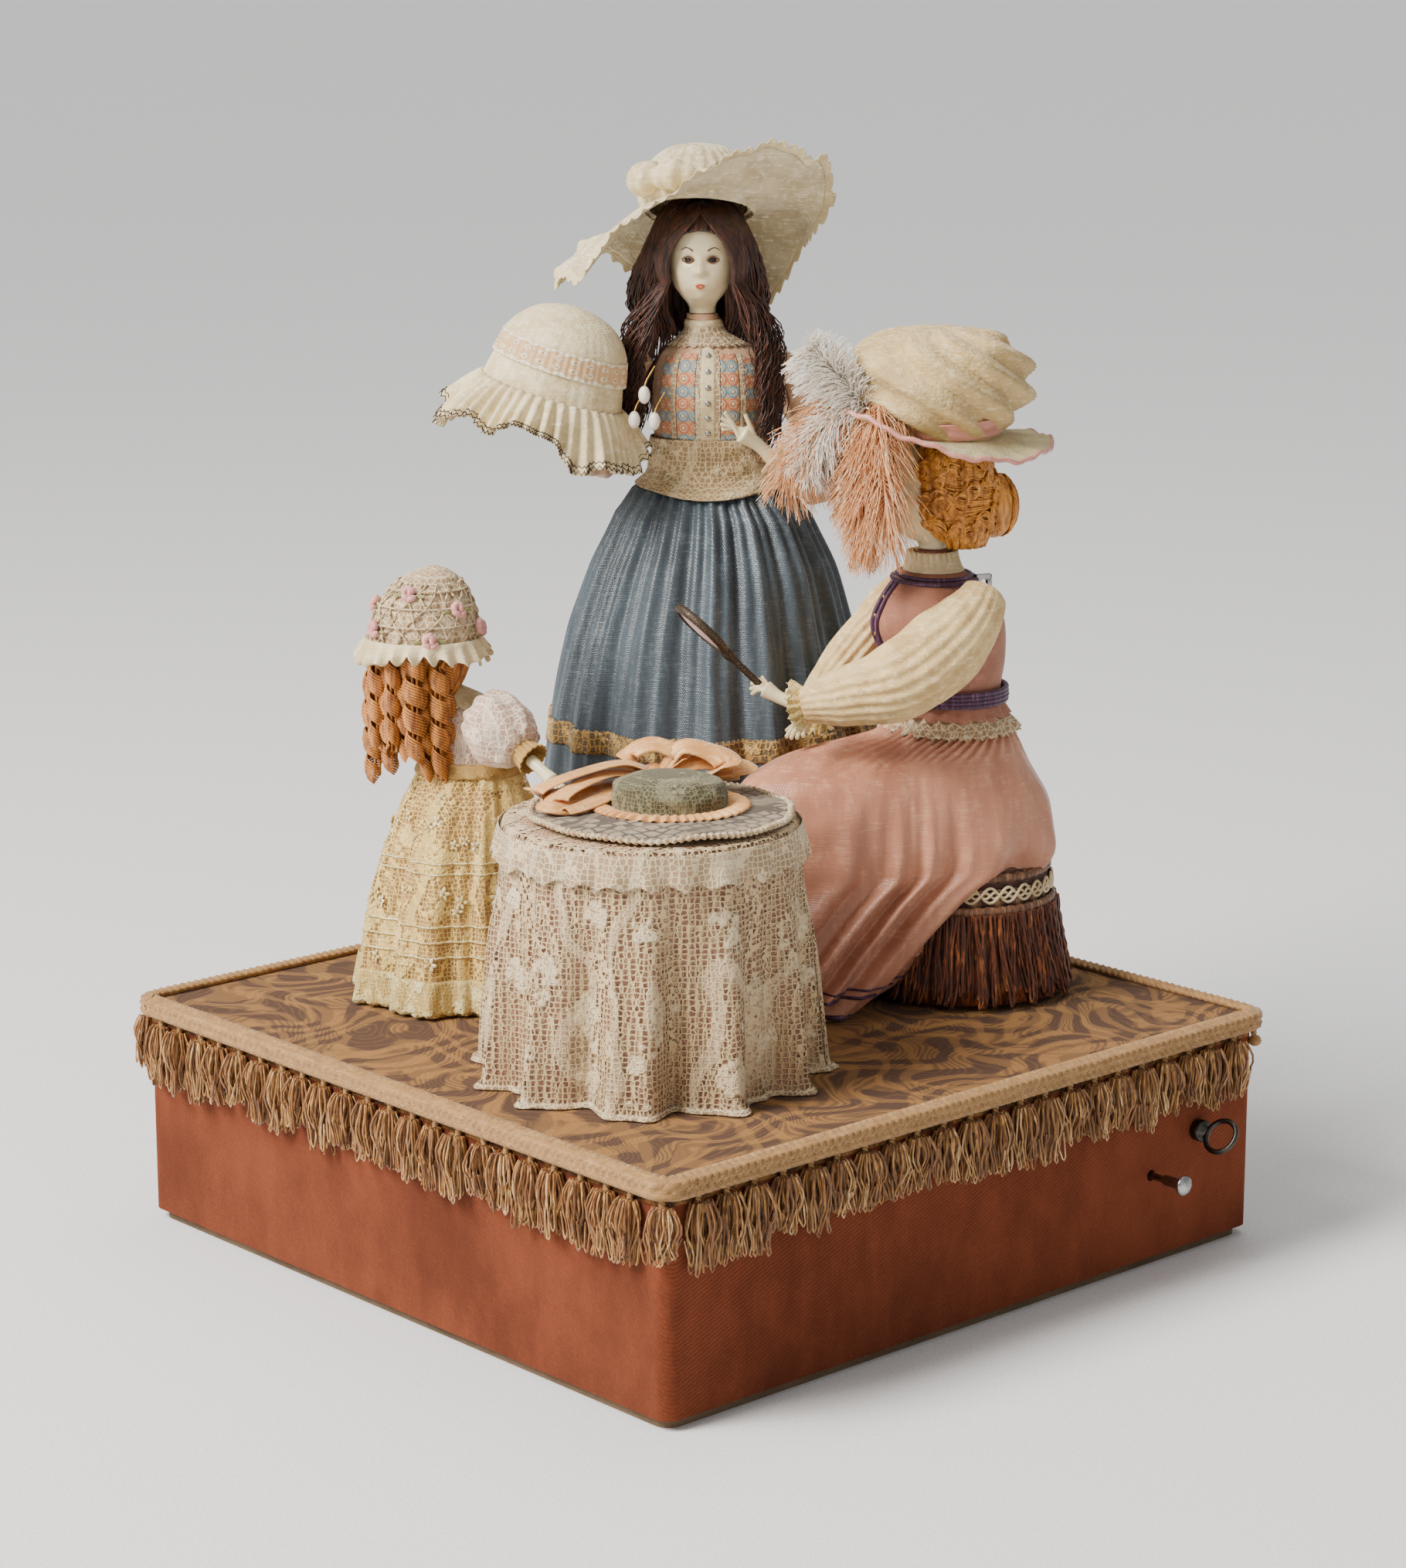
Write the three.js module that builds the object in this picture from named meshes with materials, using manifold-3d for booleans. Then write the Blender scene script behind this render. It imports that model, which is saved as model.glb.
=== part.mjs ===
// Automaton group: two ladies and a child at a hat table, on a velvet-covered clockwork base.
// Millimetres, +Z up, origin at the centre of the base's underside.
import * as THREE from 'three';
import { mergeVertices } from 'three/addons/utils/BufferGeometryUtils.js';
import Module from 'manifold-3d';

const wasm = await Module();
wasm.setup();

// Driving dimensions of the whole group
const baseWidth = 310;
const baseHeight = 90;
const quarterTurn = Math.PI / 2;
const fullTurn = Math.PI * 2;
const figureTurn = Math.PI / 4;
const seatedTurn = -68 * Math.PI / 180;
const childHeadTurn = 152.5 * Math.PI / 180;
const standingPlace = { x: -75, y: 75 };
const seatedPlace = { x: 37, y: 109 };
const stoolOffset = { x: 2, y: -12 };
const childPlace = { x: -77, y: -54 };
const tablePlace = { x: 49, y: -68 };

// Clearances
const seatGap = 0.3;
const fitGap = 0.2;
const runningGap = 0.8;
const overrun = 2;

// Rods that rise through the floor into the figures
const rodRadius = 2;
const wireRadius = 1;
const standingHeadAxis = { x: -3, y: -2 };
const standingWireAxis = { x: -9, y: 7 };
const seatedHeadAxis = { x: 0, y: -16 };
const seatedWireAxis = { x: 9, y: 2 };
const childHeadAxis = { x: -10, y: 3 };

const rootGroup = new THREE.Group();

// Finishes
const finishes = {
  velvet: [0x9c4a26, 0.95, 0],
  brocade: [0x9a7f57, 0.9, 0],
  gold_braid: [0xb9975f, 0.8, 0],
  pasteboard: [0x6e5a43, 0.9, 0],
  brass: [0xb08d4a, 0.35, 1],
  steel: [0x8c8f92, 0.35, 1],
  dark_steel: [0x3c3a38, 0.35, 1],
  blue_silk: [0x5f6d7c, 0.6, 0],
  peach_silk: [0xd9b08c, 0.7, 0],
  porcelain: [0xe3ddc4, 0.25, 0],
  dark_hair: [0x33201a, 0.5, 0],
  gauze: [0xd9cba8, 0.85, 0],
  cream_cotton: [0xe8d9b0, 0.85, 0],
  gimp_brown: [0x4f2c1c, 0.9, 0],
  fringe_brown: [0x6b3a22, 0.8, 0],
  rose_silk: [0xb9796a, 0.6, 0],
  rose_vest: [0xb07a6c, 0.85, 0],
  gold_hair: [0xc58a3c, 0.55, 0],
  feather: [0xe6c9b0, 0.9, 0],
  dark_bronze: [0x42352a, 0.5, 0.6],
  yellow_net: [0xdcc27e, 0.9, 0],
  pink_mesh: [0xe0bfa8, 0.9, 0],
  ginger_hair: [0xb5682c, 0.6, 0],
  crochet: [0xe8d6b8, 0.9, 0],
  ivory_lace: [0xd8cdb4, 0.9, 0],
  hat_gauze: [0xa89c86, 0.85, 0],
  peach_satin: [0xe0a878, 0.4, 0],
};

function addPiece(parent, name, geometry, finishName) {
  const [color, roughness, metalness] = finishes[finishName];
  const material = new THREE.MeshStandardMaterial({ color, roughness, metalness });
  const mesh = new THREE.Mesh(geometry, material);
  mesh.name = name;
  parent.add(mesh);
  return mesh;
}

function addGroup(parent, x, y, z, turn = 0) {
  const group = new THREE.Group();
  group.position.set(x, y, z);
  group.rotation.z = turn;
  parent.add(group);
  return group;
}

// A place in a turned figure's own frame, in the frame of the base
function placeOnBase(origin, turn, point) {
  const turned = new THREE.Vector3(point.x, point.y, 0).applyAxisAngle(new THREE.Vector3(0, 0, 1), turn);
  return { x: origin.x + turned.x, y: origin.y + turned.y };
}

// A closed mesh with merged corners and its faces pointing out
const mergeTolerance = 1e-4;

function outward(geometry) {
  const bare = new THREE.BufferGeometry();
  bare.setAttribute('position', geometry.attributes.position.clone());
  if (geometry.index) bare.setIndex(geometry.index.clone());
  const merged = mergeVertices(bare, mergeTolerance);
  const corners = Array.from(merged.index.array);
  const [a, b, c] = [new THREE.Vector3(), new THREE.Vector3(), new THREE.Vector3()];
  let volume = 0;
  for (let at = 0; at < corners.length; at += 3) {
    a.fromBufferAttribute(merged.attributes.position, corners[at]);
    b.fromBufferAttribute(merged.attributes.position, corners[at + 1]);
    c.fromBufferAttribute(merged.attributes.position, corners[at + 2]);
    volume += a.dot(b.cross(c));
  }
  merged.setIndex(volume < 0 ? corners.reverse() : corners);
  return merged;
}

function toSolid(geometry) {
  const merged = outward(geometry);
  const vertProperties = new Float32Array(merged.attributes.position.array);
  const triVerts = new Uint32Array(merged.index.array);
  return new wasm.Manifold(new wasm.Mesh({ numProp: 3, vertProperties, triVerts }));
}

function toGeometry(solid) {
  const mesh = solid.getMesh();
  const geometry = new THREE.BufferGeometry();
  geometry.setAttribute('position', new THREE.BufferAttribute(new Float32Array(mesh.vertProperties), 3));
  geometry.setIndex(Array.from(mesh.triVerts));
  return geometry;
}

function cut(geometry, ...tools) {
  return toGeometry(tools.reduce((solid, tool) => solid.subtract(toSolid(tool)), toSolid(geometry)));
}

function join(geometry, ...others) {
  return toGeometry(others.reduce((solid, other) => solid.add(toSolid(other)), toSolid(geometry)));
}

function moved(geometry, x, y, z) {
  return geometry.translate(x, y, z);
}

function block(width, depth, height, x, y, zLow) {
  return moved(new THREE.BoxGeometry(width, depth, height), x, y, zLow + height / 2);
}

// Round bars along each axis, from one end's place
function barUp(radius, length, x, y, zLow, sides = 10) {
  const bar = new THREE.CylinderGeometry(radius, radius, length, sides).rotateX(quarterTurn);
  return moved(bar, x, y, zLow + length / 2);
}

function barAlongX(radius, length, xLow, y, z, sides = 10) {
  const bar = new THREE.CylinderGeometry(radius, radius, length, sides).rotateZ(quarterTurn);
  return moved(bar, xLow + length / 2, y, z);
}

function barAlongY(radius, length, x, yLow, z, sides = 12) {
  return moved(new THREE.CylinderGeometry(radius, radius, length, sides), x, yLow + length / 2, z);
}

// One closed body through rings of equal count, with both ends capped at their middle
function loft(rings) {
  const sides = rings[0].length;
  const last = rings.length - 1;
  const middle = (ring) => ring.reduce((sum, p) => sum.add(p), new THREE.Vector3()).divideScalar(sides);
  const points = [...rings.flat(), middle(rings[0]), middle(rings[last])];
  const lowCentre = rings.length * sides;
  const highCentre = lowCentre + 1;
  const faces = [];
  for (let side = 0; side < sides; side += 1) {
    const next = (side + 1) % sides;
    for (let row = 0; row < last; row += 1) {
      const here = row * sides;
      const above = here + sides;
      faces.push(here + side, here + next, above + next, here + side, above + next, above + side);
    }
    faces.push(lowCentre, next, side, highCentre, last * sides + side, last * sides + next);
  }
  const geometry = new THREE.BufferGeometry();
  geometry.setAttribute('position', new THREE.Float32BufferAttribute(points.flatMap((p) => p.toArray()), 3));
  geometry.setIndex(faces);
  return outward(geometry);
}

// A ring about a vertical axis; reach(angle) and rise(angle) give its radius share and lift
function ring(sides, centre, radiusX, radiusY, reach = () => 1, rise = () => 0) {
  return Array.from({ length: sides }, (_, index) => {
    const angle = index / sides * fullTurn;
    const share = reach(angle);
    const x = centre.x + radiusX * share * Math.cos(angle);
    const y = centre.y + radiusY * share * Math.sin(angle);
    return new THREE.Vector3(x, y, centre.z + rise(angle));
  });
}

// A stack of rings from rows of [height, x, y, radiusX, radiusY]
function stack(rows, sides, reach) {
  return loft(rows.map(([z, x, y, radiusX, radiusY]) => ring(sides, { x, y, z }, radiusX, radiusY, reach)));
}

// A round limb or lock along a curve through places, with a radius at each place
function limb(places, radii, sides = 7, steps = 2) {
  const curve = new THREE.CatmullRomCurve3(places.map(([x, y, z]) => new THREE.Vector3(x, y, z)));
  const count = (places.length - 1) * steps;
  const frames = curve.computeFrenetFrames(count, false);
  const rings = Array.from({ length: count + 1 }, (_, index) => {
    const share = index / count;
    const along = share * (radii.length - 1);
    const low = Math.min(Math.floor(along), radii.length - 2);
    const radius = THREE.MathUtils.lerp(radii[low], radii[low + 1], along - low);
    const centre = curve.getPoint(share);
    return Array.from({ length: sides }, (__, side) => {
      const angle = side / sides * fullTurn;
      const across = frames.normals[index].clone().multiplyScalar(Math.cos(angle) * radius);
      const beside = frames.binormals[index].clone().multiplyScalar(Math.sin(angle) * radius);
      return centre.clone().add(across).add(beside);
    });
  });
  return loft(rings);
}

// An outline in the Y-Z plane, extruded along X about its middle
function plateAcrossX(outline, thickness, x) {
  const shape = new THREE.Shape(outline.map(([y, z]) => new THREE.Vector2(y, z)));
  const plate = new THREE.ExtrudeGeometry(shape, { depth: thickness, bevelEnabled: false, curveSegments: 8 });
  plate.rotateX(quarterTurn).rotateZ(quarterTurn);
  return moved(plate, x - thickness / 2, 0, 0);
}

// Toothed wheel in the X-normal plane: crests and roots in turn
function wheelOutline(pitchRadius, teeth, toothHeight, phase = 0) {
  return Array.from({ length: 2 * teeth }, (_, index) => {
    const crest = index % 2 === 0;
    const radius = pitchRadius + (crest ? toothHeight / 2 : -toothHeight / 2);
    const angle = (index / 2 + phase) / teeth * fullTurn;
    return [radius * Math.cos(angle), radius * Math.sin(angle)];
  });
}

function wheel(pitchRadius, teeth, toothHeight, thickness, x, y, z, phase) {
  return moved(plateAcrossX(wheelOutline(pitchRadius, teeth, toothHeight, phase), thickness, 0), x, y, z);
}

// Square board with rounded corners
function roundedSquare(width, radius) {
  const half = width / 2;
  const shape = new THREE.Shape();
  shape.moveTo(radius - half, -half);
  shape.lineTo(half - radius, -half);
  shape.absarc(half - radius, radius - half, radius, -quarterTurn, 0);
  shape.lineTo(half, half - radius);
  shape.absarc(half - radius, half - radius, radius, 0, quarterTurn);
  shape.lineTo(radius - half, half);
  shape.absarc(radius - half, half - radius, radius, quarterTurn, 2 * quarterTurn);
  shape.lineTo(-half, radius - half);
  shape.absarc(radius - half, radius - half, radius, 2 * quarterTurn, 3 * quarterTurn);
  return shape;
}

function board(shape, thickness, zLow) {
  const geometry = new THREE.ExtrudeGeometry(shape, { depth: thickness, bevelEnabled: false, curveSegments: 4 });
  return moved(geometry, 0, 0, zLow);
}

// A turned form about the vertical axis, from places of [radius, height]
function lathe(profile, sides) {
  const form = new THREE.LatheGeometry(profile.map(([radius, z]) => new THREE.Vector2(radius, z)), sides);
  return outward(form.rotateX(quarterTurn));
}

// Places of the rods on the base
const standingHeadRod = placeOnBase(standingPlace, figureTurn, standingHeadAxis);
const standingWire = placeOnBase(standingPlace, figureTurn, standingWireAxis);
const childHeadRod = placeOnBase(childPlace, figureTurn, childHeadAxis);
const stoolPlace = placeOnBase(seatedPlace, figureTurn, stoolOffset);
const seatedHeadRod = placeOnBase(stoolPlace, figureTurn + seatedTurn, seatedHeadAxis);
const seatedWire = placeOnBase(stoolPlace, figureTurn + seatedTurn, seatedWireAxis);

// Base: velvet case, boards and tassel trim
const wallThickness = 9;
const floorThickness = 4;
const topThickness = 8;
const caseCorner = 6;
const floorInset = 3;
const keyShaftRadius = 2.6;
const stopShaftRadius = 1.5;
const caseHalf = baseWidth / 2;
const caseInside = caseHalf - wallThickness;
const keyPlace = { y: caseHalf - 34.4, z: 50.4 };
const stopPlace = { y: keyPlace.y - 25.7, z: 37.3 };
const topUnderside = baseHeight - topThickness;

function addCase() {
  const shape = roundedSquare(baseWidth, caseCorner);
  const inside = roundedSquare(baseWidth - 2 * wallThickness, caseCorner / 2);
  shape.holes.push(new THREE.Path(inside.getPoints(2).reverse()));
  const walls = board(shape, topUnderside - floorThickness, floorThickness);
  const holeLength = wallThickness + 2 * overrun;
  const keyHole = barAlongX(keyShaftRadius + runningGap, holeLength, caseInside - overrun, keyPlace.y, keyPlace.z);
  const stopHole = barAlongX(stopShaftRadius + runningGap, holeLength, caseInside - overrun,
    stopPlace.y, stopPlace.z);
  addPiece(rootGroup, 'base_case', cut(walls, keyHole, stopHole), 'velvet');
}

function addBoards() {
  const floorShape = roundedSquare(baseWidth - 2 * floorInset, caseCorner);
  addPiece(rootGroup, 'bottom_board', board(floorShape, floorThickness, 0), 'pasteboard');
  const hole = (place, radius) => barUp(radius + runningGap, topThickness + 2 * overrun,
    place.x, place.y, topUnderside - overrun);
  const top = cut(
    board(roundedSquare(baseWidth, caseCorner), topThickness, topUnderside),
    hole(standingHeadRod, rodRadius),
    hole(seatedHeadRod, rodRadius),
    hole(childHeadRod, rodRadius),
    hole(standingWire, wireRadius),
    hole(seatedWire, wireRadius),
  );
  addPiece(rootGroup, 'top_board', top, 'brocade');
}

// Braid header round the top edge, with a row of tassels on short cords
const braidDepth = 3.2;
const braidHeight = 9;
const braidRise = 2.5;
const braidLap = 5;
const tasselsPerSide = 12;
const tasselSides = 4;
const tasselLength = 20;
const tasselRadius = 4;
const tasselCordLength = 6;
const tasselCordRadius = 1.3;

function tassel() {
  const cordTop = braidHeight / 2;
  const profile = [
    [0, cordTop],
    [tasselCordRadius, cordTop],
    [tasselCordRadius, -tasselCordLength],
    [tasselRadius, -tasselCordLength - tasselLength],
    [0, -tasselCordLength - tasselLength],
  ];
  return lathe(profile, tasselSides);
}

function addTrim() {
  const outerWidth = baseWidth + 2 * (braidDepth + seatGap);
  const lowEdge = baseHeight + braidRise - braidHeight;
  const outer = roundedSquare(outerWidth, caseCorner + braidDepth);
  const around = roundedSquare(baseWidth + 2 * seatGap, caseCorner);
  const window = roundedSquare(baseWidth - 2 * braidLap, caseCorner);
  const header = cut(
    board(outer, braidHeight, lowEdge),
    board(around, baseHeight + seatGap - lowEdge + overrun, lowEdge - overrun),
    board(window, braidHeight + 2 * overrun, lowEdge - overrun),
  );
  const line = caseHalf + seatGap + tasselRadius;
  const corner = caseHalf - caseCorner + (caseCorner + seatGap + tasselRadius) * Math.SQRT1_2;
  const step = 2 * corner / tasselsPerSide;
  let trim = toSolid(header);
  for (let side = 0; side < 4; side += 1) {
    for (let index = 1; index <= tasselsPerSide; index += 1) {
      const reach = index === tasselsPerSide ? corner : line;
      const one = tassel().translate(index * step - corner, -reach, lowEdge);
      trim = trim.add(toSolid(one.rotateZ(side * quarterTurn)));
    }
  }
  addPiece(rootGroup, 'tassel_trim', toGeometry(trim), 'gold_braid');
}

// Clockwork: spring barrel, music cylinder wheel and camshaft in one line, with levers over the cams
const bedplateThickness = 3;
const bedplateSeat = floorThickness + seatGap;
const bedplateTop = bedplateSeat + bedplateThickness;
const wheelThickness = 4;
const trainPlane = caseHalf - 31;
const toothHeight = 1.6;
const barrelPitch = 22;
const barrelTeeth = 22;
const cylinderPitch = 24;
const cylinderTeeth = 24;
const camGearPitch = 20;
const camGearTeeth = 20;
const shaftRadius = 2.5;
const meshGap = 0.7;
const cylinderAxisY = keyPlace.y - barrelPitch - cylinderPitch - meshGap;
const camAxisY = cylinderAxisY - cylinderPitch - camGearPitch - meshGap;
const trainHeight = keyPlace.z;
const camThickness = 3;
const camRadius = 8;
const camLift = 2;
const camSteps = 12;
const leverThickness = 4;
const leverPivotHeight = 26;
const leverPinRadius = 1.8;
const leverWidth = 6;
const crankHeight = 68;
const crankRadius = 8;
const crankWidth = 3;
const forkDepth = 5;
const fingerHeight = 64;
const wireLevel = fingerHeight + leverWidth / 2;
const postThickness = 3;
const postWidth = 9;
const postGap = 0.5;
const bearingPlaces = [-100, trainPlane - 32];
const camshaftStart = -104;
const barrelRadius = 18;
const barrelLength = 24;
const musicRadius = 11;
const musicStart = 71;
const musicLength = trainPlane - 9 - musicStart;
const governorPitch = 6;
const governorTeeth = 6;
const governorShaftRadius = 1.25;
const governorAxisZ = trainHeight - cylinderPitch - governorPitch - meshGap;
const fanRadius = 8;
const fanThickness = 1;
const fanLength = 12;

const headLevers = [
  { name: 'child_head_lever', x: childHeadRod.x + crankRadius, y: childHeadRod.y },
  { name: 'standing_head_lever', x: standingHeadRod.x + crankRadius, y: standingHeadRod.y },
  { name: 'seated_head_lever', x: seatedHeadRod.x - crankRadius, y: seatedHeadRod.y, postSide: -1 },
].map((lever) => ({ pivot: leverPivotHeight, postSide: 1, ...lever }));
const standingArmPivotY = 50;
const seatedArmPivotY = 60;
const wireLevers = [
  { name: 'standing_arm_lever', x: standingWire.x, y: standingArmPivotY, wireY: standingWire.y, postSide: -1 },
  { name: 'seated_arm_lever', x: seatedWire.x, y: seatedArmPivotY, wireY: seatedWire.y, postSide: 1 },
].map((lever) => ({ pivot: wireLevel, ...lever }));
const levers = [...headLevers, ...wireLevers];

function addBedplate() {
  const margin = postWidth;
  const left = camshaftStart - margin / 2;
  const right = trainPlane + 2 * wheelThickness;
  const back = keyPlace.y + postWidth;
  const low = Math.min(...levers.map((lever) => lever.y)) - margin;
  const arm = Math.max(...headLevers.slice(0, 1).map((lever) => lever.x)) + 2 * margin;
  const shape = new THREE.Shape([
    [left, low], [arm, low], [arm, camAxisY - 2 * margin], [right, camAxisY - 2 * margin], [right, back], [left, back],
  ].map(([x, y]) => new THREE.Vector2(x, y)));
  const plate = new THREE.ExtrudeGeometry(shape, { depth: bedplateThickness, bevelEnabled: false });
  const pieces = levers.flatMap(({ x, y, pivot, postSide }) => {
    const postX = x + postSide * (leverThickness / 2 + postGap + postThickness / 2);
    const height = pivot + postWidth / 2 - bedplateSeat;
    const pinLength = leverThickness + postThickness + 2 * postGap;
    const pinStart = postSide > 0 ? x - leverThickness / 2 - postGap : postX - postThickness / 2;
    return [
      block(postThickness, postWidth, height, postX, y, bedplateSeat),
      barAlongX(leverPinRadius, pinLength, pinStart, y, pivot, 8),
    ];
  });
  const bearing = (x, y, radius) => cut(
    block(postThickness, 2 * radius + postWidth, trainHeight + radius + postWidth / 2 - bedplateSeat, x, y,
      bedplateSeat),
    barAlongX(radius + fitGap, postThickness + 2 * overrun, x - postThickness / 2 - overrun, y, trainHeight),
  );
  const inner = trainPlane - wheelThickness - postThickness;
  const barrelInner = inner - barrelLength - postThickness;
  pieces.push(
    ...bearingPlaces.map((x) => bearing(x, camAxisY, shaftRadius)),
    bearing(musicStart - postThickness, cylinderAxisY, shaftRadius),
    cut(bearing(inner, cylinderAxisY, shaftRadius), barAlongX(governorShaftRadius + fitGap,
      postThickness + 2 * overrun, inner - postThickness / 2 - overrun, cylinderAxisY, governorAxisZ, 8)),
    bearing(barrelInner, keyPlace.y, keyShaftRadius),
  );
  addPiece(rootGroup, 'bedplate', join(moved(plate, 0, 0, bedplateSeat), ...pieces), 'brass');
}

function addBarrel() {
  const length = barrelLength;
  const start = trainPlane - wheelThickness / 2 - length;
  const barrel = join(
    wheel(barrelPitch, barrelTeeth, toothHeight, wheelThickness, trainPlane, keyPlace.y, trainHeight, 0),
    barAlongX(barrelRadius, length + wheelThickness / 2, start, keyPlace.y, trainHeight, 18),
  );
  const shaftBore = barAlongX(keyShaftRadius + fitGap, length + wheelThickness + 2 * overrun,
    start - overrun, keyPlace.y, trainHeight);
  addPiece(rootGroup, 'spring_barrel', cut(barrel, shaftBore), 'brass');
}

// Winding key with its arbor through the barrel and a wire ring for the fingers
const keyBowRadius = 6.6;
const keyWireRadius = 1.1;
const keyCollarRadius = 4;
const keyStandOff = 6;
const keyReach = caseHalf + keyStandOff;
const keyTilt = 0.9;

function addKey() {
  const arborStart = trainPlane - wheelThickness - barrelLength - 3 * postThickness;
  const shank = barAlongX(keyShaftRadius, keyReach - arborStart, arborStart, keyPlace.y, keyPlace.z);
  const collar = barAlongX(keyCollarRadius, wheelThickness, caseHalf + seatGap, keyPlace.y, keyPlace.z, 12);
  const bow = new THREE.TorusGeometry(keyBowRadius, keyWireRadius, 6, 16).rotateX(keyTilt);
  moved(bow, keyReach + keyBowRadius, keyPlace.y, keyPlace.z);
  addPiece(rootGroup, 'winding_key', join(shank, collar, bow), 'dark_steel');
}

// Start and stop knob on a sliding wire that reaches the governor's fan
const stopNeckRadius = 2.1;
const stopHeadRadius = 4;
const stopReach = 18;
const stopNeckShare = 0.6;
const stopTravel = 6;
const stopCollarRadius = 3.4;
const stopCollarLength = 2;
const stopInnerEnd = trainPlane + 8;

function addStop() {
  const headDepth = stopHeadRadius / 2;
  const tip = caseHalf + stopReach;
  const neckStart = tip - stopReach * stopNeckShare;
  const collarStart = caseInside - stopTravel - stopCollarLength - seatGap;
  const profile = [[0, 0], [stopHeadRadius * 0.8, 0], [stopHeadRadius, headDepth * 0.5],
    [stopHeadRadius * 0.8, headDepth], [0, headDepth * 1.3]];
  const head = lathe(profile, 14).rotateY(quarterTurn);
  const knob = join(
    barAlongX(stopShaftRadius, tip - headDepth - stopInnerEnd, stopInnerEnd, stopPlace.y, stopPlace.z),
    barAlongX(stopNeckRadius, tip - headDepth / 2 - neckStart, neckStart, stopPlace.y, stopPlace.z),
    barAlongX(stopCollarRadius, stopCollarLength, collarStart, stopPlace.y, stopPlace.z),
    moved(head, tip - headDepth, stopPlace.y, stopPlace.z),
  );
  addPiece(rootGroup, 'stop_knob', knob, 'steel');
}

// Pinned music cylinder on the middle arbor, with its comb and the governor below
const pinRows = 3;
const pinsPerRow = 2;
const pinRadius = 0.5;
const pinHeight = 0.8;
const combThickness = 2;
const combReach = 22;
const combFoot = 7;
const combTeeth = 12;
const combSlot = 1;

function addMusic() {
  const arborEnd = trainPlane + wheelThickness / 2;
  const arborStart = musicStart - 2 * postThickness;
  let cylinder = toSolid(join(
    barAlongX(musicRadius, musicLength, musicStart, cylinderAxisY, trainHeight, 16),
    barAlongX(shaftRadius, arborEnd - arborStart, arborStart, cylinderAxisY, trainHeight),
    wheel(cylinderPitch, cylinderTeeth, toothHeight, wheelThickness, trainPlane, cylinderAxisY, trainHeight, 0.5),
  ));
  for (let row = 0; row < pinRows; row += 1) {
    for (let index = 0; index < pinsPerRow; index += 1) {
      const pin = barUp(pinRadius, 2 * pinHeight, 0, 0, musicRadius - pinHeight, 3);
      pin.rotateX((row / pinRows + index / (pinsPerRow * pinRows)) * fullTurn);
      pin.translate(musicStart + (index + 0.5) * musicLength / pinsPerRow, cylinderAxisY, trainHeight);
      cylinder = cylinder.add(toSolid(pin));
    }
  }
  addPiece(rootGroup, 'music_cylinder', toGeometry(cylinder), 'brass');
  const tipY = cylinderAxisY - musicRadius - pinHeight - seatGap;
  const middle = musicStart + musicLength / 2;
  const tooth = musicLength / combTeeth;
  const slots = Array.from({ length: combTeeth - 1 }, (_, index) => block(
    combSlot, combReach, combThickness + 2 * overrun,
    musicStart + (index + 1) * tooth, tipY, trainHeight - combThickness / 2 - overrun,
  ));
  const plate = block(musicLength, combReach, combThickness, middle, tipY - combReach / 2,
    trainHeight - combThickness / 2);
  const foot = block(musicLength, combFoot, trainHeight - bedplateTop, middle, tipY - combReach + combFoot / 2,
    bedplateTop);
  addPiece(rootGroup, 'music_comb', join(cut(plate, ...slots), foot), 'steel');
}

function addGovernor() {
  const y = cylinderAxisY;
  const z = governorAxisZ;
  const fanStart = trainPlane + wheelThickness;
  const start = trainPlane - wheelThickness - 2 * postThickness;
  const arbor = barAlongX(governorShaftRadius, fanStart + fanLength - start, start, y, z, 8);
  const blade = block(fanLength, 2 * fanRadius, fanThickness, fanStart + fanLength / 2, y, z - fanThickness / 2);
  const cross = block(fanLength, fanThickness, 2 * fanRadius, fanStart + fanLength / 2, y, z - fanRadius);
  const pinion = wheel(governorPitch, governorTeeth, toothHeight, wheelThickness, trainPlane, y, z, 0.5);
  addPiece(rootGroup, 'governor', join(arbor, blade, cross, pinion), 'steel');
}

// Camshaft with its gear, and one lobed cam under each lever's finger
function addCams() {
  const shaft = join(
    barAlongX(shaftRadius, trainPlane - camshaftStart, camshaftStart, camAxisY, trainHeight),
    wheel(camGearPitch, camGearTeeth, toothHeight, wheelThickness, trainPlane, camAxisY, trainHeight),
  );
  addPiece(rootGroup, 'camshaft', shaft, 'brass');
  levers.forEach(({ name, x }, index) => {
    const lobes = index % 3 + 2;
    const outline = Array.from({ length: camSteps }, (_, step) => {
      const angle = step / camSteps * fullTurn;
      const radius = camRadius + camLift / 2 * Math.sin(lobes * angle);
      return [radius * Math.cos(angle), radius * Math.sin(angle)];
    });
    const disc = moved(plateAcrossX(outline, camThickness, 0), x, camAxisY, trainHeight);
    const bore = barAlongX(shaftRadius + fitGap, camThickness + 2 * overrun, x - camThickness / 2 - overrun,
      camAxisY, trainHeight);
    addPiece(rootGroup, name.replace('lever', 'cam'), cut(disc, bore), 'brass');
  });
}

function leverBody(lever) {
  const half = leverWidth / 2;
  const eye = leverPinRadius + half;
  const boss = barAlongX(eye, leverThickness, lever.x - leverThickness / 2, lever.y, lever.pivot, 12);
  const upright = block(leverThickness, leverWidth, fingerHeight + leverWidth - lever.pivot, lever.x, lever.y,
    lever.pivot);
  const reach = lever.y > camAxisY ? camAxisY - half - lever.y : camAxisY + half - lever.y;
  const finger = block(leverThickness, Math.abs(reach), leverWidth, lever.x, lever.y + reach / 2, fingerHeight);
  const bore = barAlongX(leverPinRadius + fitGap, leverThickness + 2 * overrun,
    lever.x - leverThickness / 2 - overrun, lever.y, lever.pivot, 10);
  return { solid: join(boss, upright, finger), bore };
}

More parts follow.
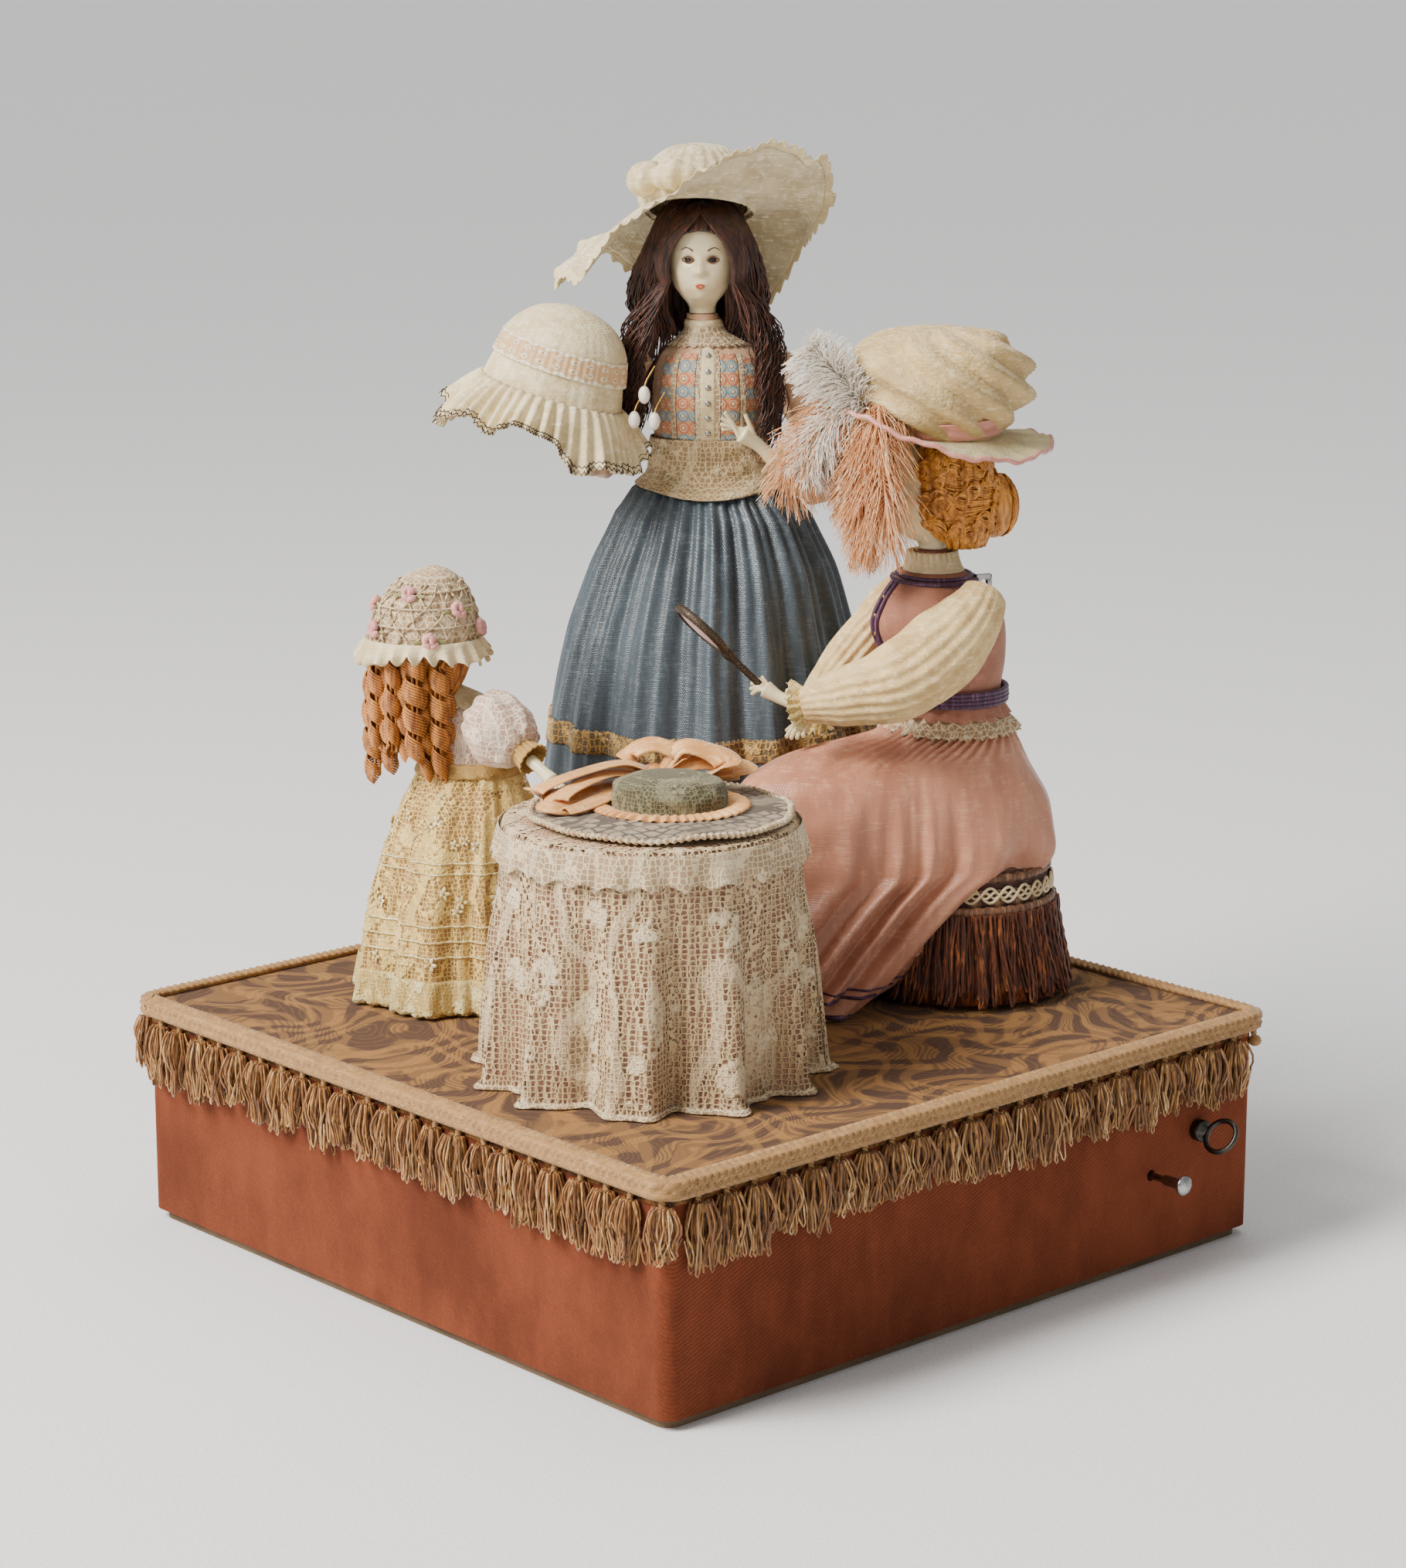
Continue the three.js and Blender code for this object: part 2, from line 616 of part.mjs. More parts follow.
// Head levers end in a fork that holds the crank of the head rod
function addHeadLevers() {
  headLevers.forEach((lever) => {
    const { solid, bore } = leverBody(lever);
    const half = crankWidth / 2 + runningGap;
    const prong = (side) => block(leverThickness, leverWidth / 2, crankHeight + forkDepth - fingerHeight, lever.x,
      lever.y + side * (half + leverWidth / 4), fingerHeight);
    const slot = block(leverThickness + 2 * overrun, 2 * half, crankHeight, lever.x, lever.y,
      crankHeight - crankWidth / 2 - runningGap);
    addPiece(rootGroup, lever.name, cut(join(solid, prong(1), prong(-1)), bore, slot), 'steel');
  });
}

// Arm levers end in an eye that lifts the collars of the arm wire
const wireEyeWidth = 8;
const wireEyeHeight = 4;
const wireCollarRadius = 3;

function addWireLevers() {
  wireLevers.forEach((lever) => {
    const { solid, bore } = leverBody(lever);
    const length = lever.wireY - lever.y;
    const arm = block(leverThickness, length, leverWidth, lever.x, lever.y + length / 2, fingerHeight);
    const eye = block(wireEyeWidth, wireEyeWidth, wireEyeHeight, lever.x, lever.wireY, wireLevel - wireEyeHeight / 2);
    const reliefHeight = leverWidth + 2 * overrun;
    const relief = cut(
      block(wireEyeWidth, wireEyeWidth + overrun, reliefHeight, lever.x, lever.wireY + overrun / 2,
        wireLevel - reliefHeight / 2),
      eye.clone(),
    );
    const hole = barUp(wireRadius + runningGap, 2 * leverWidth, lever.x, lever.wireY, fingerHeight - leverWidth / 2);
    addPiece(rootGroup, lever.name, cut(join(cut(join(solid, arm), relief), eye), bore, hole), 'steel');
  });
}

// Head rods with their cranks, up to a socket in each head
function addHeadRod(name, place, lever, top) {
  const reach = lever.x - place.x + Math.sign(lever.x - place.x) * (leverThickness / 2 + crankWidth / 2);
  const start = crankHeight - crankWidth;
  const rod = join(
    barUp(rodRadius, top - start, place.x, place.y, start, 10),
    barUp(rodRadius + wireRadius, 2 * crankWidth, place.x, place.y, start, 10),
    block(Math.abs(reach), crankWidth, crankWidth, place.x + reach / 2, place.y, crankHeight - crankWidth / 2),
  );
  addPiece(rootGroup, name, rod, 'steel');
}

// Arm wires: collars round the lever's eye, and at the top a slotted eye for the arm's crank pin
const crankPinRadius = 1.2;
const wireTopEye = { width: 6.4, height: 6.4, depth: 2.6 };

function armWire(length) {
  const collarGap = wireEyeHeight / 2 + runningGap;
  const eye = cut(
    block(wireTopEye.width, wireTopEye.depth, wireTopEye.height, 0, 0, length - wireTopEye.height / 2),
    barAlongY(crankPinRadius + runningGap / 2, wireTopEye.depth + 2 * overrun, 0, -wireTopEye.depth / 2 - overrun,
      length, 10),
  );
  return join(
    barUp(wireRadius, length - wireTopEye.height / 2 + collarGap + crankWidth + seatGap, 0, 0,
      -collarGap - crankWidth, 8),
    barUp(wireCollarRadius, crankWidth, 0, 0, -collarGap - crankWidth, 10),
    barUp(wireCollarRadius, crankWidth, 0, 0, collarGap, 10),
    eye,
  );
}

// Rows of a form: [height, x, y, half width, half depth], and the same form grown by a gap
function grown(rows, extra) {
  return rows.map(([z, x, y, radiusX, radiusY]) => [z, x, y, radiusX + extra, radiusY + extra]);
}

function folds(count, depthShare, phase = 0) {
  return (angle) => 1 + depthShare * Math.cos(count * angle + phase);
}

// A skirt: rings whose fold depth grows from the waist to the hem
function skirtForm(rows, sides, count, depthShare) {
  const top = rows[rows.length - 1][0];
  return loft(rows.map(([z, x, y, radiusX, radiusY]) => {
    const share = depthShare * (1 - z / top) + depthShare / 4;
    return ring(sides, { x, y, z }, radiusX, radiusY, folds(count, share, x));
  }));
}

// A doll's head above its neck joint, facing -Y: shares of its height
const headShares = [
  [0, 0, 0.12, 0.12], [0.09, -0.02, 0.13, 0.13], [0.13, -0.11, 0.17, 0.19], [0.24, -0.09, 0.25, 0.29],
  [0.4, -0.07, 0.3, 0.33], [0.57, -0.055, 0.32, 0.34], [0.73, -0.045, 0.3, 0.33], [0.88, -0.033, 0.22, 0.25],
  [0.98, -0.02, 0.09, 0.1],
];

function headForm(height, extra = 0) {
  const rows = headShares.map(([up, forward, wide, deep]) => [
    up * height, 0, forward * height, wide * height + extra, deep * height + extra]);
  rows[0][0] -= extra;
  rows[rows.length - 1][0] += extra;
  return stack(rows, 12);
}

function headWithSocket(height) {
  return cut(headForm(height), barUp(rodRadius + seatGap, height / 2 + overrun, 0, 0, -overrun, 10));
}

// A brimmed hat from its inner crown out to the brim's edge and back over the crown
function hatForm(hat, extra = 0) {
  const { centre, sides } = hat;
  const level = (radiusX, radiusY, z, rise) => ring(sides, { ...centre, z }, radiusX, radiusY, undefined, rise);
  const edge = hat.brim;
  return loft([
    level(hat.liningRadius, hat.liningRadius, hat.liningTop - extra),
    level(hat.opening, hat.opening, hat.openingHeight - extra),
    level(edge.x + extra, edge.y + extra, edge.z - extra, edge.rise),
    level(edge.x + extra, edge.y + extra, edge.z + hat.thickness + extra, edge.rise),
    ...hat.crown.map(([z, radius]) => level(radius + extra, radius + extra, z + extra)),
  ]);
}

// Standing lady
const standing = addGroup(rootGroup, standingPlace.x, standingPlace.y, baseHeight, figureTurn);
const standingSkirtRows = [
  [seatGap, 0, 0, 71, 69], [60, 0, 0, 68.5, 66], [96, 0, 0, 65, 62], [133, 0, 0, 57, 54], [159, 1, 0, 49, 46],
  [180, 1, 0, 39, 35], [190, 0, 0, 31, 26], [196, 0, 0, 24, 18],
];
const standingWaist = 196;
const standingTorsoRows = [
  [standingWaist + seatGap, 0, 0, 24, 17], [204, 0, 0, 22.5, 16], [213, 0, 0, 23, 16.5], [226, 0, -1, 24, 17.5],
  [238, 0, -1, 23, 16], [246, 0, 0, 20, 13], [251, -1, 0, 13, 10], [255, -2, -1, 8, 8], [262, -3, -2, 6.2, 6.2],
];
const standingNeck = 262.3;
const ladyHeadHeight = 45.5;
const standingShoulder = { side: -1, y: 0, z: 243, crank: 7, from: 25 };
const armBarThickness = 3;
const armPinRadius = 1.5;
const armCavityHeight = 16;

// An arm's arbor into the shoulder, its crank, and the pin that the wire's eye holds
function armPivot(shoulder, wireAxis) {
  const { side, y, z, crank, from } = shoulder;
  const barX = wireAxis.x + side * (wireTopEye.depth / 2 + fitGap + armBarThickness / 2 + seatGap);
  const pinEnd = wireAxis.x - side * wireTopEye.depth;
  const outer = side * (from + armBarThickness);
  return [
    barAlongX(armPinRadius, Math.abs(outer - barX), Math.min(outer, barX), y, z),
    block(armBarThickness, crank + armBarThickness, armBarThickness, barX, y + crank / 2, z - armBarThickness / 2),
    barAlongX(crankPinRadius, Math.abs(barX - pinEnd), Math.min(barX, pinEnd), y + crank, z, 8),
  ];
}

// The room for that crank inside the body, and the arbor's bore through the shoulder
function armRoom(shoulder, wireAxis) {
  const { side, y, z, crank, from } = shoulder;
  const inner = wireAxis.x - side * (wireTopEye.depth + runningGap);
  const outer = wireAxis.x + side * (wireTopEye.depth / 2 + armBarThickness + 2 * runningGap);
  const room = block(Math.abs(outer - inner), crank + armCavityHeight, armCavityHeight, (outer + inner) / 2,
    y + crank / 2, z - armCavityHeight / 2);
  const end = side * from;
  return [room, barAlongX(armPinRadius + fitGap, Math.abs(end - inner), Math.min(end, inner), y, z)];
}

function channel(radius, axis, low, high) {
  return barUp(radius + runningGap, high - low, axis.x, axis.y, low, 10);
}

function addStandingBody() {
  const low = -overrun;
  const high = standingNeck + overrun;
  const headChannel = channel(rodRadius, standingHeadAxis, low, high);
  const wireChannel = channel(wireRadius, standingWireAxis, low, standingShoulder.z);
  const skirt = skirtForm(standingSkirtRows, 39, 13, 0.04);
  addPiece(standing, 'standing_skirt', cut(skirt, headChannel, wireChannel), 'blue_silk');
  addPiece(standing, 'standing_torso', cut(stack(standingTorsoRows, 14), headChannel, wireChannel,
    ...armRoom(standingShoulder, standingWireAxis)), 'peach_silk');
}

// The right arm turns on an arbor into the shoulder and carries the bonnet
const standingRightSleeve = {
  upper: [[-29, 0, 247], [-36, 5, 228], [-40, 9, 208]],
  upperRadii: [5.5, 8, 7],
  lower: [[-40, 9, 204], [-47, -2, 201], [-54, -15, 208]],
  lowerRadii: [6.5, 6, 5],
  hand: [[-54.7, -16.6, 209.4], [-57, -22, 226], [-57.5, -26.5, 246.2]],
  handRadii: [2.8, 4.2, 3.4],
};

function addStandingRightArm() {
  const sleeve = join(
    limb(standingRightSleeve.upper, standingRightSleeve.upperRadii),
    limb(standingRightSleeve.lower, standingRightSleeve.lowerRadii),
    ...armPivot(standingShoulder, standingWireAxis),
  );
  addPiece(standing, 'standing_right_sleeve', sleeve, 'peach_silk');
  const hand = limb(standingRightSleeve.hand, standingRightSleeve.handRadii);
  addPiece(standing, 'standing_right_hand', hand, 'porcelain');
}

// Bonnet on the raised hand: an open shell whose ruffled brim spreads below
const bonnetTilt = 0.2;
const bonnetWall = 2;
const bonnetPlace = { x: -57.5, y: -26.5, z: 244 + 3.4 + 0.8 };
const bonnetRings = [[-4, 22, 20], [-14, 25.5, 22], [-24, 27, 23], [-34, 37, 31]];
const bonnetCrownRings = [[6, 24, 22], [14, 17, 16], [18, 7, 7]];

function addBonnet() {
  const centre = (z) => ({ x: 0, y: 0, z });
  const wave = folds(6, 0.05);
  const inside = [
    ring(18, centre(0), 8, 8),
    ...bonnetRings.map(([z, a, b], row) => ring(18, centre(z), a, b, row === 3 ? wave : undefined)),
  ];
  const outside = [...bonnetRings].reverse().map(([z, a, b], row) => ring(
    18, centre(z + bonnetWall / 2), a + bonnetWall, b + bonnetWall, row === 0 ? wave : undefined));
  const crown = bonnetCrownRings.map(([z, a, b]) => ring(18, centre(z), a, b));
  const shell = loft([...inside, ...outside, ...crown]).rotateY(bonnetTilt);
  moved(shell, bonnetPlace.x, bonnetPlace.y, bonnetPlace.z);
  addPiece(standing, 'bonnet', shell, 'cream_cotton');
}

const standingLeftArm = {
  upper: [[26.5, 1, 243], [36, 0, 226], [45, -3, 206], [47, -6, 193]],
  upperRadii: [6, 7.5, 7, 6],
  lower: [[47, -8, 193], [38, -17, 196], [27, -25, 205]],
  lowerRadii: [6, 6.5, 5.5],
  hand: [[27, -25, 204], [21, -27, 211], [12, -29, 218], [6, -30, 223]],
  handRadii: [3, 2.6, 4, 2.6],
};

function addStandingLeftArm() {
  const { upper, upperRadii, lower, lowerRadii, hand, handRadii } = standingLeftArm;
  const arm = join(limb(upper, upperRadii), limb(lower, lowerRadii), limb(hand, handRadii));
  addPiece(standing, 'standing_left_arm', cut(arm, stack(grown(standingTorsoRows, seatGap), 14)), 'peach_silk');
}

const standingHairRows = [
  [256, -4, 7, 22, 10.5], [263, -5, 6, 28, 13], [274, -5, 4, 27, 16], [289, -4, 3, 22, 18], [301, -4, 2, 16.5, 16],
  [310, -4, 2, 9.5, 9.5],
];
const neckClearance = 9;
const standingBrimRise = (angle) => 24 * Math.max(0, Math.cos(angle)) ** 2 - 17 * Math.cos(2 * angle)
  - 7 * Math.sin(angle);
const standingHat = {
  centre: { x: -5, y: 2 },
  sides: 20,
  liningRadius: 12,
  liningTop: 310 + seatGap,
  opening: 21,
  openingHeight: 302.5,
  thickness: 1.6,
  brim: { x: 53, y: 33, z: 292, rise: standingBrimRise },
  crown: [[307, 24], [320, 24], [329, 18], [334.5, 8]],
};

// Hair with the head's room cut out and the face left free
function hairForm(rows, neck, height, axis, turn, faceWidth, faceTop) {
  const room = headForm(height, seatGap).rotateZ(turn).translate(axis.x, axis.y, neck);
  const throat = barUp(neckClearance, 2 * neckClearance, axis.x, axis.y, neck - neckClearance, 16);
  const depth = height;
  const face = block(faceWidth, depth, faceTop + neckClearance, 0, -depth / 2 - height / 10, -neckClearance);
  face.rotateZ(turn).translate(axis.x, axis.y, neck);
  return cut(stack(rows, 12), room, throat, face);
}

function addStandingHead() {
  const { x, y } = standingHeadAxis;
  addPiece(standing, 'standing_head', moved(headWithSocket(ladyHeadHeight), x, y, standingNeck), 'porcelain');
  const hair = hairForm(standingHairRows, standingNeck, ladyHeadHeight, standingHeadAxis, 0, 26, 37);
  addPiece(standing, 'standing_hair', hair, 'dark_hair');
  addPiece(standing, 'standing_hat', hatForm(standingHat), 'gauze');
}

// Seated lady on her stool, in her own frame: she faces -Y
const seated = addGroup(rootGroup, stoolPlace.x, stoolPlace.y, baseHeight, figureTurn + seatedTurn);
const stoolProfile = [[0, seatGap], [37, seatGap], [34, 28], [32.5, 50], [30, 56], [22, 59], [8, 60.5], [0, 60.5]];
const fringeOuter = [[44.5, 1], [41.5, 12], [37.5, 28], [36.3, 36], [34.4, 52]];
const fringeFlutes = 16;
const fringeFluteShare = 0.012;
const bandFrom = 28;

function seatedChannels() {
  return [
    channel(rodRadius, seatedHeadAxis, -overrun, seatedNeck + overrun),
    channel(wireRadius, seatedWireAxis, -overrun, seatedShoulder.z),
  ];
}

const seatedNeck = 178;
const seatedShoulder = { side: 1, y: -7, z: 165, crank: 9, from: 30 };
const seatRows = [
  [55, 0, 0, 33, 34], [66, 0, 0, 35, 35.5], [80, 0, -2, 34, 34], [94, 0, -6, 29, 31], [104, 0, -10, 24, 28],
  [112, 0, -7, 18, 17],
];
const lapRows = [
  [seatGap, 6, -85, 33, 26], [14, 5, -77, 31, 31], [43, 2, -65, 29, 40], [60, 0, -59, 28, 44],
  [76, 0, -56, 27, 43], [89, 0, -53, 24, 41], [98, 0, -47, 17, 30], [103, 0, -38, 9, 16],
];
const seatedTorsoRows = [
  [112 + seatGap, 0, -7, 18, 16], [121, 0, -8, 20, 20], [135, 0, -10, 22, 24], [149, 0, -13, 23, 26.5],
  [159, 0, -14, 22, 22], [167, 0, -15, 18, 15], [171, 0, -15.5, 11, 10], [seatedNeck - seatGap, 0, -16, 6.2, 6.2],
];

function addStool() {
  const stool = cut(lathe(stoolProfile, 20), ...seatedChannels());
  addPiece(seated, 'stool', stool, 'gimp_brown');
  const sides = 2 * fringeFlutes;
  const flute = folds(fringeFlutes, fringeFluteShare);
  const outside = loft(fringeOuter.map(([radius, z]) => ring(
    sides, { x: 0, y: 0, z }, radius, radius, z < bandFrom ? flute : undefined)));
  const room = stoolProfile.slice(1, 4).map(([radius, z]) => [radius + seatGap, z]);
  const inside = lathe([[0, -overrun], [room[0][0], -overrun], ...room, [room[2][0], room[2][1] + 2 * overrun],
    [0, room[2][1] + 2 * overrun]], 20);
  addPiece(seated, 'stool_fringe', cut(outside, inside), 'fringe_brown');
}

function addSeatedSkirt() {
  const seat = stack(seatRows, 27);
  const lap = loft(lapRows.map(([z, x, y, radiusX, radiusY]) => ring(
    27, { x, y, z }, radiusX, radiusY, folds(9, 0.035, z / baseHeight))));
  const stoolRoom = lathe(stoolProfile.map(([radius, z], index) => [
    index === 0 || index === stoolProfile.length - 1 ? 0 : radius + seatGap,
    z < 1 ? -overrun : z + seatGap,
  ]), 20);
  const fringeRoom = lathe([[0, -overrun], [fringeOuter[0][0] + 1, -overrun],
    ...fringeOuter.map(([radius, z]) => [radius + 1, z + 1]), [0, 53]], 20);
  const skirt = cut(join(seat, lap), stoolRoom, fringeRoom, ...seatedChannels());
  addPiece(seated, 'seated_skirt', skirt, 'rose_silk');
}

function addSeatedTorso() {
  const torso = cut(stack(seatedTorsoRows, 14), ...armRoom(seatedShoulder, seatedWireAxis), ...seatedChannels());
  addPiece(seated, 'seated_torso', torso, 'rose_vest');
}

// The left arm turns on an arbor into the shoulder; it lifts the hand with the mirror
const seatedSleeve = {
  places: [[33, -6, 168], [35, -26, 141], [30, -45, 127], [20, -62, 123], [11, -75, 121.5]],
  radii: [6.5, 9, 11, 9.5, 6, 7.5],
};
const seatedHand = {
  places: [[10.2, -76.2, 121.8], [4, -84, 125], [-1, -88.5, 129], [-5, -92, 134]],
  radii: [3.2, 2.8, 4.4, 2.4],
};
const mirror = {
  grip: { x: -1, y: -86, z: 127 },
  axis: { x: -0.12, y: -0.7, z: 0.7 },
  handleRadius: 1.7,
  handleLength: 24,
  discRadius: 13,
  discThickness: 3.4,
};

function mirrorForm(extra = 0) {
  const { handleRadius, handleLength, discRadius, discThickness } = mirror;
  const handle = barUp(handleRadius + extra, handleLength + 2 * extra, 0, 0, -extra, 10);
  const disc = barAlongY(discRadius + extra, discThickness + 2 * extra, 0, -discThickness / 2 - extra,
    handleLength + discRadius - overrun, 20);
  const form = join(handle, disc);
  const along = new THREE.Vector3(mirror.axis.x, mirror.axis.y, mirror.axis.z).normalize();
  const turn = new THREE.Quaternion().setFromUnitVectors(new THREE.Vector3(0, 0, 1), along);
  form.applyQuaternion(turn);
  return moved(form, mirror.grip.x, mirror.grip.y, mirror.grip.z);
}

function addSeatedLeftArm() {
  const sleeve = join(limb(seatedSleeve.places, seatedSleeve.radii), ...armPivot(seatedShoulder, seatedWireAxis));
  addPiece(seated, 'seated_left_sleeve', sleeve, 'cream_cotton');
  const hand = cut(limb(seatedHand.places, seatedHand.radii), mirrorForm(seatGap));
  addPiece(seated, 'seated_left_hand', hand, 'porcelain');
  addPiece(seated, 'hand_mirror', mirrorForm(), 'dark_bronze');
}

const seatedRightArm = {
  places: [[-32, -10, 160], [-35, -26, 139], [-29, -46, 120], [-18, -58, 112.5]],
  radii: [6, 9, 9, 5],
  hand: [[-19, -57, 112.5], [-10, -66, 108.5], [-3, -73, 106.5]],
  handRadii: [2.8, 3.8, 2.6],
};

function addSeatedRightArm() {
  const { places, radii, hand, handRadii } = seatedRightArm;
  const shoulder = limb([[-16, -12, 162], [-32, -10, 160]], [4, 6]);
  const arm = join(limb(places, radii), shoulder, limb(hand, handRadii));
  const trimmed = cut(arm, stack(grown(seatedTorsoRows, seatGap), 14));
  addPiece(seated, 'seated_right_arm', trimmed, 'cream_cotton');
}

const seatedHairRows = [
  [181, 0, -6, 13, 12], [190, 0, -9, 17, 17], [205, 0, -12, 18.5, 19], [217, 0, -14, 16, 16],
  [225.5, 0, -15, 7, 8],
];
const seatedBun = { x: 0, y: 9, z: 194, width: 13, depth: 9, height: 13 };
const seatedHat = {
  centre: { x: 0, y: -14 },
  sides: 20,
  liningRadius: 9,
  liningTop: 225.5 + seatGap,
  opening: 22,
  openingHeight: 221,
  thickness: 1.6,
  brim: { x: 41, y: 44, z: 223, rise: (angle) => -8 * Math.sin(angle) - 5 * Math.cos(2 * angle) },
  crown: [[228, 24], [240, 33], [253, 34], [263, 27], [269, 12]],
};

function addSeatedHead() {
  const { x, y } = seatedHeadAxis;
  addPiece(seated, 'seated_head', moved(headWithSocket(ladyHeadHeight), x, y, seatedNeck + seatGap), 'porcelain');
  const bun = new THREE.SphereGeometry(1, 10, 6).rotateX(quarterTurn);
  bun.scale(seatedBun.width, seatedBun.depth, seatedBun.height);
  moved(bun, seatedBun.x, seatedBun.y, seatedBun.z);
  const cap = hairForm(seatedHairRows, seatedNeck + seatGap, ladyHeadHeight, seatedHeadAxis, 0, 24, 36);
  const neckRoom = stack(grown(seatedTorsoRows, runningGap), 14);
  addPiece(seated, 'seated_hair', cut(join(cap, bun), neckRoom), 'gold_hair');
  addPiece(seated, 'seated_hat', hatForm(seatedHat), 'gauze');
}

// Marabou and feather spray from the front of the hat down past the cheek
const plumeWhite = { places: [[9, -52, 238], [2, -62, 250], [-3, -72, 262]], radii: [9, 12, 6] };
const plumeOrange = { places: [[9, -50, 240], [15, -54, 222], [13, -54, 203], [11, -53, 185]], radii: [8, 11, 9, 4] };

function addPlume() {
  const spray = join(limb(plumeWhite.places, plumeWhite.radii), limb(plumeOrange.places, plumeOrange.radii));
  const trimmed = cut(spray, hatForm(seatedHat, seatGap),
    moved(headForm(ladyHeadHeight, runningGap), seatedHeadAxis.x, seatedHeadAxis.y, seatedNeck));
  addPiece(seated, 'feather_plume', trimmed, 'feather');
}

// Child, seen from behind, with one arm out to the table
const child = addGroup(rootGroup, childPlace.x, childPlace.y, baseHeight, figureTurn);
const childSkirtRows = [
  [seatGap, -2, 0, 40, 38], [17, -2, 0, 39, 37], [40, -2, 0, 35.5, 34], [58, -1, 0, 31.5, 30], [78, 1, 0, 26, 24],
  [90, 2, 0, 21, 17], [95.5, 2, 0, 18, 14],
];
const childWaist = 95.5;
const childBodiceRows = [
  [childWaist + seatGap, 2, 0, 17.5, 13.5], [105, 1, 0, 17, 13.5], [114, -2, 1, 16, 12.5], [121, -6, 2, 11, 9],
  [125, -9, 3, 6, 6], [128, -10, 3, 4.8, 4.8],
];
const childNeck = 128.3;
const childHeadHeight = 40;
const headSwing = 12 * Math.PI / 180;
const childHairRows = [
  [112, -21, -6, 11, 9], [118, -20, -5, 14, 11], [128, -17, -2, 16.5, 13.5], [141, -14, 1, 18, 16],
  [155, -13, 2, 16, 15], [165, -12, 2, 11, 11], [169.3, -11, 3, 4, 4],
];
const childCapRows = [
  [138, -15.5, -1, 21.5, 20.5], [142, -15.5, -1, 22, 21], [149, -15, 0, 20.5, 19.5], [160, -14, 1, 17, 16.5],
  [169, -12, 2, 9.5, 9.5], [172, -11, 3, 3, 3],
];
const ringletShares = [0, 0.25, 0.5, 0.75, 1];
const ringletRadius = 3.4;
const ringletArc = { from: -2.9, to: -1.35, radiusX: 18, radiusY: 17, top: 122, low: 101, lowest: 88 };

function ringlets() {
  return ringletShares.map((share) => {
    const { from, to, radiusX, radiusY, top, low, lowest } = ringletArc;
    const angle = THREE.MathUtils.lerp(from, to, share);
    const x = childHeadAxis.x - childHeadHeight / 6 + radiusX * Math.cos(angle);
    const y = radiusY * Math.sin(angle) - overrun;
    const end = share === 0 ? lowest : low;
    return limb([[x * 0.9, y * 0.8, top], [x, y, (top + end) / 2], [x, y, end]],
      [ringletRadius, ringletRadius, ringletRadius * 0.6], 6, 1);
  });
}

function addChildBody() {
  const low = -overrun;
  const headChannel = channel(rodRadius, childHeadAxis, low, childNeck + overrun);
  addPiece(child, 'child_skirt', cut(skirtForm(childSkirtRows, 27, 9, 0.05), headChannel), 'yellow_net');
  addPiece(child, 'child_bodice', cut(stack(childBodiceRows, 16), headChannel), 'pink_mesh');
}

function addChildHead() {
  const { x, y } = childHeadAxis;
  const head = headWithSocket(childHeadHeight).rotateZ(childHeadTurn);
  addPiece(child, 'child_head', moved(head, x, y, childNeck), 'porcelain');
  const mass = hairForm(childHairRows, childNeck, childHeadHeight, childHeadAxis, childHeadTurn, 21, 32);
  const bodice = [-headSwing, 0, headSwing].map((turn) => stack(grown(childBodiceRows, runningGap), 12)
    .translate(-x, -y, 0).rotateZ(turn).translate(x, y, 0));
  const hair = cut(join(mass, ...ringlets()), ...bodice,
    moved(headForm(childHeadHeight, seatGap).rotateZ(childHeadTurn), x, y, childNeck));
  addPiece(child, 'child_hair', hair, 'ginger_hair');
  const cap = cut(stack(childCapRows, 18, folds(9, 0.02)), stack(grown(childHairRows, seatGap), 12),
    moved(headForm(childHeadHeight, seatGap).rotateZ(childHeadTurn), x, y, childNeck));
  addPiece(child, 'child_cap', cap, 'crochet');
}

const childArms = {
  sleeve: [[9, -13, 116], [16, -18, 111], [24, -24, 105.5], [30, -29, 101.5]],
  sleeveRadii: [8, 13, 12, 9, 4.5],
  hand: [[29.5, -29, 101.5], [37, -39, 96.5], [43, -46, 93]],
  handRadii: [2.8, 2.6, 3.4],
  left: [[-12, 10, 117], [-20, 17, 108], [-22, 26, 102], [-18, 33, 99]],
  leftRadii: [5, 8, 4, 2.6],
};

function addChildArms() {
  const { sleeve, sleeveRadii, hand, handRadii, left, leftRadii } = childArms;
  const bodice = () => stack(grown(childBodiceRows, seatGap), 16);
  const skirt = () => stack(grown(childSkirtRows, overrun), 16);
  const puff = cut(limb(sleeve, sleeveRadii, 12), bodice(), skirt());
  addPiece(child, 'child_right_sleeve', puff, 'pink_mesh');
  const grownPuff = limb(sleeve, sleeveRadii.map((radius) => radius + seatGap), 12);
  addPiece(child, 'child_right_hand', cut(limb(hand, handRadii), grownPuff), 'porcelain');
  addPiece(child, 'child_left_arm', cut(limb(left, leftRadii), bodice(), skirt()), 'pink_mesh');
}

// Table: a pasteboard drum under a lace cloth that hangs in folds and pools at the hem
const table = addGroup(rootGroup, tablePlace.x, tablePlace.y, baseHeight, figureTurn);
const tableTopRadius = 52.5;
const tableDrumRadius = 49;
const tableTopThickness = 4;
const tableHeight = 95.5;
const laceThickness = 1.2;
const laceHemRadius = 58;
const laceFolds = 15;
const laceFoldShare = 0.028;

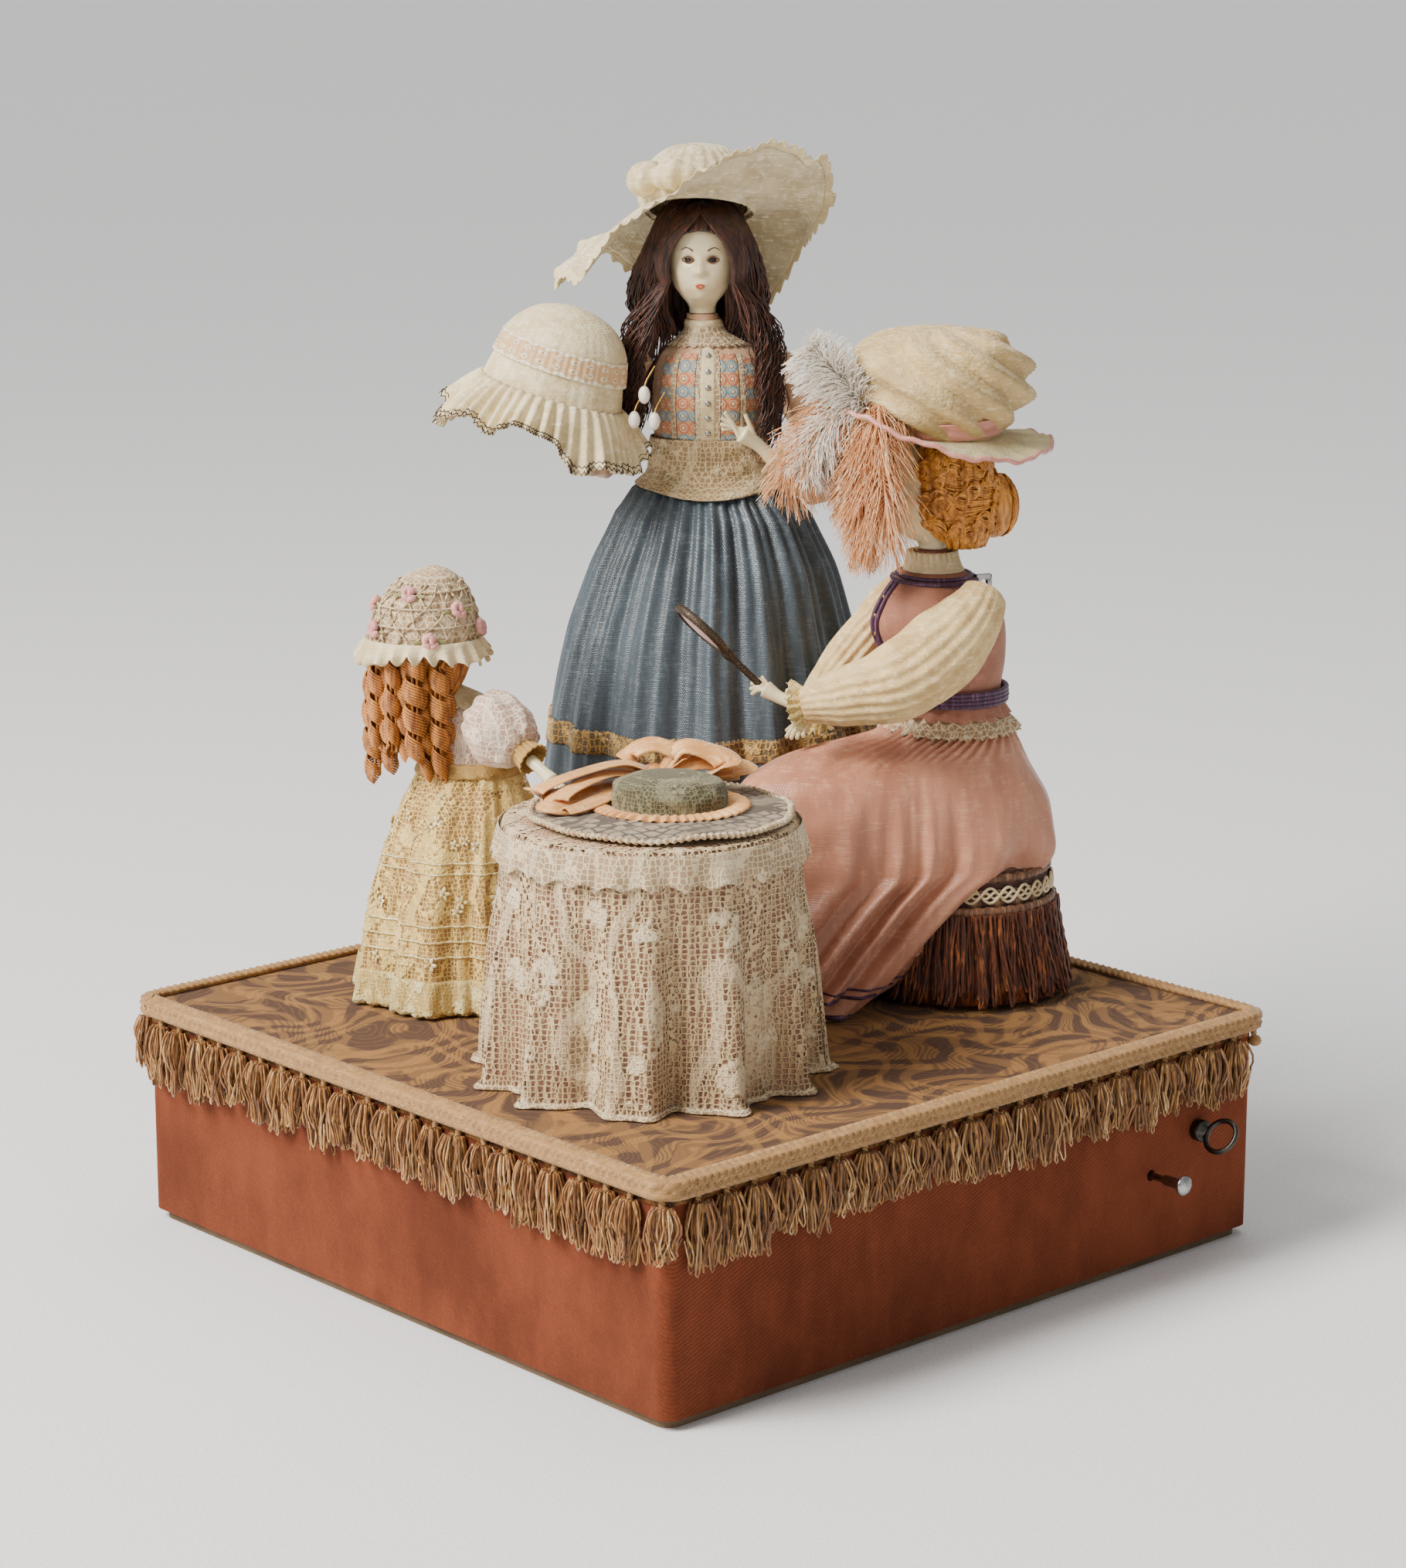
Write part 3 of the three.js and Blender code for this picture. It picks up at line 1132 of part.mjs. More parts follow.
function addTable() {
  const drum = lathe([[0, seatGap], [tableDrumRadius, seatGap], [tableDrumRadius, tableHeight - tableTopThickness],
    [tableTopRadius, tableHeight - tableTopThickness], [tableTopRadius, tableHeight], [0, tableHeight]], 24);
  addPiece(table, 'table_stand', drum, 'pasteboard');
  const sides = 3 * laceFolds;
  const top = tableHeight + seatGap;
  const inner = tableTopRadius + seatGap;
  const outer = inner + laceThickness;
  const at = (z, radius, share) => ring(sides, { x: 0, y: 0, z }, radius, radius, folds(laceFolds, share));
  const hem = (share) => THREE.MathUtils.lerp(outer, laceHemRadius, share);
  const cloth = loft([
    at(seatGap, hem(1), laceFoldShare),
    at(top * 0.35, hem(0.7), laceFoldShare),
    at(top * 0.75, hem(0.35), laceFoldShare * 0.6),
    at(top - laceThickness, outer + laceThickness / 2, laceFoldShare * 0.1),
    at(top + laceThickness, outer - laceThickness, 0),
  ]);
  const room = lathe([[0, -overrun], [inner, -overrun], [inner, top], [0, top]], 24);
  addPiece(table, 'table_lace', cut(cloth, room), 'ivory_lace');
}

const tableHat = {
  height: tableHeight + seatGap + laceThickness + seatGap,
  brimRadius: 48,
  thickness: 1.8,
  crown: { x: 7, y: 2, radiusX: 21, radiusY: 18, height: 19 },
};

function tableHatForm(extra = 0) {
  const { height, brimRadius, thickness, crown } = tableHat;
  const wave = folds(7, 0.015);
  const level = (x, y, z, a, b, reach) => ring(21, { x, y, z }, a + extra, b + extra, reach);
  return loft([
    level(4, 0, height - extra, brimRadius, brimRadius, wave),
    level(4, 0, height + thickness + extra, brimRadius, brimRadius, wave),
    level(crown.x, crown.y, height + 2 * thickness + extra, crown.radiusX + 3, crown.radiusY + 3),
    level(crown.x, crown.y, height + crown.height / 2, crown.radiusX, crown.radiusY),
    level(crown.x, crown.y, height + crown.height * 0.85 + extra, crown.radiusX - 3, crown.radiusY - 3),
    level(crown.x, crown.y, height + crown.height + extra, crown.radiusX / 2, crown.radiusY / 2),
  ]);
}

const bowLevel = tableHeight + 12.5;
const bow = {
  left: [[-6, 21, bowLevel], [-20, 12, bowLevel + 2], [-32, 4, bowLevel - 3.8], [-42, -4, bowLevel - 6.2]],
  leftRadii: [3, 4.5, 5, 3],
  middle: [[-8, 20, bowLevel], [-4, 24, bowLevel + 9], [6, 25, bowLevel + 14], [14, 24, bowLevel + 9]],
  middleRadii: [3, 4.5, 5, 3],
  right: [[0, 24, bowLevel + 2], [14, 25, bowLevel + 6], [24, 22, bowLevel + 8], [28, 18, bowLevel + 4]],
  rightRadii: [3, 4.5, 4.5, 3],
};

function addTableHat() {
  addPiece(table, 'display_hat', tableHatForm(), 'hat_gauze');
  const loops = join(limb(bow.left, bow.leftRadii), limb(bow.middle, bow.middleRadii),
    limb(bow.right, bow.rightRadii));
  addPiece(table, 'hat_bow', cut(loops, tableHatForm(seatGap)), 'peach_satin');
}

// Rods and wires between the clockwork and the figures
function addRods() {
  const [childLever, standingLever, seatedLever] = headLevers;
  const top = (neck, height) => baseHeight + neck + height / 2 - seatGap;
  addHeadRod('child_head_rod', childHeadRod, childLever, top(childNeck, childHeadHeight));
  addHeadRod('standing_head_rod', standingHeadRod, standingLever, top(standingNeck, ladyHeadHeight));
  addHeadRod('seated_head_rod', seatedHeadRod, seatedLever, top(seatedNeck, ladyHeadHeight));
  const low = wireLevel - baseHeight;
  const standingArmWire = armWire(standingShoulder.z - low).rotateZ(figureTurn - quarterTurn);
  addPiece(rootGroup, 'standing_arm_wire', moved(standingArmWire, standingWire.x, standingWire.y, wireLevel), 'steel');
  const seatedArmWire = armWire(seatedShoulder.z - low).rotateZ(figureTurn + seatedTurn - quarterTurn);
  addPiece(rootGroup, 'seated_arm_wire', moved(seatedArmWire, seatedWire.x, seatedWire.y, wireLevel), 'steel');
}

addCase();
addBoards();
addTrim();
addBedplate();
addBarrel();
addKey();
addStop();
addMusic();
addGovernor();
addCams();
addHeadLevers();
addWireLevers();
addRods();
addStandingBody();
addStandingRightArm();
addBonnet();
addStandingLeftArm();
addStandingHead();
addStool();
addSeatedSkirt();
addSeatedTorso();
addSeatedLeftArm();
addSeatedRightArm();
addSeatedHead();
addPlume();
addChildBody();
addChildHead();
addChildArms();
addTable();
addTableHat();

export default rootGroup;
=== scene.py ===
import logging
import math
import random
from dataclasses import dataclass
from enum import Enum
from typing import Callable, ClassVar, Iterable, Mapping, Sequence, Union

import bmesh
import bpy
from mathutils import Matrix, Vector, noise


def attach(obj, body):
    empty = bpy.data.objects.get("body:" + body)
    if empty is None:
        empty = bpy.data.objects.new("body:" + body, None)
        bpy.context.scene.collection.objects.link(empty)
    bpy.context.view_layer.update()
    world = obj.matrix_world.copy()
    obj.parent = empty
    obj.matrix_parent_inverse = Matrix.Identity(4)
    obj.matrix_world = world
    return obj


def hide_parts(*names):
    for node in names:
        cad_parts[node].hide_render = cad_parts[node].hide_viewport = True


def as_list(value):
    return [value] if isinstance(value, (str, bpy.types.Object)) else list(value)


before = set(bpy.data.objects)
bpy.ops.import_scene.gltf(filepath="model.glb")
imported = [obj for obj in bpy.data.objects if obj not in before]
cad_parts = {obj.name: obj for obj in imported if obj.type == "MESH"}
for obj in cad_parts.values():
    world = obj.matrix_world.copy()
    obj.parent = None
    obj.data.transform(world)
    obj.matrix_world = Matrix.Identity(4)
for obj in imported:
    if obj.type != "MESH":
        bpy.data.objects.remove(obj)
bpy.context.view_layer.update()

# The figures and the case are measured in millimetres in frames of their own, and made in metres.
MILLIMETRE = 0.001
TAU = math.tau
PLATFORM = 90.0
FIGURE_TURN = math.pi / 4
# Millimetres within which two points of a mesh are one, and below which an edge is dropped.
WELD = 0.004
SLIVER = 0.001
# The narrowest cut of cloth, in metres.
NARROWEST = 0.011
# The scale of a wave pattern whose bands lie a millimetre apart.
FINE_BANDS = 0.314
# The turn from one thread of a tassel to the next, which spreads them evenly.
GOLDEN_TURN = 2.399

log = logging.getLogger("doll")

Number = Union[float, "Link"]
Point = tuple[float, float, float]
Colour = tuple[float, float, float]
Place = Callable[[float, float], Vector]


def lerp(low: float, high: float, share: float) -> float:
    """Blend two numbers by a share from 0 to 1."""
    return low + (high - low) * share


def clamp(value: float, low: float = 0.0, high: float = 1.0) -> float:
    """Keep a number between two limits."""
    return max(low, min(high, value))


def smooth(value: float) -> float:
    """Ease a share from 0 to 1 at both of its ends."""
    share = clamp(value)
    return share * share * (3 - 2 * share)


def wobble(x: float, y: float, z: float = 0.0) -> float:
    """Return smooth noise from about -1 to 1 at a place."""
    return noise.noise(Vector((x, y, z)))


def spline(values: Sequence[Sequence[float]], share: float) -> list[float]:
    """Blend rows of numbers along a smooth curve through them.

    Args:
        values: The rows, all of one length.
        share: The place along them, from 0 to 1.

    Returns:
        One row of blended numbers.
    """
    last = len(values) - 1
    along = clamp(share) * last
    index = min(int(along), last - 1)
    t = along - index
    rows = [values[max(0, min(last, index + step))] for step in (-1, 0, 1, 2)]
    return [
        0.5 * (2 * b + (c - a) * t + (2 * a - 5 * b + 4 * c - d) * t * t + (3 * b - a - 3 * c + d) * t ** 3)
        for a, b, c, d in zip(*rows)
    ]


@dataclass(frozen=True)
class Stand:
    """A figure's own frame: its origin in millimetres and its turn about the vertical."""

    x: float
    y: float
    z: float = PLATFORM
    turn: float = FIGURE_TURN

    def matrix(self) -> Matrix:
        """Return the matrix from the frame's millimetres to the scene's metres."""
        scale = Matrix.Scale(MILLIMETRE, 4)
        return scale @ Matrix.Translation((self.x, self.y, self.z)) @ Matrix.Rotation(self.turn, 4, "Z")

    def world(self, point: Sequence[float]) -> Vector:
        """Return a point of the frame in the scene's metres."""
        return self.matrix() @ Vector(point)


BASE = Stand(0, 0, 0, 0)
STANDING = Stand(-75, 75)
SEATED = Stand(46.899, 101.929, PLATFORM, math.radians(-23))
CHILD = Stand(-77, -54)
TABLE = Stand(49, -68)


class Link:
    """A shader socket that takes part in Python arithmetic through Math nodes."""

    def __init__(self, recipe: "Recipe", socket: bpy.types.NodeSocket) -> None:
        """Keep the recipe that adds nodes and the socket that holds the value."""
        self.recipe = recipe
        self.socket = socket

    def maths(self, operation: str, other: Number, swapped: bool = False) -> "Link":
        """Join this value and another through one Math node.

        Args:
            operation: The Math node's operation.
            other: The second value.
            swapped: Whether the other value comes first.

        Returns:
            The node's result.
        """
        first, second = (other, self) if swapped else (self, other)
        return self.recipe.node("ShaderNodeMath", {"operation": operation}, {0: first, 1: second})

    def __add__(self, other: Number) -> "Link":
        """Add a value."""
        return self.maths("ADD", other)

    def __radd__(self, other: Number) -> "Link":
        """Add this value to another."""
        return self.maths("ADD", other, True)

    def __sub__(self, other: Number) -> "Link":
        """Take a value away."""
        return self.maths("SUBTRACT", other)

    def __rsub__(self, other: Number) -> "Link":
        """Take this value away from another."""
        return self.maths("SUBTRACT", other, True)

    def __mul__(self, other: Number) -> "Link":
        """Multiply by a value."""
        return self.maths("MULTIPLY", other)

    def __rmul__(self, other: Number) -> "Link":
        """Multiply another value by this one."""
        return self.maths("MULTIPLY", other, True)


class Recipe:
    """The node tree of one material, with one method that adds any node."""

    def __init__(self, material: bpy.types.Material) -> None:
        """Empty the material's tree and add its output and main shader.

        Args:
            material: The material whose tree is filled.
        """
        material.use_nodes = True
        self.tree = material.node_tree
        self.tree.nodes.clear()
        self.output = self.tree.nodes.new("ShaderNodeOutputMaterial")
        self.shader = self.tree.nodes.new("ShaderNodeBsdfPrincipled")
        self.tree.links.new(self.shader.outputs[0], self.output.inputs[0])

    def node(self, kind: str, settings: Mapping[str, object], sockets: Mapping[object, object],
             output: object = 0) -> Link:
        """Add a node, set it up and join its sockets.

        Args:
            kind: The node's type.
            settings: Its properties; "stops" gives a ramp's places and colours.
            sockets: Values or links of its inputs, by name or number.
            output: Which of its outputs is returned.

        Returns:
            The output as a link.
        """
        added = self.tree.nodes.new(kind)
        for key, value in settings.items():
            if key == "stops":
                self.ramp(added, value)
            else:
                setattr(added, key, value)
        self.plug(added, sockets)
        return Link(self, added.outputs[output])

    def ramp(self, added: bpy.types.Node, stops: Sequence[tuple[float, Sequence[float]]]) -> None:
        """Give a colour ramp its stops.

        Args:
            added: The ramp's node.
            stops: The places and colours of its stops.
        """
        elements = added.color_ramp.elements
        while len(elements) < len(stops):
            elements.new(1.0)
        for element, (place, colour) in zip(elements, stops):
            element.position = place
            element.color = (*colour, 1.0)

    def plug(self, target: bpy.types.Node, sockets: Mapping[object, object]) -> None:
        """Set or join a node's inputs.

        Args:
            target: The node.
            sockets: Values or links of its inputs, by name or number.
        """
        for key, value in sockets.items():
            if isinstance(value, Link):
                self.tree.links.new(value.socket, target.inputs[key])
            elif isinstance(value, tuple) and len(value) == 3 and len(
                    target.inputs[key].default_value) == 4:
                target.inputs[key].default_value = (*value, 1.0)
            else:
                target.inputs[key].default_value = value

    def main(self, **sockets: object) -> None:
        """Set the main shader's inputs, with underscores for the spaces in their names."""
        self.plug(self.shader, {key.replace("_", " "): value for key, value in sockets.items()})

    def place(self, scale: Sequence[float] = (1, 1, 1), turn: Sequence[float] = (0, 0, 0)) -> Link:
        """Return the piece's own coordinates in millimetres, scaled and turned.

        Args:
            scale: The scale on each axis.
            turn: The turn about each axis, in radians.

        Returns:
            The result.
        """
        source = self.node("ShaderNodeTexCoord", {}, {}, "Object")
        stretched = tuple(part / MILLIMETRE for part in scale)
        return self.node("ShaderNodeMapping", {},
                         {"Vector": source, "Scale": stretched, "Rotation": tuple(turn)})

    def along(self, scale: Sequence[float] = (1, 1, 1)) -> Link:
        """Return the piece's UV map, scaled."""
        source = self.node("ShaderNodeTexCoord", {}, {}, "UV")
        return self.node("ShaderNodeMapping", {}, {"Vector": source, "Scale": tuple(scale)})

    def grain(self, vector: Link, scale: float, detail: float = 2.0, rough: float = 0.5) -> Link:
        """Return smooth noise from 0 to 1."""
        sockets = {"Vector": vector, "Scale": scale, "Detail": detail, "Roughness": rough}
        return self.node("ShaderNodeTexNoise", {}, sockets)

    def cells(self, vector: Link, scale: float, feature: str = "F1", random_share: float = 1.0) -> Link:
        """Return the distance field of scattered cells."""
        sockets = {"Vector": vector, "Scale": scale, "Randomness": random_share}
        return self.node("ShaderNodeTexVoronoi", {"feature": feature}, sockets, "Distance")

    def waves(self, vector: Link, scale: float, distortion: float = 0.0, axis: str = "X",
              rings: bool = False) -> Link:
        """Return bands or rings from 0 to 1.

        Args:
            vector: The places.
            scale: How fine the pattern is.
            distortion: How far the bands bend.
            axis: The direction that they follow.
            rings: Whether they are rings.

        Returns:
            The result.
        """
        settings = {"wave_type": "RINGS" if rings else "BANDS", "wave_profile": "SIN"}
        settings["rings_direction" if rings else "bands_direction"] = axis
        return self.node("ShaderNodeTexWave", settings,
                         {"Vector": vector, "Scale": scale, "Distortion": distortion})

    def step(self, value: Link, low: float, high: float) -> Link:
        """Ease a value from 0 at one limit to 1 at the other."""
        return self.node("ShaderNodeMapRange", {"interpolation_type": "SMOOTHSTEP"},
                         {"Value": value, "From Min": low, "From Max": high})

    def mix(self, share: Number, first: object, second: object) -> Link:
        """Blend two colours."""
        return self.node("ShaderNodeMix", {"data_type": "RGBA"}, {0: share, 6: first, 7: second}, 2)

    def bump(self, height: Link, depth: float, strength: float = 1.0, normal: object = None) -> Link:
        """Turn a height into a normal; the depth is in millimetres.

        Args:
            height: The height.
            depth: The depth in millimetres.
            strength: How strongly it shows.
            normal: The normal that it adds to, or none.

        Returns:
            The result.
        """
        sockets = {"Height": height, "Distance": depth * MILLIMETRE, "Strength": strength}
        if normal is not None:
            sockets["Normal"] = normal
        return self.node("ShaderNodeBump", {}, sockets)


def tint(code: int) -> Colour:
    """Turn a hexadecimal screen colour into linear light.

    Args:
        code: The colour's number.

    Returns:
        The colour in linear light.
    """
    parts = [(code >> shift & 255) / 255 for shift in (16, 8, 0)]
    red, green, blue = [part / 12.92 if part <= 0.04045 else ((part + 0.055) / 1.055) ** 2.4
                        for part in parts]
    return red, green, blue


FINISHED: dict[str, bpy.types.Material] = {}


@dataclass(frozen=True)
class Finish:
    """A finish with a name; each kind of finish paints its own nodes."""

    name: str

    def paint(self, recipe: Recipe) -> None:
        """Add the finish's nodes."""
        raise NotImplementedError

    def material(self) -> bpy.types.Material:
        """Return the finish's material, made once.

        Returns:
            The material.
        """
        if self.name not in FINISHED:
            FINISHED[self.name] = bpy.data.materials.new(self.name)
            self.paint(Recipe(FINISHED[self.name]))
        return FINISHED[self.name]


@dataclass(frozen=True)
class Velvet(Finish):
    """Short pile velvet with a slanting nap and pressed, darker clouds."""

    base: Colour
    dark: Colour
    nap: float = 1.15

    def paint(self, recipe: Recipe) -> None:
        """Add the pile's clouds, streaks and nap.

        Args:
            recipe: The node tree to fill.
        """
        place = recipe.place()
        clouds = recipe.grain(place, 0.018, 4, 0.55)
        streaks = recipe.grain(recipe.place((1, 1, 0.4), (0, 0.5, 0)), 0.07, 4, 0.65)
        fuzz = recipe.grain(place, 0.8, 4, 0.75)
        twill = recipe.waves(recipe.place((1, 1, 1), (0.6, 0.6, 0.7)), FINE_BANDS / self.nap, 1.2)
        share = recipe.step(clouds * 0.55 + streaks * 0.35 + fuzz * 0.4 - twill * 0.05, 0.45, 0.82)
        worn = recipe.mix(recipe.step(fuzz + streaks * 0.4, 0.72, 1.05) * 0.3, recipe.mix(
            share, self.base, self.dark), tuple(min(1.0, part * 1.4) for part in self.base))
        recipe.main(Base_Color=worn, Roughness=0.92 - fuzz * 0.1, Sheen_Weight=0.25, Sheen_Roughness=0.4,
                    Sheen_Tint=tuple(min(1.0, part * 2 + 0.08) for part in self.base),
                    Specular_IOR_Level=0.08, Normal=recipe.bump(twill * 0.6 + fuzz, 0.35, 0.9))


@dataclass(frozen=True)
class Brocade(Finish):
    """Woven brocade: tan scrolls on a darker ground, with a fine cross grain."""

    ground: Colour
    figure: Colour
    fleck: Colour

    def paint(self, recipe: Recipe) -> None:
        """Add the scrolled leaves, their veins and the woven grain.

        Args:
            recipe: The node tree to fill.
        """
        place = recipe.place()
        sway = recipe.node("ShaderNodeTexNoise", {}, {"Vector": place, "Scale": 0.02, "Detail": 1.0},
                           "Color")
        bent = recipe.node("ShaderNodeVectorMath", {"operation": "SCALE"}, {0: sway, "Scale": 110.0})
        scrolls = recipe.node("ShaderNodeVectorMath", {"operation": "ADD"}, {0: place, 1: bent})
        veins = recipe.waves(scrolls, 0.11, 3.0, "DIAGONAL")
        stitch = recipe.grain(recipe.place((1, 2.4, 1)), 1.1, 2, 0.6)
        leaf = recipe.step(recipe.waves(scrolls, 0.0185, 8.0, "X") + stitch * 0.7, 0.72, 0.96)
        bloom = recipe.step(recipe.waves(scrolls, 0.016, 9.0, "Y") + stitch * 0.5, 0.92, 1.1)
        figure = recipe.node("ShaderNodeClamp", {}, {"Value": leaf * (0.3 + veins * 0.6) + bloom * 0.5})
        edge = recipe.step(veins + stitch * 0.5, 0.9, 1.2) * (1 - leaf)
        warp = recipe.waves(place, FINE_BANDS / 0.9, 0.6, "X")
        weft = recipe.waves(place, FINE_BANDS / 0.7, 0.6, "Y")
        grain = recipe.grain(place, 1.2, 3, 0.7)
        toned = recipe.mix(figure, recipe.mix(edge * 0.5, self.ground, self.fleck), self.figure)
        woven = recipe.mix(recipe.step(grain + warp * 0.25, 0.5, 0.95) * 0.5, toned,
                           tuple(part * 0.45 for part in self.ground))
        height = warp * 0.4 + weft * 0.5 + grain + figure * 0.8
        recipe.main(Base_Color=woven, Roughness=0.9 - figure * 0.15, Sheen_Weight=0.04,
                    Normal=recipe.bump(height, 0.3, 0.8))


@dataclass(frozen=True)
class Thread(Finish):
    """Silky rayon thread: strands a little darker at random, some lighter with painted highlights."""

    base: Colour
    dark: Colour
    # The light colour is a painted highlight.
    light: Colour
    strand: float = 0.7

    def paint(self, recipe: Recipe) -> None:
        """Add the strands' tones, their painted highlights and a soft gloss along them.

        Args:
            recipe: The node tree to fill.
        """
        runs = recipe.grain(recipe.place((1, 1, 0.06)), self.strand, 2, 0.6)
        patches = recipe.grain(recipe.place(), 0.11, 2)
        tone = recipe.mix(recipe.step(runs, 0.3, 0.7), self.dark, self.base)
        # Painted highlight: the light colour laid along some strands and patches.
        with_painted_highlights = recipe.mix(recipe.step(runs * 0.6 + patches * 0.5, 0.56, 0.74), tone, self.light)
        recipe.main(Base_Color=with_painted_highlights, Roughness=0.42 + runs * 0.2, Sheen_Weight=0.3, Sheen_Roughness=0.3,
                    Normal=recipe.bump(runs, 0.2, 0.6))


@dataclass(frozen=True)
class Cloth(Finish):
    """Plain woven cloth: base, painted fold shade in patches and painted highlights, with weave and
    crumple.
    """

    base: Colour
    # The shade colour is painted shade and the light colour a painted highlight.
    shade: Colour
    light: Colour
    weave: float = 0.8
    rough: float = 0.75
    sheen: float = 0.2
    crumple: float = 0.5
    stretch: float = 1.0
    patch: float = 0.05
    # How strongly the painted highlight shows along slubs and creases.
    slub_and_painted_highlight: float = 0.25

    def paint(self, recipe: Recipe) -> None:
        """Add patches of painted shade, painted highlights along slubs and creases, weave and crumple.

        Args:
            recipe: The node tree to fill.
        """
        place = recipe.place((1, 1, self.stretch))
        patches = recipe.grain(place, self.patch, 4, 0.6)
        slubs = recipe.grain(recipe.place((0.25, 0.25, 2.2)), 0.55, 2, 0.6)
        warp = recipe.waves(recipe.place(), FINE_BANDS / self.weave, 0.5, "DIAGONAL")
        weft = recipe.waves(recipe.place(), FINE_BANDS / self.weave, 0.5, "Z")
        creases = recipe.grain(place, self.patch * 4, 3, 0.65)
        # Painted shade: the shade colour mixed in random patches, up to half.
        tone = recipe.mix(recipe.step(patches, 0.34, 0.62) * 0.5 + 0.5, self.shade, self.base)
        # Painted highlight: the light colour laid along slubs and creases.
        with_painted_highlights = recipe.mix(recipe.step(slubs * 0.5 + creases * 0.55, 0.52, 0.7) * self.slub_and_painted_highlight * 2, tone,
                         self.light)
        height = creases * self.crumple * 3 + warp * 0.12 + weft * 0.12 + slubs * 0.3
        recipe.main(Base_Color=with_painted_highlights, Roughness=self.rough - slubs * 0.12, Sheen_Weight=self.sheen,
                    Sheen_Roughness=0.35, Normal=recipe.bump(height, 0.45, 0.85))


@dataclass(frozen=True)
class Net(Finish):
    """Net or lace over a lining, with flower clusters worked on it."""

    lining: Colour
    thread: Colour
    flower: Colour
    cell: float = 1.4
    flower_size: float = 16.0
    cover: float = 0.55
    petals: float = 0.5
    open: float = 0.0

    def paint(self, recipe: Recipe) -> None:
        """Add the mesh of the net, the flowers and their raised edges.

        Args:
            recipe: The node tree to fill.
        """
        place = recipe.place()
        mesh = recipe.cells(place, 1 / self.cell, "DISTANCE_TO_EDGE", 0.4)
        net = 1 - recipe.step(mesh, 0.06, 0.15)
        spread = recipe.cells(place, 1 / self.flower_size, "SMOOTH_F1")
        frill = recipe.cells(place, 4.2 / self.flower_size, "F1")
        flower = 1 - recipe.step(spread + frill * 0.35, self.petals - 0.06, self.petals + 0.05)
        stems = recipe.waves(place, 0.016, 9.0)
        vine = recipe.step(stems, 0.86, 0.94)
        work = (flower + vine * 0.5) * recipe.step(recipe.grain(place, 0.9, 2), 0.2, 0.5)
        patches = recipe.grain(place, 0.06, 3)
        lining = recipe.mix(recipe.step(patches, 0.35, 0.65), tuple(part * 0.62 for part in self.lining),
                            self.lining)
        covered = recipe.mix(net * self.cover + self.cover * 0.25, lining, self.thread)
        toned = recipe.mix(recipe.node("ShaderNodeClamp", {}, {"Value": work * 0.85}), covered, self.flower)
        solid = recipe.node("ShaderNodeClamp", {}, {"Value": net + work * 1.6 + (1.0 - self.open)})
        seen = {"Alpha": solid} if self.open else {}
        recipe.main(Base_Color=toned, Roughness=0.82 - work * 0.12, Sheen_Weight=0.15,
                    Normal=recipe.bump(net * 0.6 + work * 1.4, 0.4, 0.9), **seen)


@dataclass(frozen=True)
class Ribbon(Finish):
    """Woven ribbon lace, patterned along and across its own length."""

    ground: Colour
    figure: Colour
    accent: Colour
    repeats: float = 14.0
    edge: Colour = (0.8, 0.75, 0.6)

    def paint(self, recipe: Recipe) -> None:
        """Add the scallops, the row of dots and the selvedges.

        Args:
            recipe: The node tree to fill.
        """
        flat = recipe.along((self.repeats, 1, 1))
        scallop = recipe.waves(recipe.along((self.repeats * 0.05, 0.02, 1)), 6.0, 0.0)
        across = recipe.node("ShaderNodeSeparateXYZ", {}, {"Vector": flat}, "Y")
        middle = recipe.node("ShaderNodeMath", {"operation": "ABSOLUTE"}, {0: across - 0.5})
        dots = recipe.cells(recipe.along((self.repeats, 3, 1)), 1.0, "F1", 0.0)
        leaf = 1 - recipe.step(dots, 0.2, 0.34)
        border = recipe.step(middle + scallop * 0.1, 0.36, 0.42)
        grain = recipe.grain(recipe.place(), 1.3, 2)
        toned = recipe.mix(leaf, self.ground, self.figure)
        dotted = recipe.mix(1 - recipe.step(dots, 0.08, 0.14), toned, self.accent)
        edged = recipe.mix(border, dotted, self.edge)
        dulled = recipe.mix(recipe.step(grain, 0.45, 0.7) * 0.35, edged,
                            tuple(p * 0.5 for p in self.ground))
        recipe.main(Base_Color=dulled, Roughness=0.7 - leaf * 0.1, Sheen_Weight=0.15,
                    Normal=recipe.bump(leaf + border + grain * 0.5, 0.3, 0.8))


@dataclass(frozen=True)
class Scallops(Finish):
    """A lace band of scallops in two colours by turns, along its own length."""

    ground: Colour
    first: Colour
    second: Colour
    cream: Colour
    repeats: float = 7.0

    def paint(self, recipe: Recipe) -> None:
        """Add the rows of scallops with their cream hearts and rims.

        Args:
            recipe: The node tree to fill.
        """
        reach = recipe.cells(recipe.along((self.repeats, 1.6, 1)), 1.0, "F1", 0.0)
        heart = 1 - recipe.step(reach, 0.12, 0.18)
        rim = recipe.step(reach, 0.24, 0.28) - recipe.step(reach, 0.32, 0.36)
        field = 1 - recipe.step(reach, 0.48, 0.54)
        turns = recipe.step(recipe.waves(recipe.along((self.repeats, 1, 1)), 0.157), 0.46, 0.54)
        colour = recipe.mix(field, self.ground, recipe.mix(turns, self.first, self.second))
        marks = recipe.node("ShaderNodeClamp", {}, {"Value": heart + rim})
        grain = recipe.grain(recipe.place(), 1.3, 2)
        dulled = recipe.mix(recipe.step(grain, 0.45, 0.7) * 0.3, recipe.mix(marks, colour, self.cream),
                            tuple(part * 0.5 for part in self.ground))
        recipe.main(Base_Color=dulled, Roughness=0.75 - marks * 0.1, Sheen_Weight=0.15,
                    Normal=recipe.bump(marks + field + grain * 0.5, 0.3, 0.8))


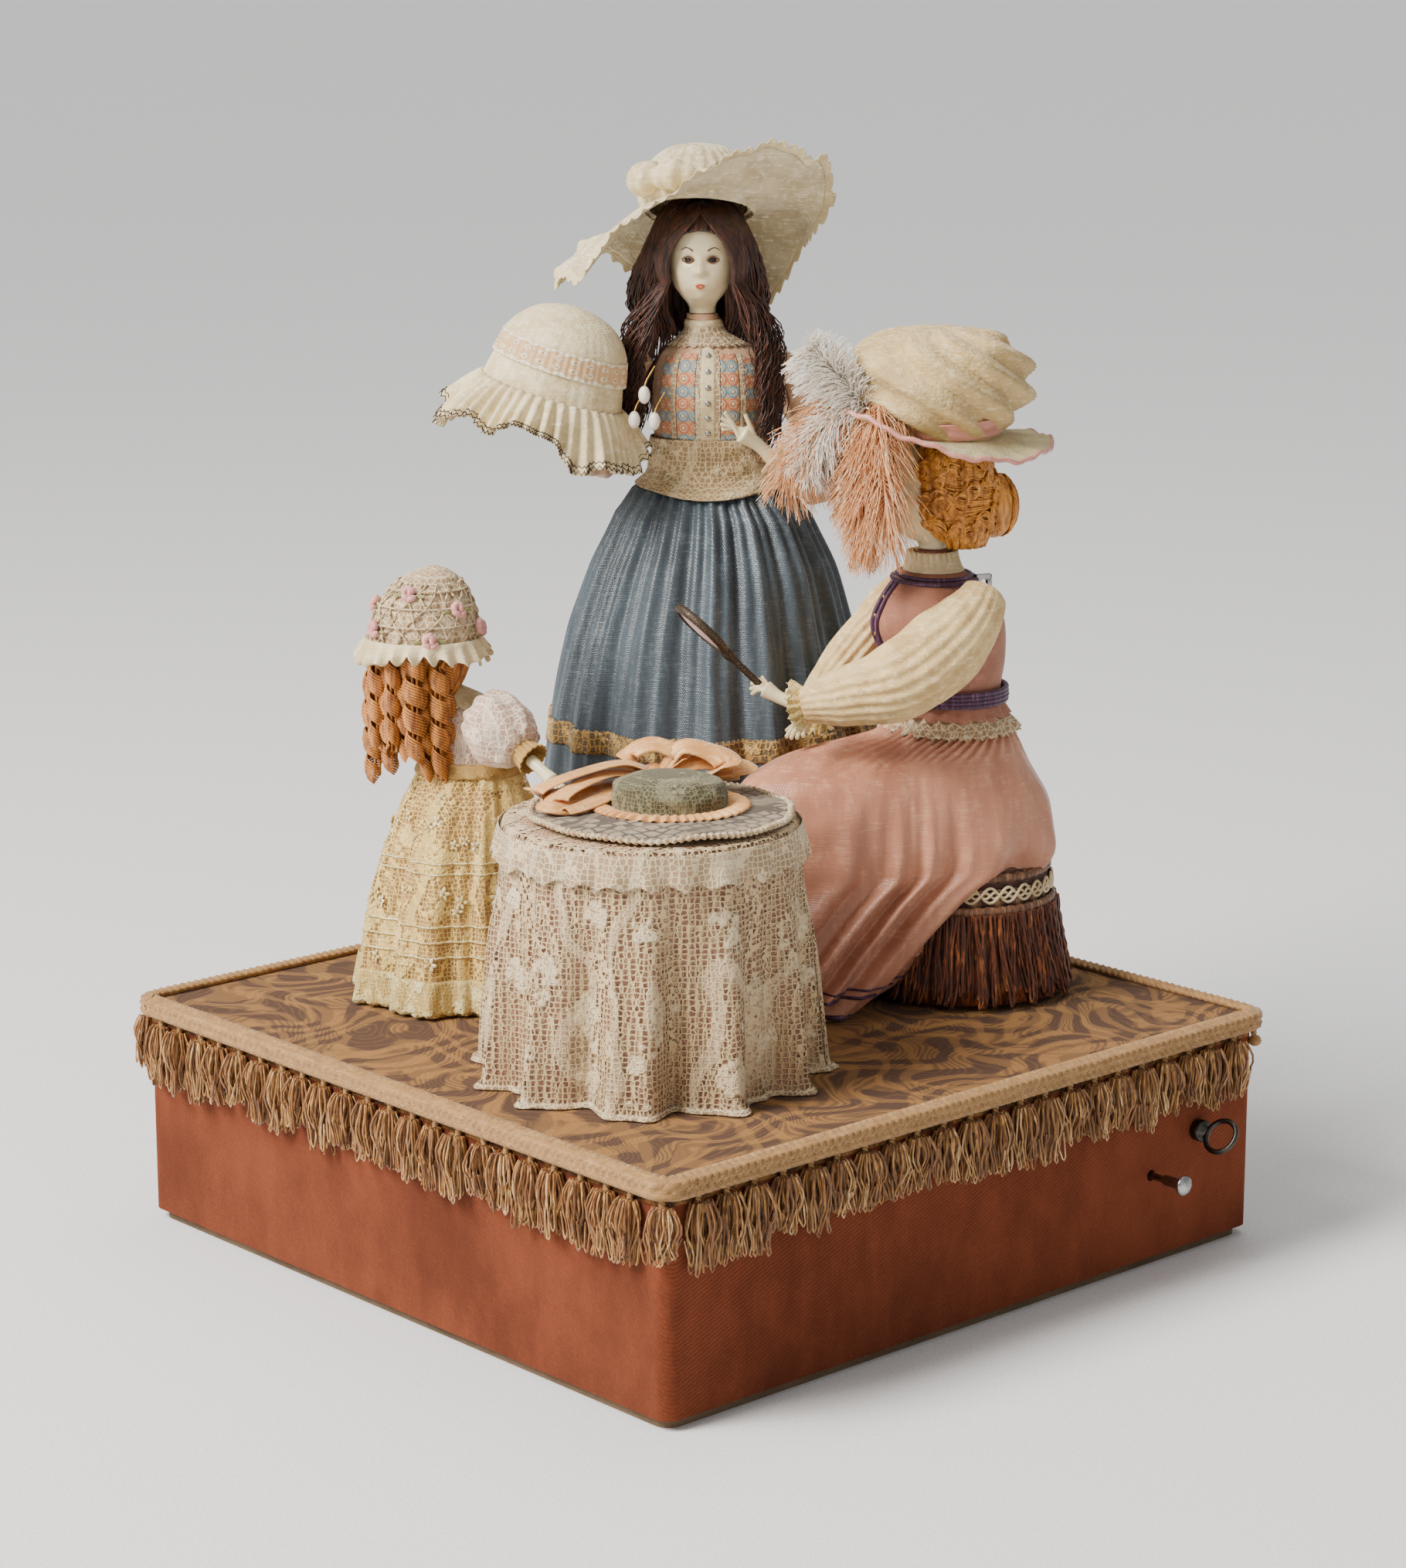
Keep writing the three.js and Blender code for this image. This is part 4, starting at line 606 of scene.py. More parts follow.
@dataclass(frozen=True)
class Porcelain(Finish):
    """Smooth cast skin with a soft gloss and warmer cheeks of its own tone."""

    base: Colour
    warm: Colour
    gloss: float = 0.28

    def paint(self, recipe: Recipe) -> None:
        """Add faint clouds and the glaze.

        Args:
            recipe: The node tree to fill.
        """
        place = recipe.place()
        clouds = recipe.grain(place, 0.12, 3)
        fine = recipe.grain(place, 2.2, 2)
        tone = recipe.mix(recipe.step(clouds, 0.4, 0.7) * 0.6, self.base, self.warm)
        recipe.main(Base_Color=tone, Roughness=self.gloss + clouds * 0.15, Coat_Weight=0.35,
                    Coat_Roughness=0.18, Subsurface_Weight=0.08, Subsurface_Radius=(0.004, 0.002, 0.001),
                    Normal=recipe.bump(fine + clouds * 2, 0.05, 0.35))


@dataclass(frozen=True)
class Hair(Finish):
    """Mohair in silky locks."""

    base: Colour
    dark: Colour
    # The light colour is a painted highlight.
    light: Colour

    def paint(self, recipe: Recipe) -> None:
        """Add darker locks, painted highlights on lighter locks and a gloss along them.

        Args:
            recipe: The node tree to fill.
        """
        locks = recipe.grain(recipe.place((1, 1, 0.12)), 0.5, 3, 0.6)
        fine = recipe.grain(recipe.place((1, 1, 0.08)), 2.4, 2)
        tone = recipe.mix(recipe.step(locks, 0.32, 0.6), self.dark, self.base)
        # Painted highlight: the light colour laid on some locks.
        with_painted_highlights = recipe.mix(recipe.step(locks * 0.5 + fine * 0.6, 0.6, 0.78) * 0.8, tone, self.light)
        recipe.main(Base_Color=with_painted_highlights, Roughness=0.38 + fine * 0.2, Specular_IOR_Level=0.6,
                    Normal=recipe.bump(fine + locks, 0.25, 0.7))


@dataclass(frozen=True)
class Metal(Finish):
    """Bare metal with a brushed grain and dull, darker patches."""

    base: Colour
    dull: Colour
    rough: float = 0.3
    metallic: float = 1.0

    def paint(self, recipe: Recipe) -> None:
        """Add the patches and the brushed grain.

        Args:
            recipe: The node tree to fill.
        """
        place = recipe.place()
        patches = recipe.grain(place, 0.25, 4, 0.65)
        brushed = recipe.grain(recipe.place((0.2, 3, 3)), 1.4, 2)
        share = recipe.step(patches, 0.5, 0.74)
        recipe.main(Base_Color=recipe.mix(share, self.base, self.dull), Metallic=self.metallic,
                    Roughness=self.rough + share * 0.25 + brushed * 0.12,
                    Normal=recipe.bump(brushed + patches, 0.04, 0.5))


@dataclass(frozen=True)
class Glitter(Finish):
    """Dark bronze paint with fine metal flakes."""

    base: Colour
    flake: Colour
    size: float = 0.6

    def paint(self, recipe: Recipe) -> None:
        """Scatter bright flakes over the dark ground.

        Args:
            recipe: The node tree to fill.
        """
        flakes = recipe.cells(recipe.place(), 1 / self.size)
        bright = 1 - recipe.step(flakes, 0.18, 0.3)
        recipe.main(Base_Color=recipe.mix(bright, self.base, self.flake), Metallic=bright * 0.6 + 0.3,
                    Roughness=0.55 - bright * 0.3, Normal=recipe.bump(flakes, 0.12, 0.8))


@dataclass(frozen=True)
class Board(Finish):
    """Grey-brown pasteboard with fibres and rubbed patches."""

    base: Colour
    dark: Colour

    def paint(self, recipe: Recipe) -> None:
        """Add fibres and rubbed patches.

        Args:
            recipe: The node tree to fill.
        """
        place = recipe.place()
        fibres = recipe.grain(recipe.place((0.3, 1, 1)), 1.2, 4, 0.7)
        patches = recipe.grain(place, 0.03, 3)
        share = recipe.step(fibres * 0.5 + patches * 0.6, 0.4, 0.75)
        recipe.main(Base_Color=recipe.mix(share, self.base, self.dark), Roughness=0.85 + fibres * 0.1,
                    Normal=recipe.bump(fibres, 0.1, 0.6))


@dataclass(frozen=True)
class Plain(Finish):
    """An even paint or enamel with a faint mottle."""

    base: Colour
    rough: float = 0.5

    def paint(self, recipe: Recipe) -> None:
        """Add a faint mottle to an even colour.

        Args:
            recipe: The node tree to fill.
        """
        mottle = recipe.grain(recipe.place(), 0.8, 2)
        tone = recipe.mix(recipe.step(mottle, 0.35, 0.7) * 0.4, self.base,
                          tuple(p * 0.7 for p in self.base))
        recipe.main(Base_Color=tone, Roughness=self.rough + mottle * 0.1,
                    Normal=recipe.bump(mottle, 0.05, 0.4))


# In each Cloth below the second colour is painted shade and the third a painted highlight; in each Thread
# and Hair the third colour is a painted highlight.
VELVET = Velvet("rust_velvet", tint(0x7C4029), tint(0x562A1A))
BROCADE = Brocade("tan_brocade", tint(0x4C2C12), tint(0x9E6E32), tint(0x704A20))
BRAID = Cloth("braid_cord", tint(0xA67C48), tint(0x7A5228), tint(0xC69E68), 0.6, 0.6, 0.3, 0.2, 1.0, 0.3,
              0.3)
PALE_THREAD = Thread("pale_thread", tint(0xC89A60), tint(0x94662F), tint(0xE8C690), 0.9)
TASSEL = Thread("tassel_thread", tint(0x9A662F), tint(0x633A18), tint(0xC69350), 1.1)
CARD = Board("pasteboard", tint(0x6E5A43), tint(0x4F3E2C))
BRASS = Metal("clock_brass", tint(0xC09A52), tint(0x7A5A2C), 0.28)
STEEL = Metal("bright_steel", tint(0xA9A9A8), tint(0x5E5A55), 0.22)
BLUED = Metal("blued_wire", tint(0x4A4743), tint(0x2C2722), 0.3)
# The shade colour is painted shadow in the folds and the light colour painted highlight on the lit side.
BLUE_SILK = Cloth("blue_silk", tint(0x47525A), tint(0x242B32), tint(0x7E8A8E), 0.7, 0.4, 0.35, 0.3, 0.18,
                  0.06, 0.14)
PEACH = Cloth("peach_silk", tint(0xD2A883), tint(0xA9785A), tint(0xEBCFAE), 0.7, 0.62, 0.25, 0.4)
SKIN = Porcelain("porcelain", tint(0xE4D6AC), tint(0xDCC298))
DARK_HAIR = Hair("dark_hair", tint(0x4A2413), tint(0x210E07), tint(0x98562E))
GAUZE = Cloth("hat_gauze_cream", tint(0xD6C7A0), tint(0xA08B62), tint(0xF0E6CB), 1.3, 0.85, 0.15, 0.8,
              1.0, 0.09, 0.45)
COTTON = Cloth("cream_cotton", tint(0xE4D3A6), tint(0xB89C68), tint(0xF6ECD2), 0.9, 0.8, 0.15, 0.5, 1.0,
               0.08, 0.35)
GIMP = Ribbon("brown_gimp", tint(0x4A2A1C), tint(0x7C5236), tint(0xA88258), 22, tint(0x5F3A26))
GIMP_CORD = Thread("gimp_cord", tint(0x8A5E3E), tint(0x50301E), tint(0xB78E66), 0.9)
SLEEVE_GAUZE = Cloth("sleeve_gauze", tint(0xDDBE84), tint(0xA9804A), tint(0xF2DCAC), 0.9, 0.8, 0.15, 0.5,
                     1.0, 0.08, 0.35)
MIRROR = Metal("mirror_glass", tint(0xC8CCCE), tint(0x9EA4A8), 0.06)
BULLION = Thread("bullion_fringe", tint(0x753919), tint(0x43200E), tint(0xAA6232), 0.8)
ROSE_SILK = Cloth("rose_silk", tint(0xC88A6C), tint(0x935A42), tint(0xE6B692), 0.8, 0.45, 0.35, 0.35,
                  0.25, 0.05, 0.16)
ROSE_VEST = Cloth("rose_vest", tint(0xA87058), tint(0x7C4C3A), tint(0xC08C72), 1.0, 0.8, 0.2, 0.3, 1.0,
                  0.05, 0.15)
PURPLE = Thread("purple_braid", tint(0x55304C), tint(0x2E1830), tint(0x7A5070), 1.0)
GOLD_HAIR = Hair("gold_hair", tint(0xDC9438), tint(0x9A5A1C), tint(0xFCD084))
OCHRE_GAUZE = Cloth("ochre_gauze", tint(0xCFB27C), tint(0xA98A58), tint(0xE8D6AA), 1.3, 0.85, 0.15, 0.9,
                    1.0, 0.09, 0.35)
PLUME = Thread("white_marabou", tint(0xFCF6EC), tint(0xE8DCCA), tint(0xFFFFFC), 0.6)
PEACH_PLUME = Thread("peach_feather", tint(0xE8AE78), tint(0xCE8A54), tint(0xFADCB6), 0.6)
BRONZE = Glitter("bronze_glitter", tint(0x3A2C20), tint(0x9A7C54))
YELLOW_NET = Net("flowered_net", tint(0xD4A460), tint(0xE2BF6C), tint(0xEFD07E), 1.7, 15, 1.1, 0.5, 0.75)
NET_CORD = Thread("net_cord", tint(0xE6D6A0), tint(0xB89E60), tint(0xF6EBC8), 0.7)
HEM_LACE = Net("hem_lace", tint(0xC09A50), tint(0xDDC27A), tint(0xEAD79C), 1.5, 9, 0.8, 0.5)
LEAF = Plain("leaf_silk", tint(0x8A8A52), 0.6)
PINK_MESH = Net("sleeve_mesh", tint(0xCE9C84), tint(0xE8D4BC), tint(0xF2E2CE), 2.2, 40, 0.85, 0.1)
GINGER = Hair("ginger_locks", tint(0xC07A32), tint(0x7A4216), tint(0xEBB468))
CROCHET = Net("crochet_work", tint(0x9C7654), tint(0xD6C098), tint(0xE6D6B2), 2.2, 26, 0.95, 0.12)
OCHRE = Cloth("ochre_lace", tint(0xB08A48), tint(0x7C5C2A), tint(0xD6B87A), 1.1, 0.8, 0.15, 0.7)
# The lining colour is partly the pink lining and partly painted shade seen through the lace's holes.
TABLE_LACE = Net("cloth_lace", tint(0xAE846C), tint(0xCCB084), tint(0xE2CDA4), 2.1, 17, 0.95, 0.4, 0.95)
GREY_GAUZE = Net("grey_gauze", tint(0xAE9C7E), tint(0x4E4032), tint(0xA08C6C), 5.5, 50, 0.9, 0.1)
INSERTION = Net("insertion_lace", tint(0x3C3A34), tint(0xA67E3E), tint(0xC8A360), 2.6, 6, 0.95, 0.5)
LINING = Cloth("pink_lining", tint(0xD0A084), tint(0xA87860), tint(0xE4BEA4))
YELLOW_LINING = Cloth("buff_lining", tint(0xD2A878), tint(0xA67E4E), tint(0xE4C49A))
MESH_GOLD = Net("crown_mesh", tint(0x35301F), tint(0x7A7350), tint(0x9C9470), 1.5, 9, 0.8, 0.3)
SATIN = Cloth("apricot_satin", tint(0xEBAC68), tint(0xBE8040), tint(0xFAD69E), 0.6, 0.3, 0.4, 0.25, 1.0,
              0.07, 0.2)
PINK_RIBBON = Cloth("pink_ribbon", tint(0xD99484), tint(0xA8645A), tint(0xEFC0B0), 0.6, 0.4, 0.3, 0.25)
OLIVE_BRIM = Cloth("olive_brim", tint(0xC9BC8C), tint(0x8E8152), tint(0xE6DCB6), 1.2, 0.8, 0.15, 0.6)
BODICE_LACE = Scallops("bodice_lace", tint(0xC9A070), tint(0x6E8FA0), tint(0xD0714E), tint(0xE2CFA4), 7)
LADDER_LACE = Ribbon("ladder_lace", tint(0xD9B080), tint(0xEBDDB8), tint(0xB98A5C), 24, tint(0xEFE4C6))
SASH = Net("sash_lace", tint(0x8C6E48), tint(0xC8AE80), tint(0xD9C498), 2.0, 7, 0.95, 0.45)
EDGE_LACE = Cloth("edge_lace", tint(0xDFCDA2), tint(0xA88E5E), tint(0xF2E6C6), 1.0, 0.85, 0.1, 0.6)
DARK_TRIM = Plain("dark_trim", tint(0x3E2A22), 0.7)
EYE = Plain("eye_enamel", tint(0x1C120E), 0.12)
# The eye whites are darkened with painted shade.
EYE_WHITE_IN_PAINTED_SHADE = Plain("eye_white", tint(0xB5A88C), 0.3)
LIP = Plain("lip_paint", tint(0xC0583A), 0.35)
BROW = Plain("brow_paint", tint(0x6A4A36), 0.6)
PEARL = Porcelain("pearl", tint(0xF0E8DA), tint(0xE6D2C6), 0.15)
ROSEBUD = Cloth("rosebud", tint(0xDFA098), tint(0xBC7570), tint(0xF2C8C0), 0.6, 0.5, 0.3, 0.3)
SHOE = Plain("ochre_shoe", tint(0xB98A48), 0.5)
FLOOR = Plain("floor", (0.86, 0.85, 0.84), 0.6)


class Held(Enum):
    """How a sheet of cloth is held."""

    DRAPED = "draped"
    GATHERED = "gathered"


class Maker:
    """Turns meshes measured in millimetres into finished objects of the doll."""

    @staticmethod
    def skin(columns: int, rows: int, place: Place, welded: bool = True) -> bmesh.types.BMesh:
        """Grow a surface from a bmesh grid whose places follow a function.

        Args:
            columns: Steps round the surface.
            rows: Steps along it.
            place: Gives the point at a share round and a share along.
            welded: Whether the two sides of the grid meet.

        Returns:
            The surface, with a UV map of the two shares.
        """
        mesh = bmesh.new()
        mesh.loops.layers.uv.new("UVMap")
        bmesh.ops.create_grid(mesh, x_segments=columns, y_segments=rows, size=0.5, calc_uvs=True)
        for vert in mesh.verts:
            vert.co = place(clamp(vert.co.x + 0.5), clamp(vert.co.y + 0.5))
        if welded:
            bmesh.ops.remove_doubles(mesh, verts=mesh.verts, dist=WELD)
            bmesh.ops.dissolve_degenerate(mesh, edges=mesh.edges, dist=SLIVER)
            bmesh.ops.recalc_face_normals(mesh, faces=mesh.faces)
        return mesh

    @staticmethod
    def filled(mesh: bmesh.types.BMesh) -> bmesh.types.BMesh:
        """Close the open ends of a surface and point its faces outwards.

        Args:
            mesh: The surface with its open ends.

        Returns:
            The mesh.
        """
        rim = [edge for edge in mesh.edges if edge.is_boundary]
        if rim:
            bmesh.ops.holes_fill(mesh, edges=rim, sides=0)
        bmesh.ops.recalc_face_normals(mesh, faces=mesh.faces)
        return mesh

    @staticmethod
    def ball(centre: Sequence[float], size: Sequence[float], turn: Matrix = Matrix.Identity(4),
             columns: int = 16) -> bmesh.types.BMesh:
        """Make a ball stretched to three half sizes.

        Args:
            centre: Its middle.
            size: Its three half sizes.
            turn: The matrix that turns it.
            columns: The steps round it.

        Returns:
            The mesh.
        """
        mesh = bmesh.new()
        mesh.loops.layers.uv.new("UVMap")
        move = Matrix.Translation(Vector(centre)) @ turn @ Matrix.Diagonal((*size, 1.0))
        bmesh.ops.create_uvsphere(mesh, u_segments=columns, v_segments=max(6, columns // 2), radius=1.0,
                                  matrix=move, calc_uvs=True)
        return mesh

    @staticmethod
    def threads(paths: Sequence[Sequence[Sequence[float]]], radius: float, taper: float = 1.0,
                sides: int = 0) -> bmesh.types.BMesh:
        """Make a bunch of round threads along paths.

        Args:
            paths: A row of points for each thread.
            radius: A thread's radius.
            taper: The share of the radius left at the tip.
            sides: The bevel resolution; 0 gives four sides.

        Returns:
            The threads as one mesh.
        """
        curve = bpy.data.curves.new("threads", "CURVE")
        curve.dimensions = "3D"
        curve.bevel_depth = radius
        curve.bevel_resolution = sides
        curve.use_fill_caps = True
        for path in paths:
            line = curve.splines.new("POLY")
            last = len(path) - 1
            line.points.add(last)
            for index, target in enumerate(path):
                line.points[index].co = (*target, 1.0)
                line.points[index].radius = lerp(1.0, taper, index / last)
        holder = bpy.data.objects.new("threads", curve)
        data = bpy.data.meshes.new_from_object(holder)
        mesh = bmesh.new()
        mesh.from_mesh(data)
        bpy.data.objects.remove(holder)
        bpy.data.curves.remove(curve)
        bpy.data.meshes.remove(data)
        return mesh

    @staticmethod
    def merged(meshes: Iterable[bmesh.types.BMesh]) -> bmesh.types.BMesh:
        """Put several meshes into one.

        Args:
            meshes: The meshes, which are used up.

        Returns:
            The mesh.
        """
        whole = bmesh.new()
        whole.loops.layers.uv.new("UVMap")
        for part in meshes:
            held = bpy.data.meshes.new("part")
            part.to_mesh(held)
            part.free()
            whole.from_mesh(held)
            bpy.data.meshes.remove(held)
        return whole

    @staticmethod
    def keep(name: str, mesh: bmesh.types.BMesh, stand: Stand, finish: Finish, body: str,
             wall: float = 0.0) -> bpy.types.Object:
        """Make the object of a mesh, with its place in its mesh.

        Args:
            name: The object's name.
            mesh: The mesh, in the stand's millimetres.
            stand: The frame it was measured in.
            finish: Its finish.
            body: The body it rides on.
            wall: A sheet's thickness in millimetres, or 0 for a closed form.

        Returns:
            The object.
        """
        mesh.transform(stand.matrix())
        data = bpy.data.meshes.new(name)
        mesh.to_mesh(data)
        mesh.free()
        for face in data.polygons:
            face.use_smooth = True
        piece = bpy.data.objects.new(name, data)
        bpy.context.scene.collection.objects.link(piece)
        data.materials.append(finish.material())
        if wall:
            thick = piece.modifiers.new("wall", "SOLIDIFY")
            thick.thickness = wall * MILLIMETRE
            thick.offset = 0
        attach(piece, body)
        log.info("made %s with %d faces", name, len(data.polygons))
        return piece

    @staticmethod
    def replace(piece: bpy.types.Object, slot: str, *nodes: str) -> bpy.types.Object:
        """Hide the nodes that a piece stands for.

        Args:
            piece: The piece.
            slot: Not used.
            nodes: The nodes that it stands for.

        Returns:
            The piece.
        """
        if nodes:
            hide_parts(*nodes)
        return piece

    @staticmethod
    def sheet(piece: bpy.types.Object, length: float, held: Held, rests_on: Sequence[str],
              with_pieces: Sequence[bpy.types.Object] = ()) -> None:
        """Work out the length of a sheet's cut in metres, shortened so that its width, which follows from
        its area, is at least the narrowest cut; nothing is kept.

        Args:
            piece: The sheet.
            length: The length of its cut in metres.
            held: Not used.
            rests_on: The names of the pieces that it rests on.
            with_pieces: Pieces that are sewn to it.
        """
        area = sum(face.area for face in piece.data.polygons)
        length = min(length, area / NARROWEST)
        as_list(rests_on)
        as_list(with_pieces)

    @staticmethod
    def dress(nodes: Iterable[str], finish: Finish) -> None:
        """Give kept nodes of the frame a finish.

        Args:
            nodes: The nodes' names.
            finish: Their finish.
        """
        for name in nodes:
            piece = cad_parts[name]
            for slot in piece.material_slots:
                slot.material = finish.material()
            log.info("finished %s", name)


@dataclass(frozen=True)
class Form:
    """A round form from rows of height, x, y, half width and half depth."""

    rows: tuple[tuple[float, ...], ...]

    def row(self, height: float) -> list[float]:
        """Return the form's row at a height.

        Args:
            height: The height in millimetres.

        Returns:
            The row.
        """
        last = len(self.rows) - 1
        for index in range(last):
            low, high = self.rows[index][0], self.rows[index + 1][0]
            if height <= high or index == last - 1:
                return spline(self.rows, (index + clamp((height - low) / (high - low))) / last)
        return list(self.rows[last])

    def low(self) -> float:
        """Return the lowest row's height."""
        return self.rows[0][0]

    def high(self) -> float:
        """Return the highest row's height."""
        return self.rows[-1][0]

    def point(self, angle: float, height: float, proud: float = 0.0) -> Vector:
        """Return a point of the surface at an angle and a height, lifted off it by some distance."""
        _, x, y, wide, deep = self.row(height)
        return Vector((x + (wide + proud) * math.cos(angle), y + (deep + proud) * math.sin(angle), height))

    def shell(self, columns: int, rows: int, relief: Callable[[float, float], float] | None = None,
              closed: bool = True) -> bmesh.types.BMesh:
        """Return the whole form as a mesh.

        Args:
            columns: Steps round it.
            rows: Steps up it.
            relief: Gives how proud the surface stands at an angle and a height.
            closed: Whether its ends are filled.

        Returns:
            The mesh.
        """
        def place(u: float, v: float) -> Vector:
            """Return the form's point at its shares round and up.

            Args:
                u: The share round.
                v: The share up.

            Returns:
                The point.
            """
            angle = u * TAU
            height = lerp(self.low(), self.high(), v)
            return self.point(angle, height, relief(angle, height) if relief else 0.0)
        mesh = Maker.skin(columns, rows, place)
        return Maker.filled(mesh) if closed else mesh

    def strip(self, angles: tuple[float, float], heights: tuple[float, float], proud: float,
              columns: int = 6, rows: int = 12,
              relief: Callable[[float, float], float] | None = None) -> bmesh.types.BMesh:
        """Return a strip of cloth laid on the form between two angles and two heights.

        Args:
            angles: The angles of its two sides.
            heights: The heights of its two ends.
            proud: How far it lies off the form.
            columns: The steps across it.
            rows: The steps up it.
            relief: Adds to the lift at a share across and up.

        Returns:
            The mesh.
        """
        def place(u: float, v: float) -> Vector:
            """Return the strip's point at its shares across and up."""
            lift = proud + (relief(u, v) if relief else 0.0)
            return self.point(lerp(*angles, u), lerp(*heights, v), lift)
        return Maker.skin(columns, rows, place, welded=False)

    def band(self, height: float, width: float, proud: float, columns: int = 64, thickness: float = 1.2,
             wave: float = 0.0, waves: int = 12) -> bmesh.types.BMesh:
        """Return a soft closed band round the form.

        Args:
            height: The height of its middle.
            width: Its width.
            proud: How far its middle lies off the form.
            columns: The steps round it.
            thickness: Half its thickness.
            wave: How far it waves.
            waves: The number of waves.

        Returns:
            The mesh.
        """
        def place(u: float, v: float) -> Vector:
            """Return the band's point at its shares round the form and round the band.

            Args:
                u: The share round the form.
                v: The share round the band.

            Returns:
                The point.
            """
            angle = u * TAU
            across = v * TAU
            lift = proud + thickness * math.cos(across) + wave * math.sin(waves * angle)
            return self.point(angle, height + width / 2 * math.sin(across)
                              + wave * math.cos(waves * angle), lift)
        mesh = Maker.skin(columns, 8, place)
        bmesh.ops.recalc_face_normals(mesh, faces=mesh.faces)
        return mesh


@dataclass(frozen=True)
class Tube:
    """A limb, lock or roll along a smooth path, with a radius at each place."""

    places: tuple[Point, ...]
    radii: tuple[float, ...]
    across: Point = (0, 1, 0)

    def centre(self, share: float) -> Vector:
        """Return the middle at a share of the way."""
        return Vector(spline(self.places, share))

    def radius(self, share: float) -> float:
        """Return the radius at a share of the way."""
        return spline([(radius,) for radius in self.radii], share)[0]

    def axes(self, share: float) -> tuple[Vector, Vector, Vector]:
        """Return the directions along, beside and above the path.

        Args:
            share: The share of the way along.

        Returns:
            The three directions.
        """
        ahead = (self.centre(min(1, share + 0.02)) - self.centre(max(0, share - 0.02))).normalized()
        beside = Vector(self.across).cross(ahead).normalized()
        return ahead, beside, ahead.cross(beside)

    def point(self, angle: float, share: float, proud: float = 0.0) -> Vector:
        """Return a point of the surface.

        Args:
            angle: The direction round, in radians.
            share: The share of the way along.
            proud: How far the point is lifted off the surface.

        Returns:
            The point.
        """
        _, beside, above = self.axes(share)
        reach = self.radius(share) + proud
        return self.centre(share) + beside * (reach * math.cos(angle)) + above * (reach * math.sin(angle))

    def shell(self, columns: int = 24, rows: int = 24,
              relief: Callable[[float, float], float] | None = None,
              dome: float = 0.08) -> bmesh.types.BMesh:
        """Return the tube as a closed mesh with round ends.

        Args:
            columns: Steps round it.
            rows: Steps along it.
            relief: Gives how proud the surface stands at an angle and a share.
            dome: The share of the length that each end rounds over.

        Returns:
            The mesh.
        """
        def place(u: float, v: float) -> Vector:
            """Return the tube's point at its shares round and along.

            Args:
                u: The share round.
                v: The share along.

            Returns:
                The point.
            """
            angle = u * TAU
            end = min(v, 1 - v) / dome if dome else 1.0
            round_share = math.sqrt(clamp(1 - (1 - clamp(end)) ** 2))
            lift = relief(angle, v) if relief else 0.0
            return self.centre(v) + (self.point(angle, v, lift) - self.centre(v)) * round_share
        mesh = Maker.skin(columns, rows, place)
        return Maker.filled(mesh)


class Dressed:
    """A sub-assembly whose pieces are all measured in one stand."""

    stand: ClassVar[Stand] = BASE

    def put(self, name: str, mesh: bmesh.types.BMesh, finish: Finish, slot: str, *nodes: str,
            body: str = "base", wall: float = 0.0) -> bpy.types.Object:
        """Keep a mesh as a piece and hide the nodes that it stands for.

        Args:
            name: The piece's name.
            mesh: The mesh, measured in the stand's millimetres.
            finish: Its finish.
            slot: Not used.
            nodes: Nodes of the CAD model that it stands for.
            body: The body that it moves with.
            wall: Thickness of a sheet in millimetres, or 0.

        Returns:
            The piece.
        """
        return Maker.replace(Maker.keep(name, mesh, self.stand, finish, body, wall), slot, *nodes)


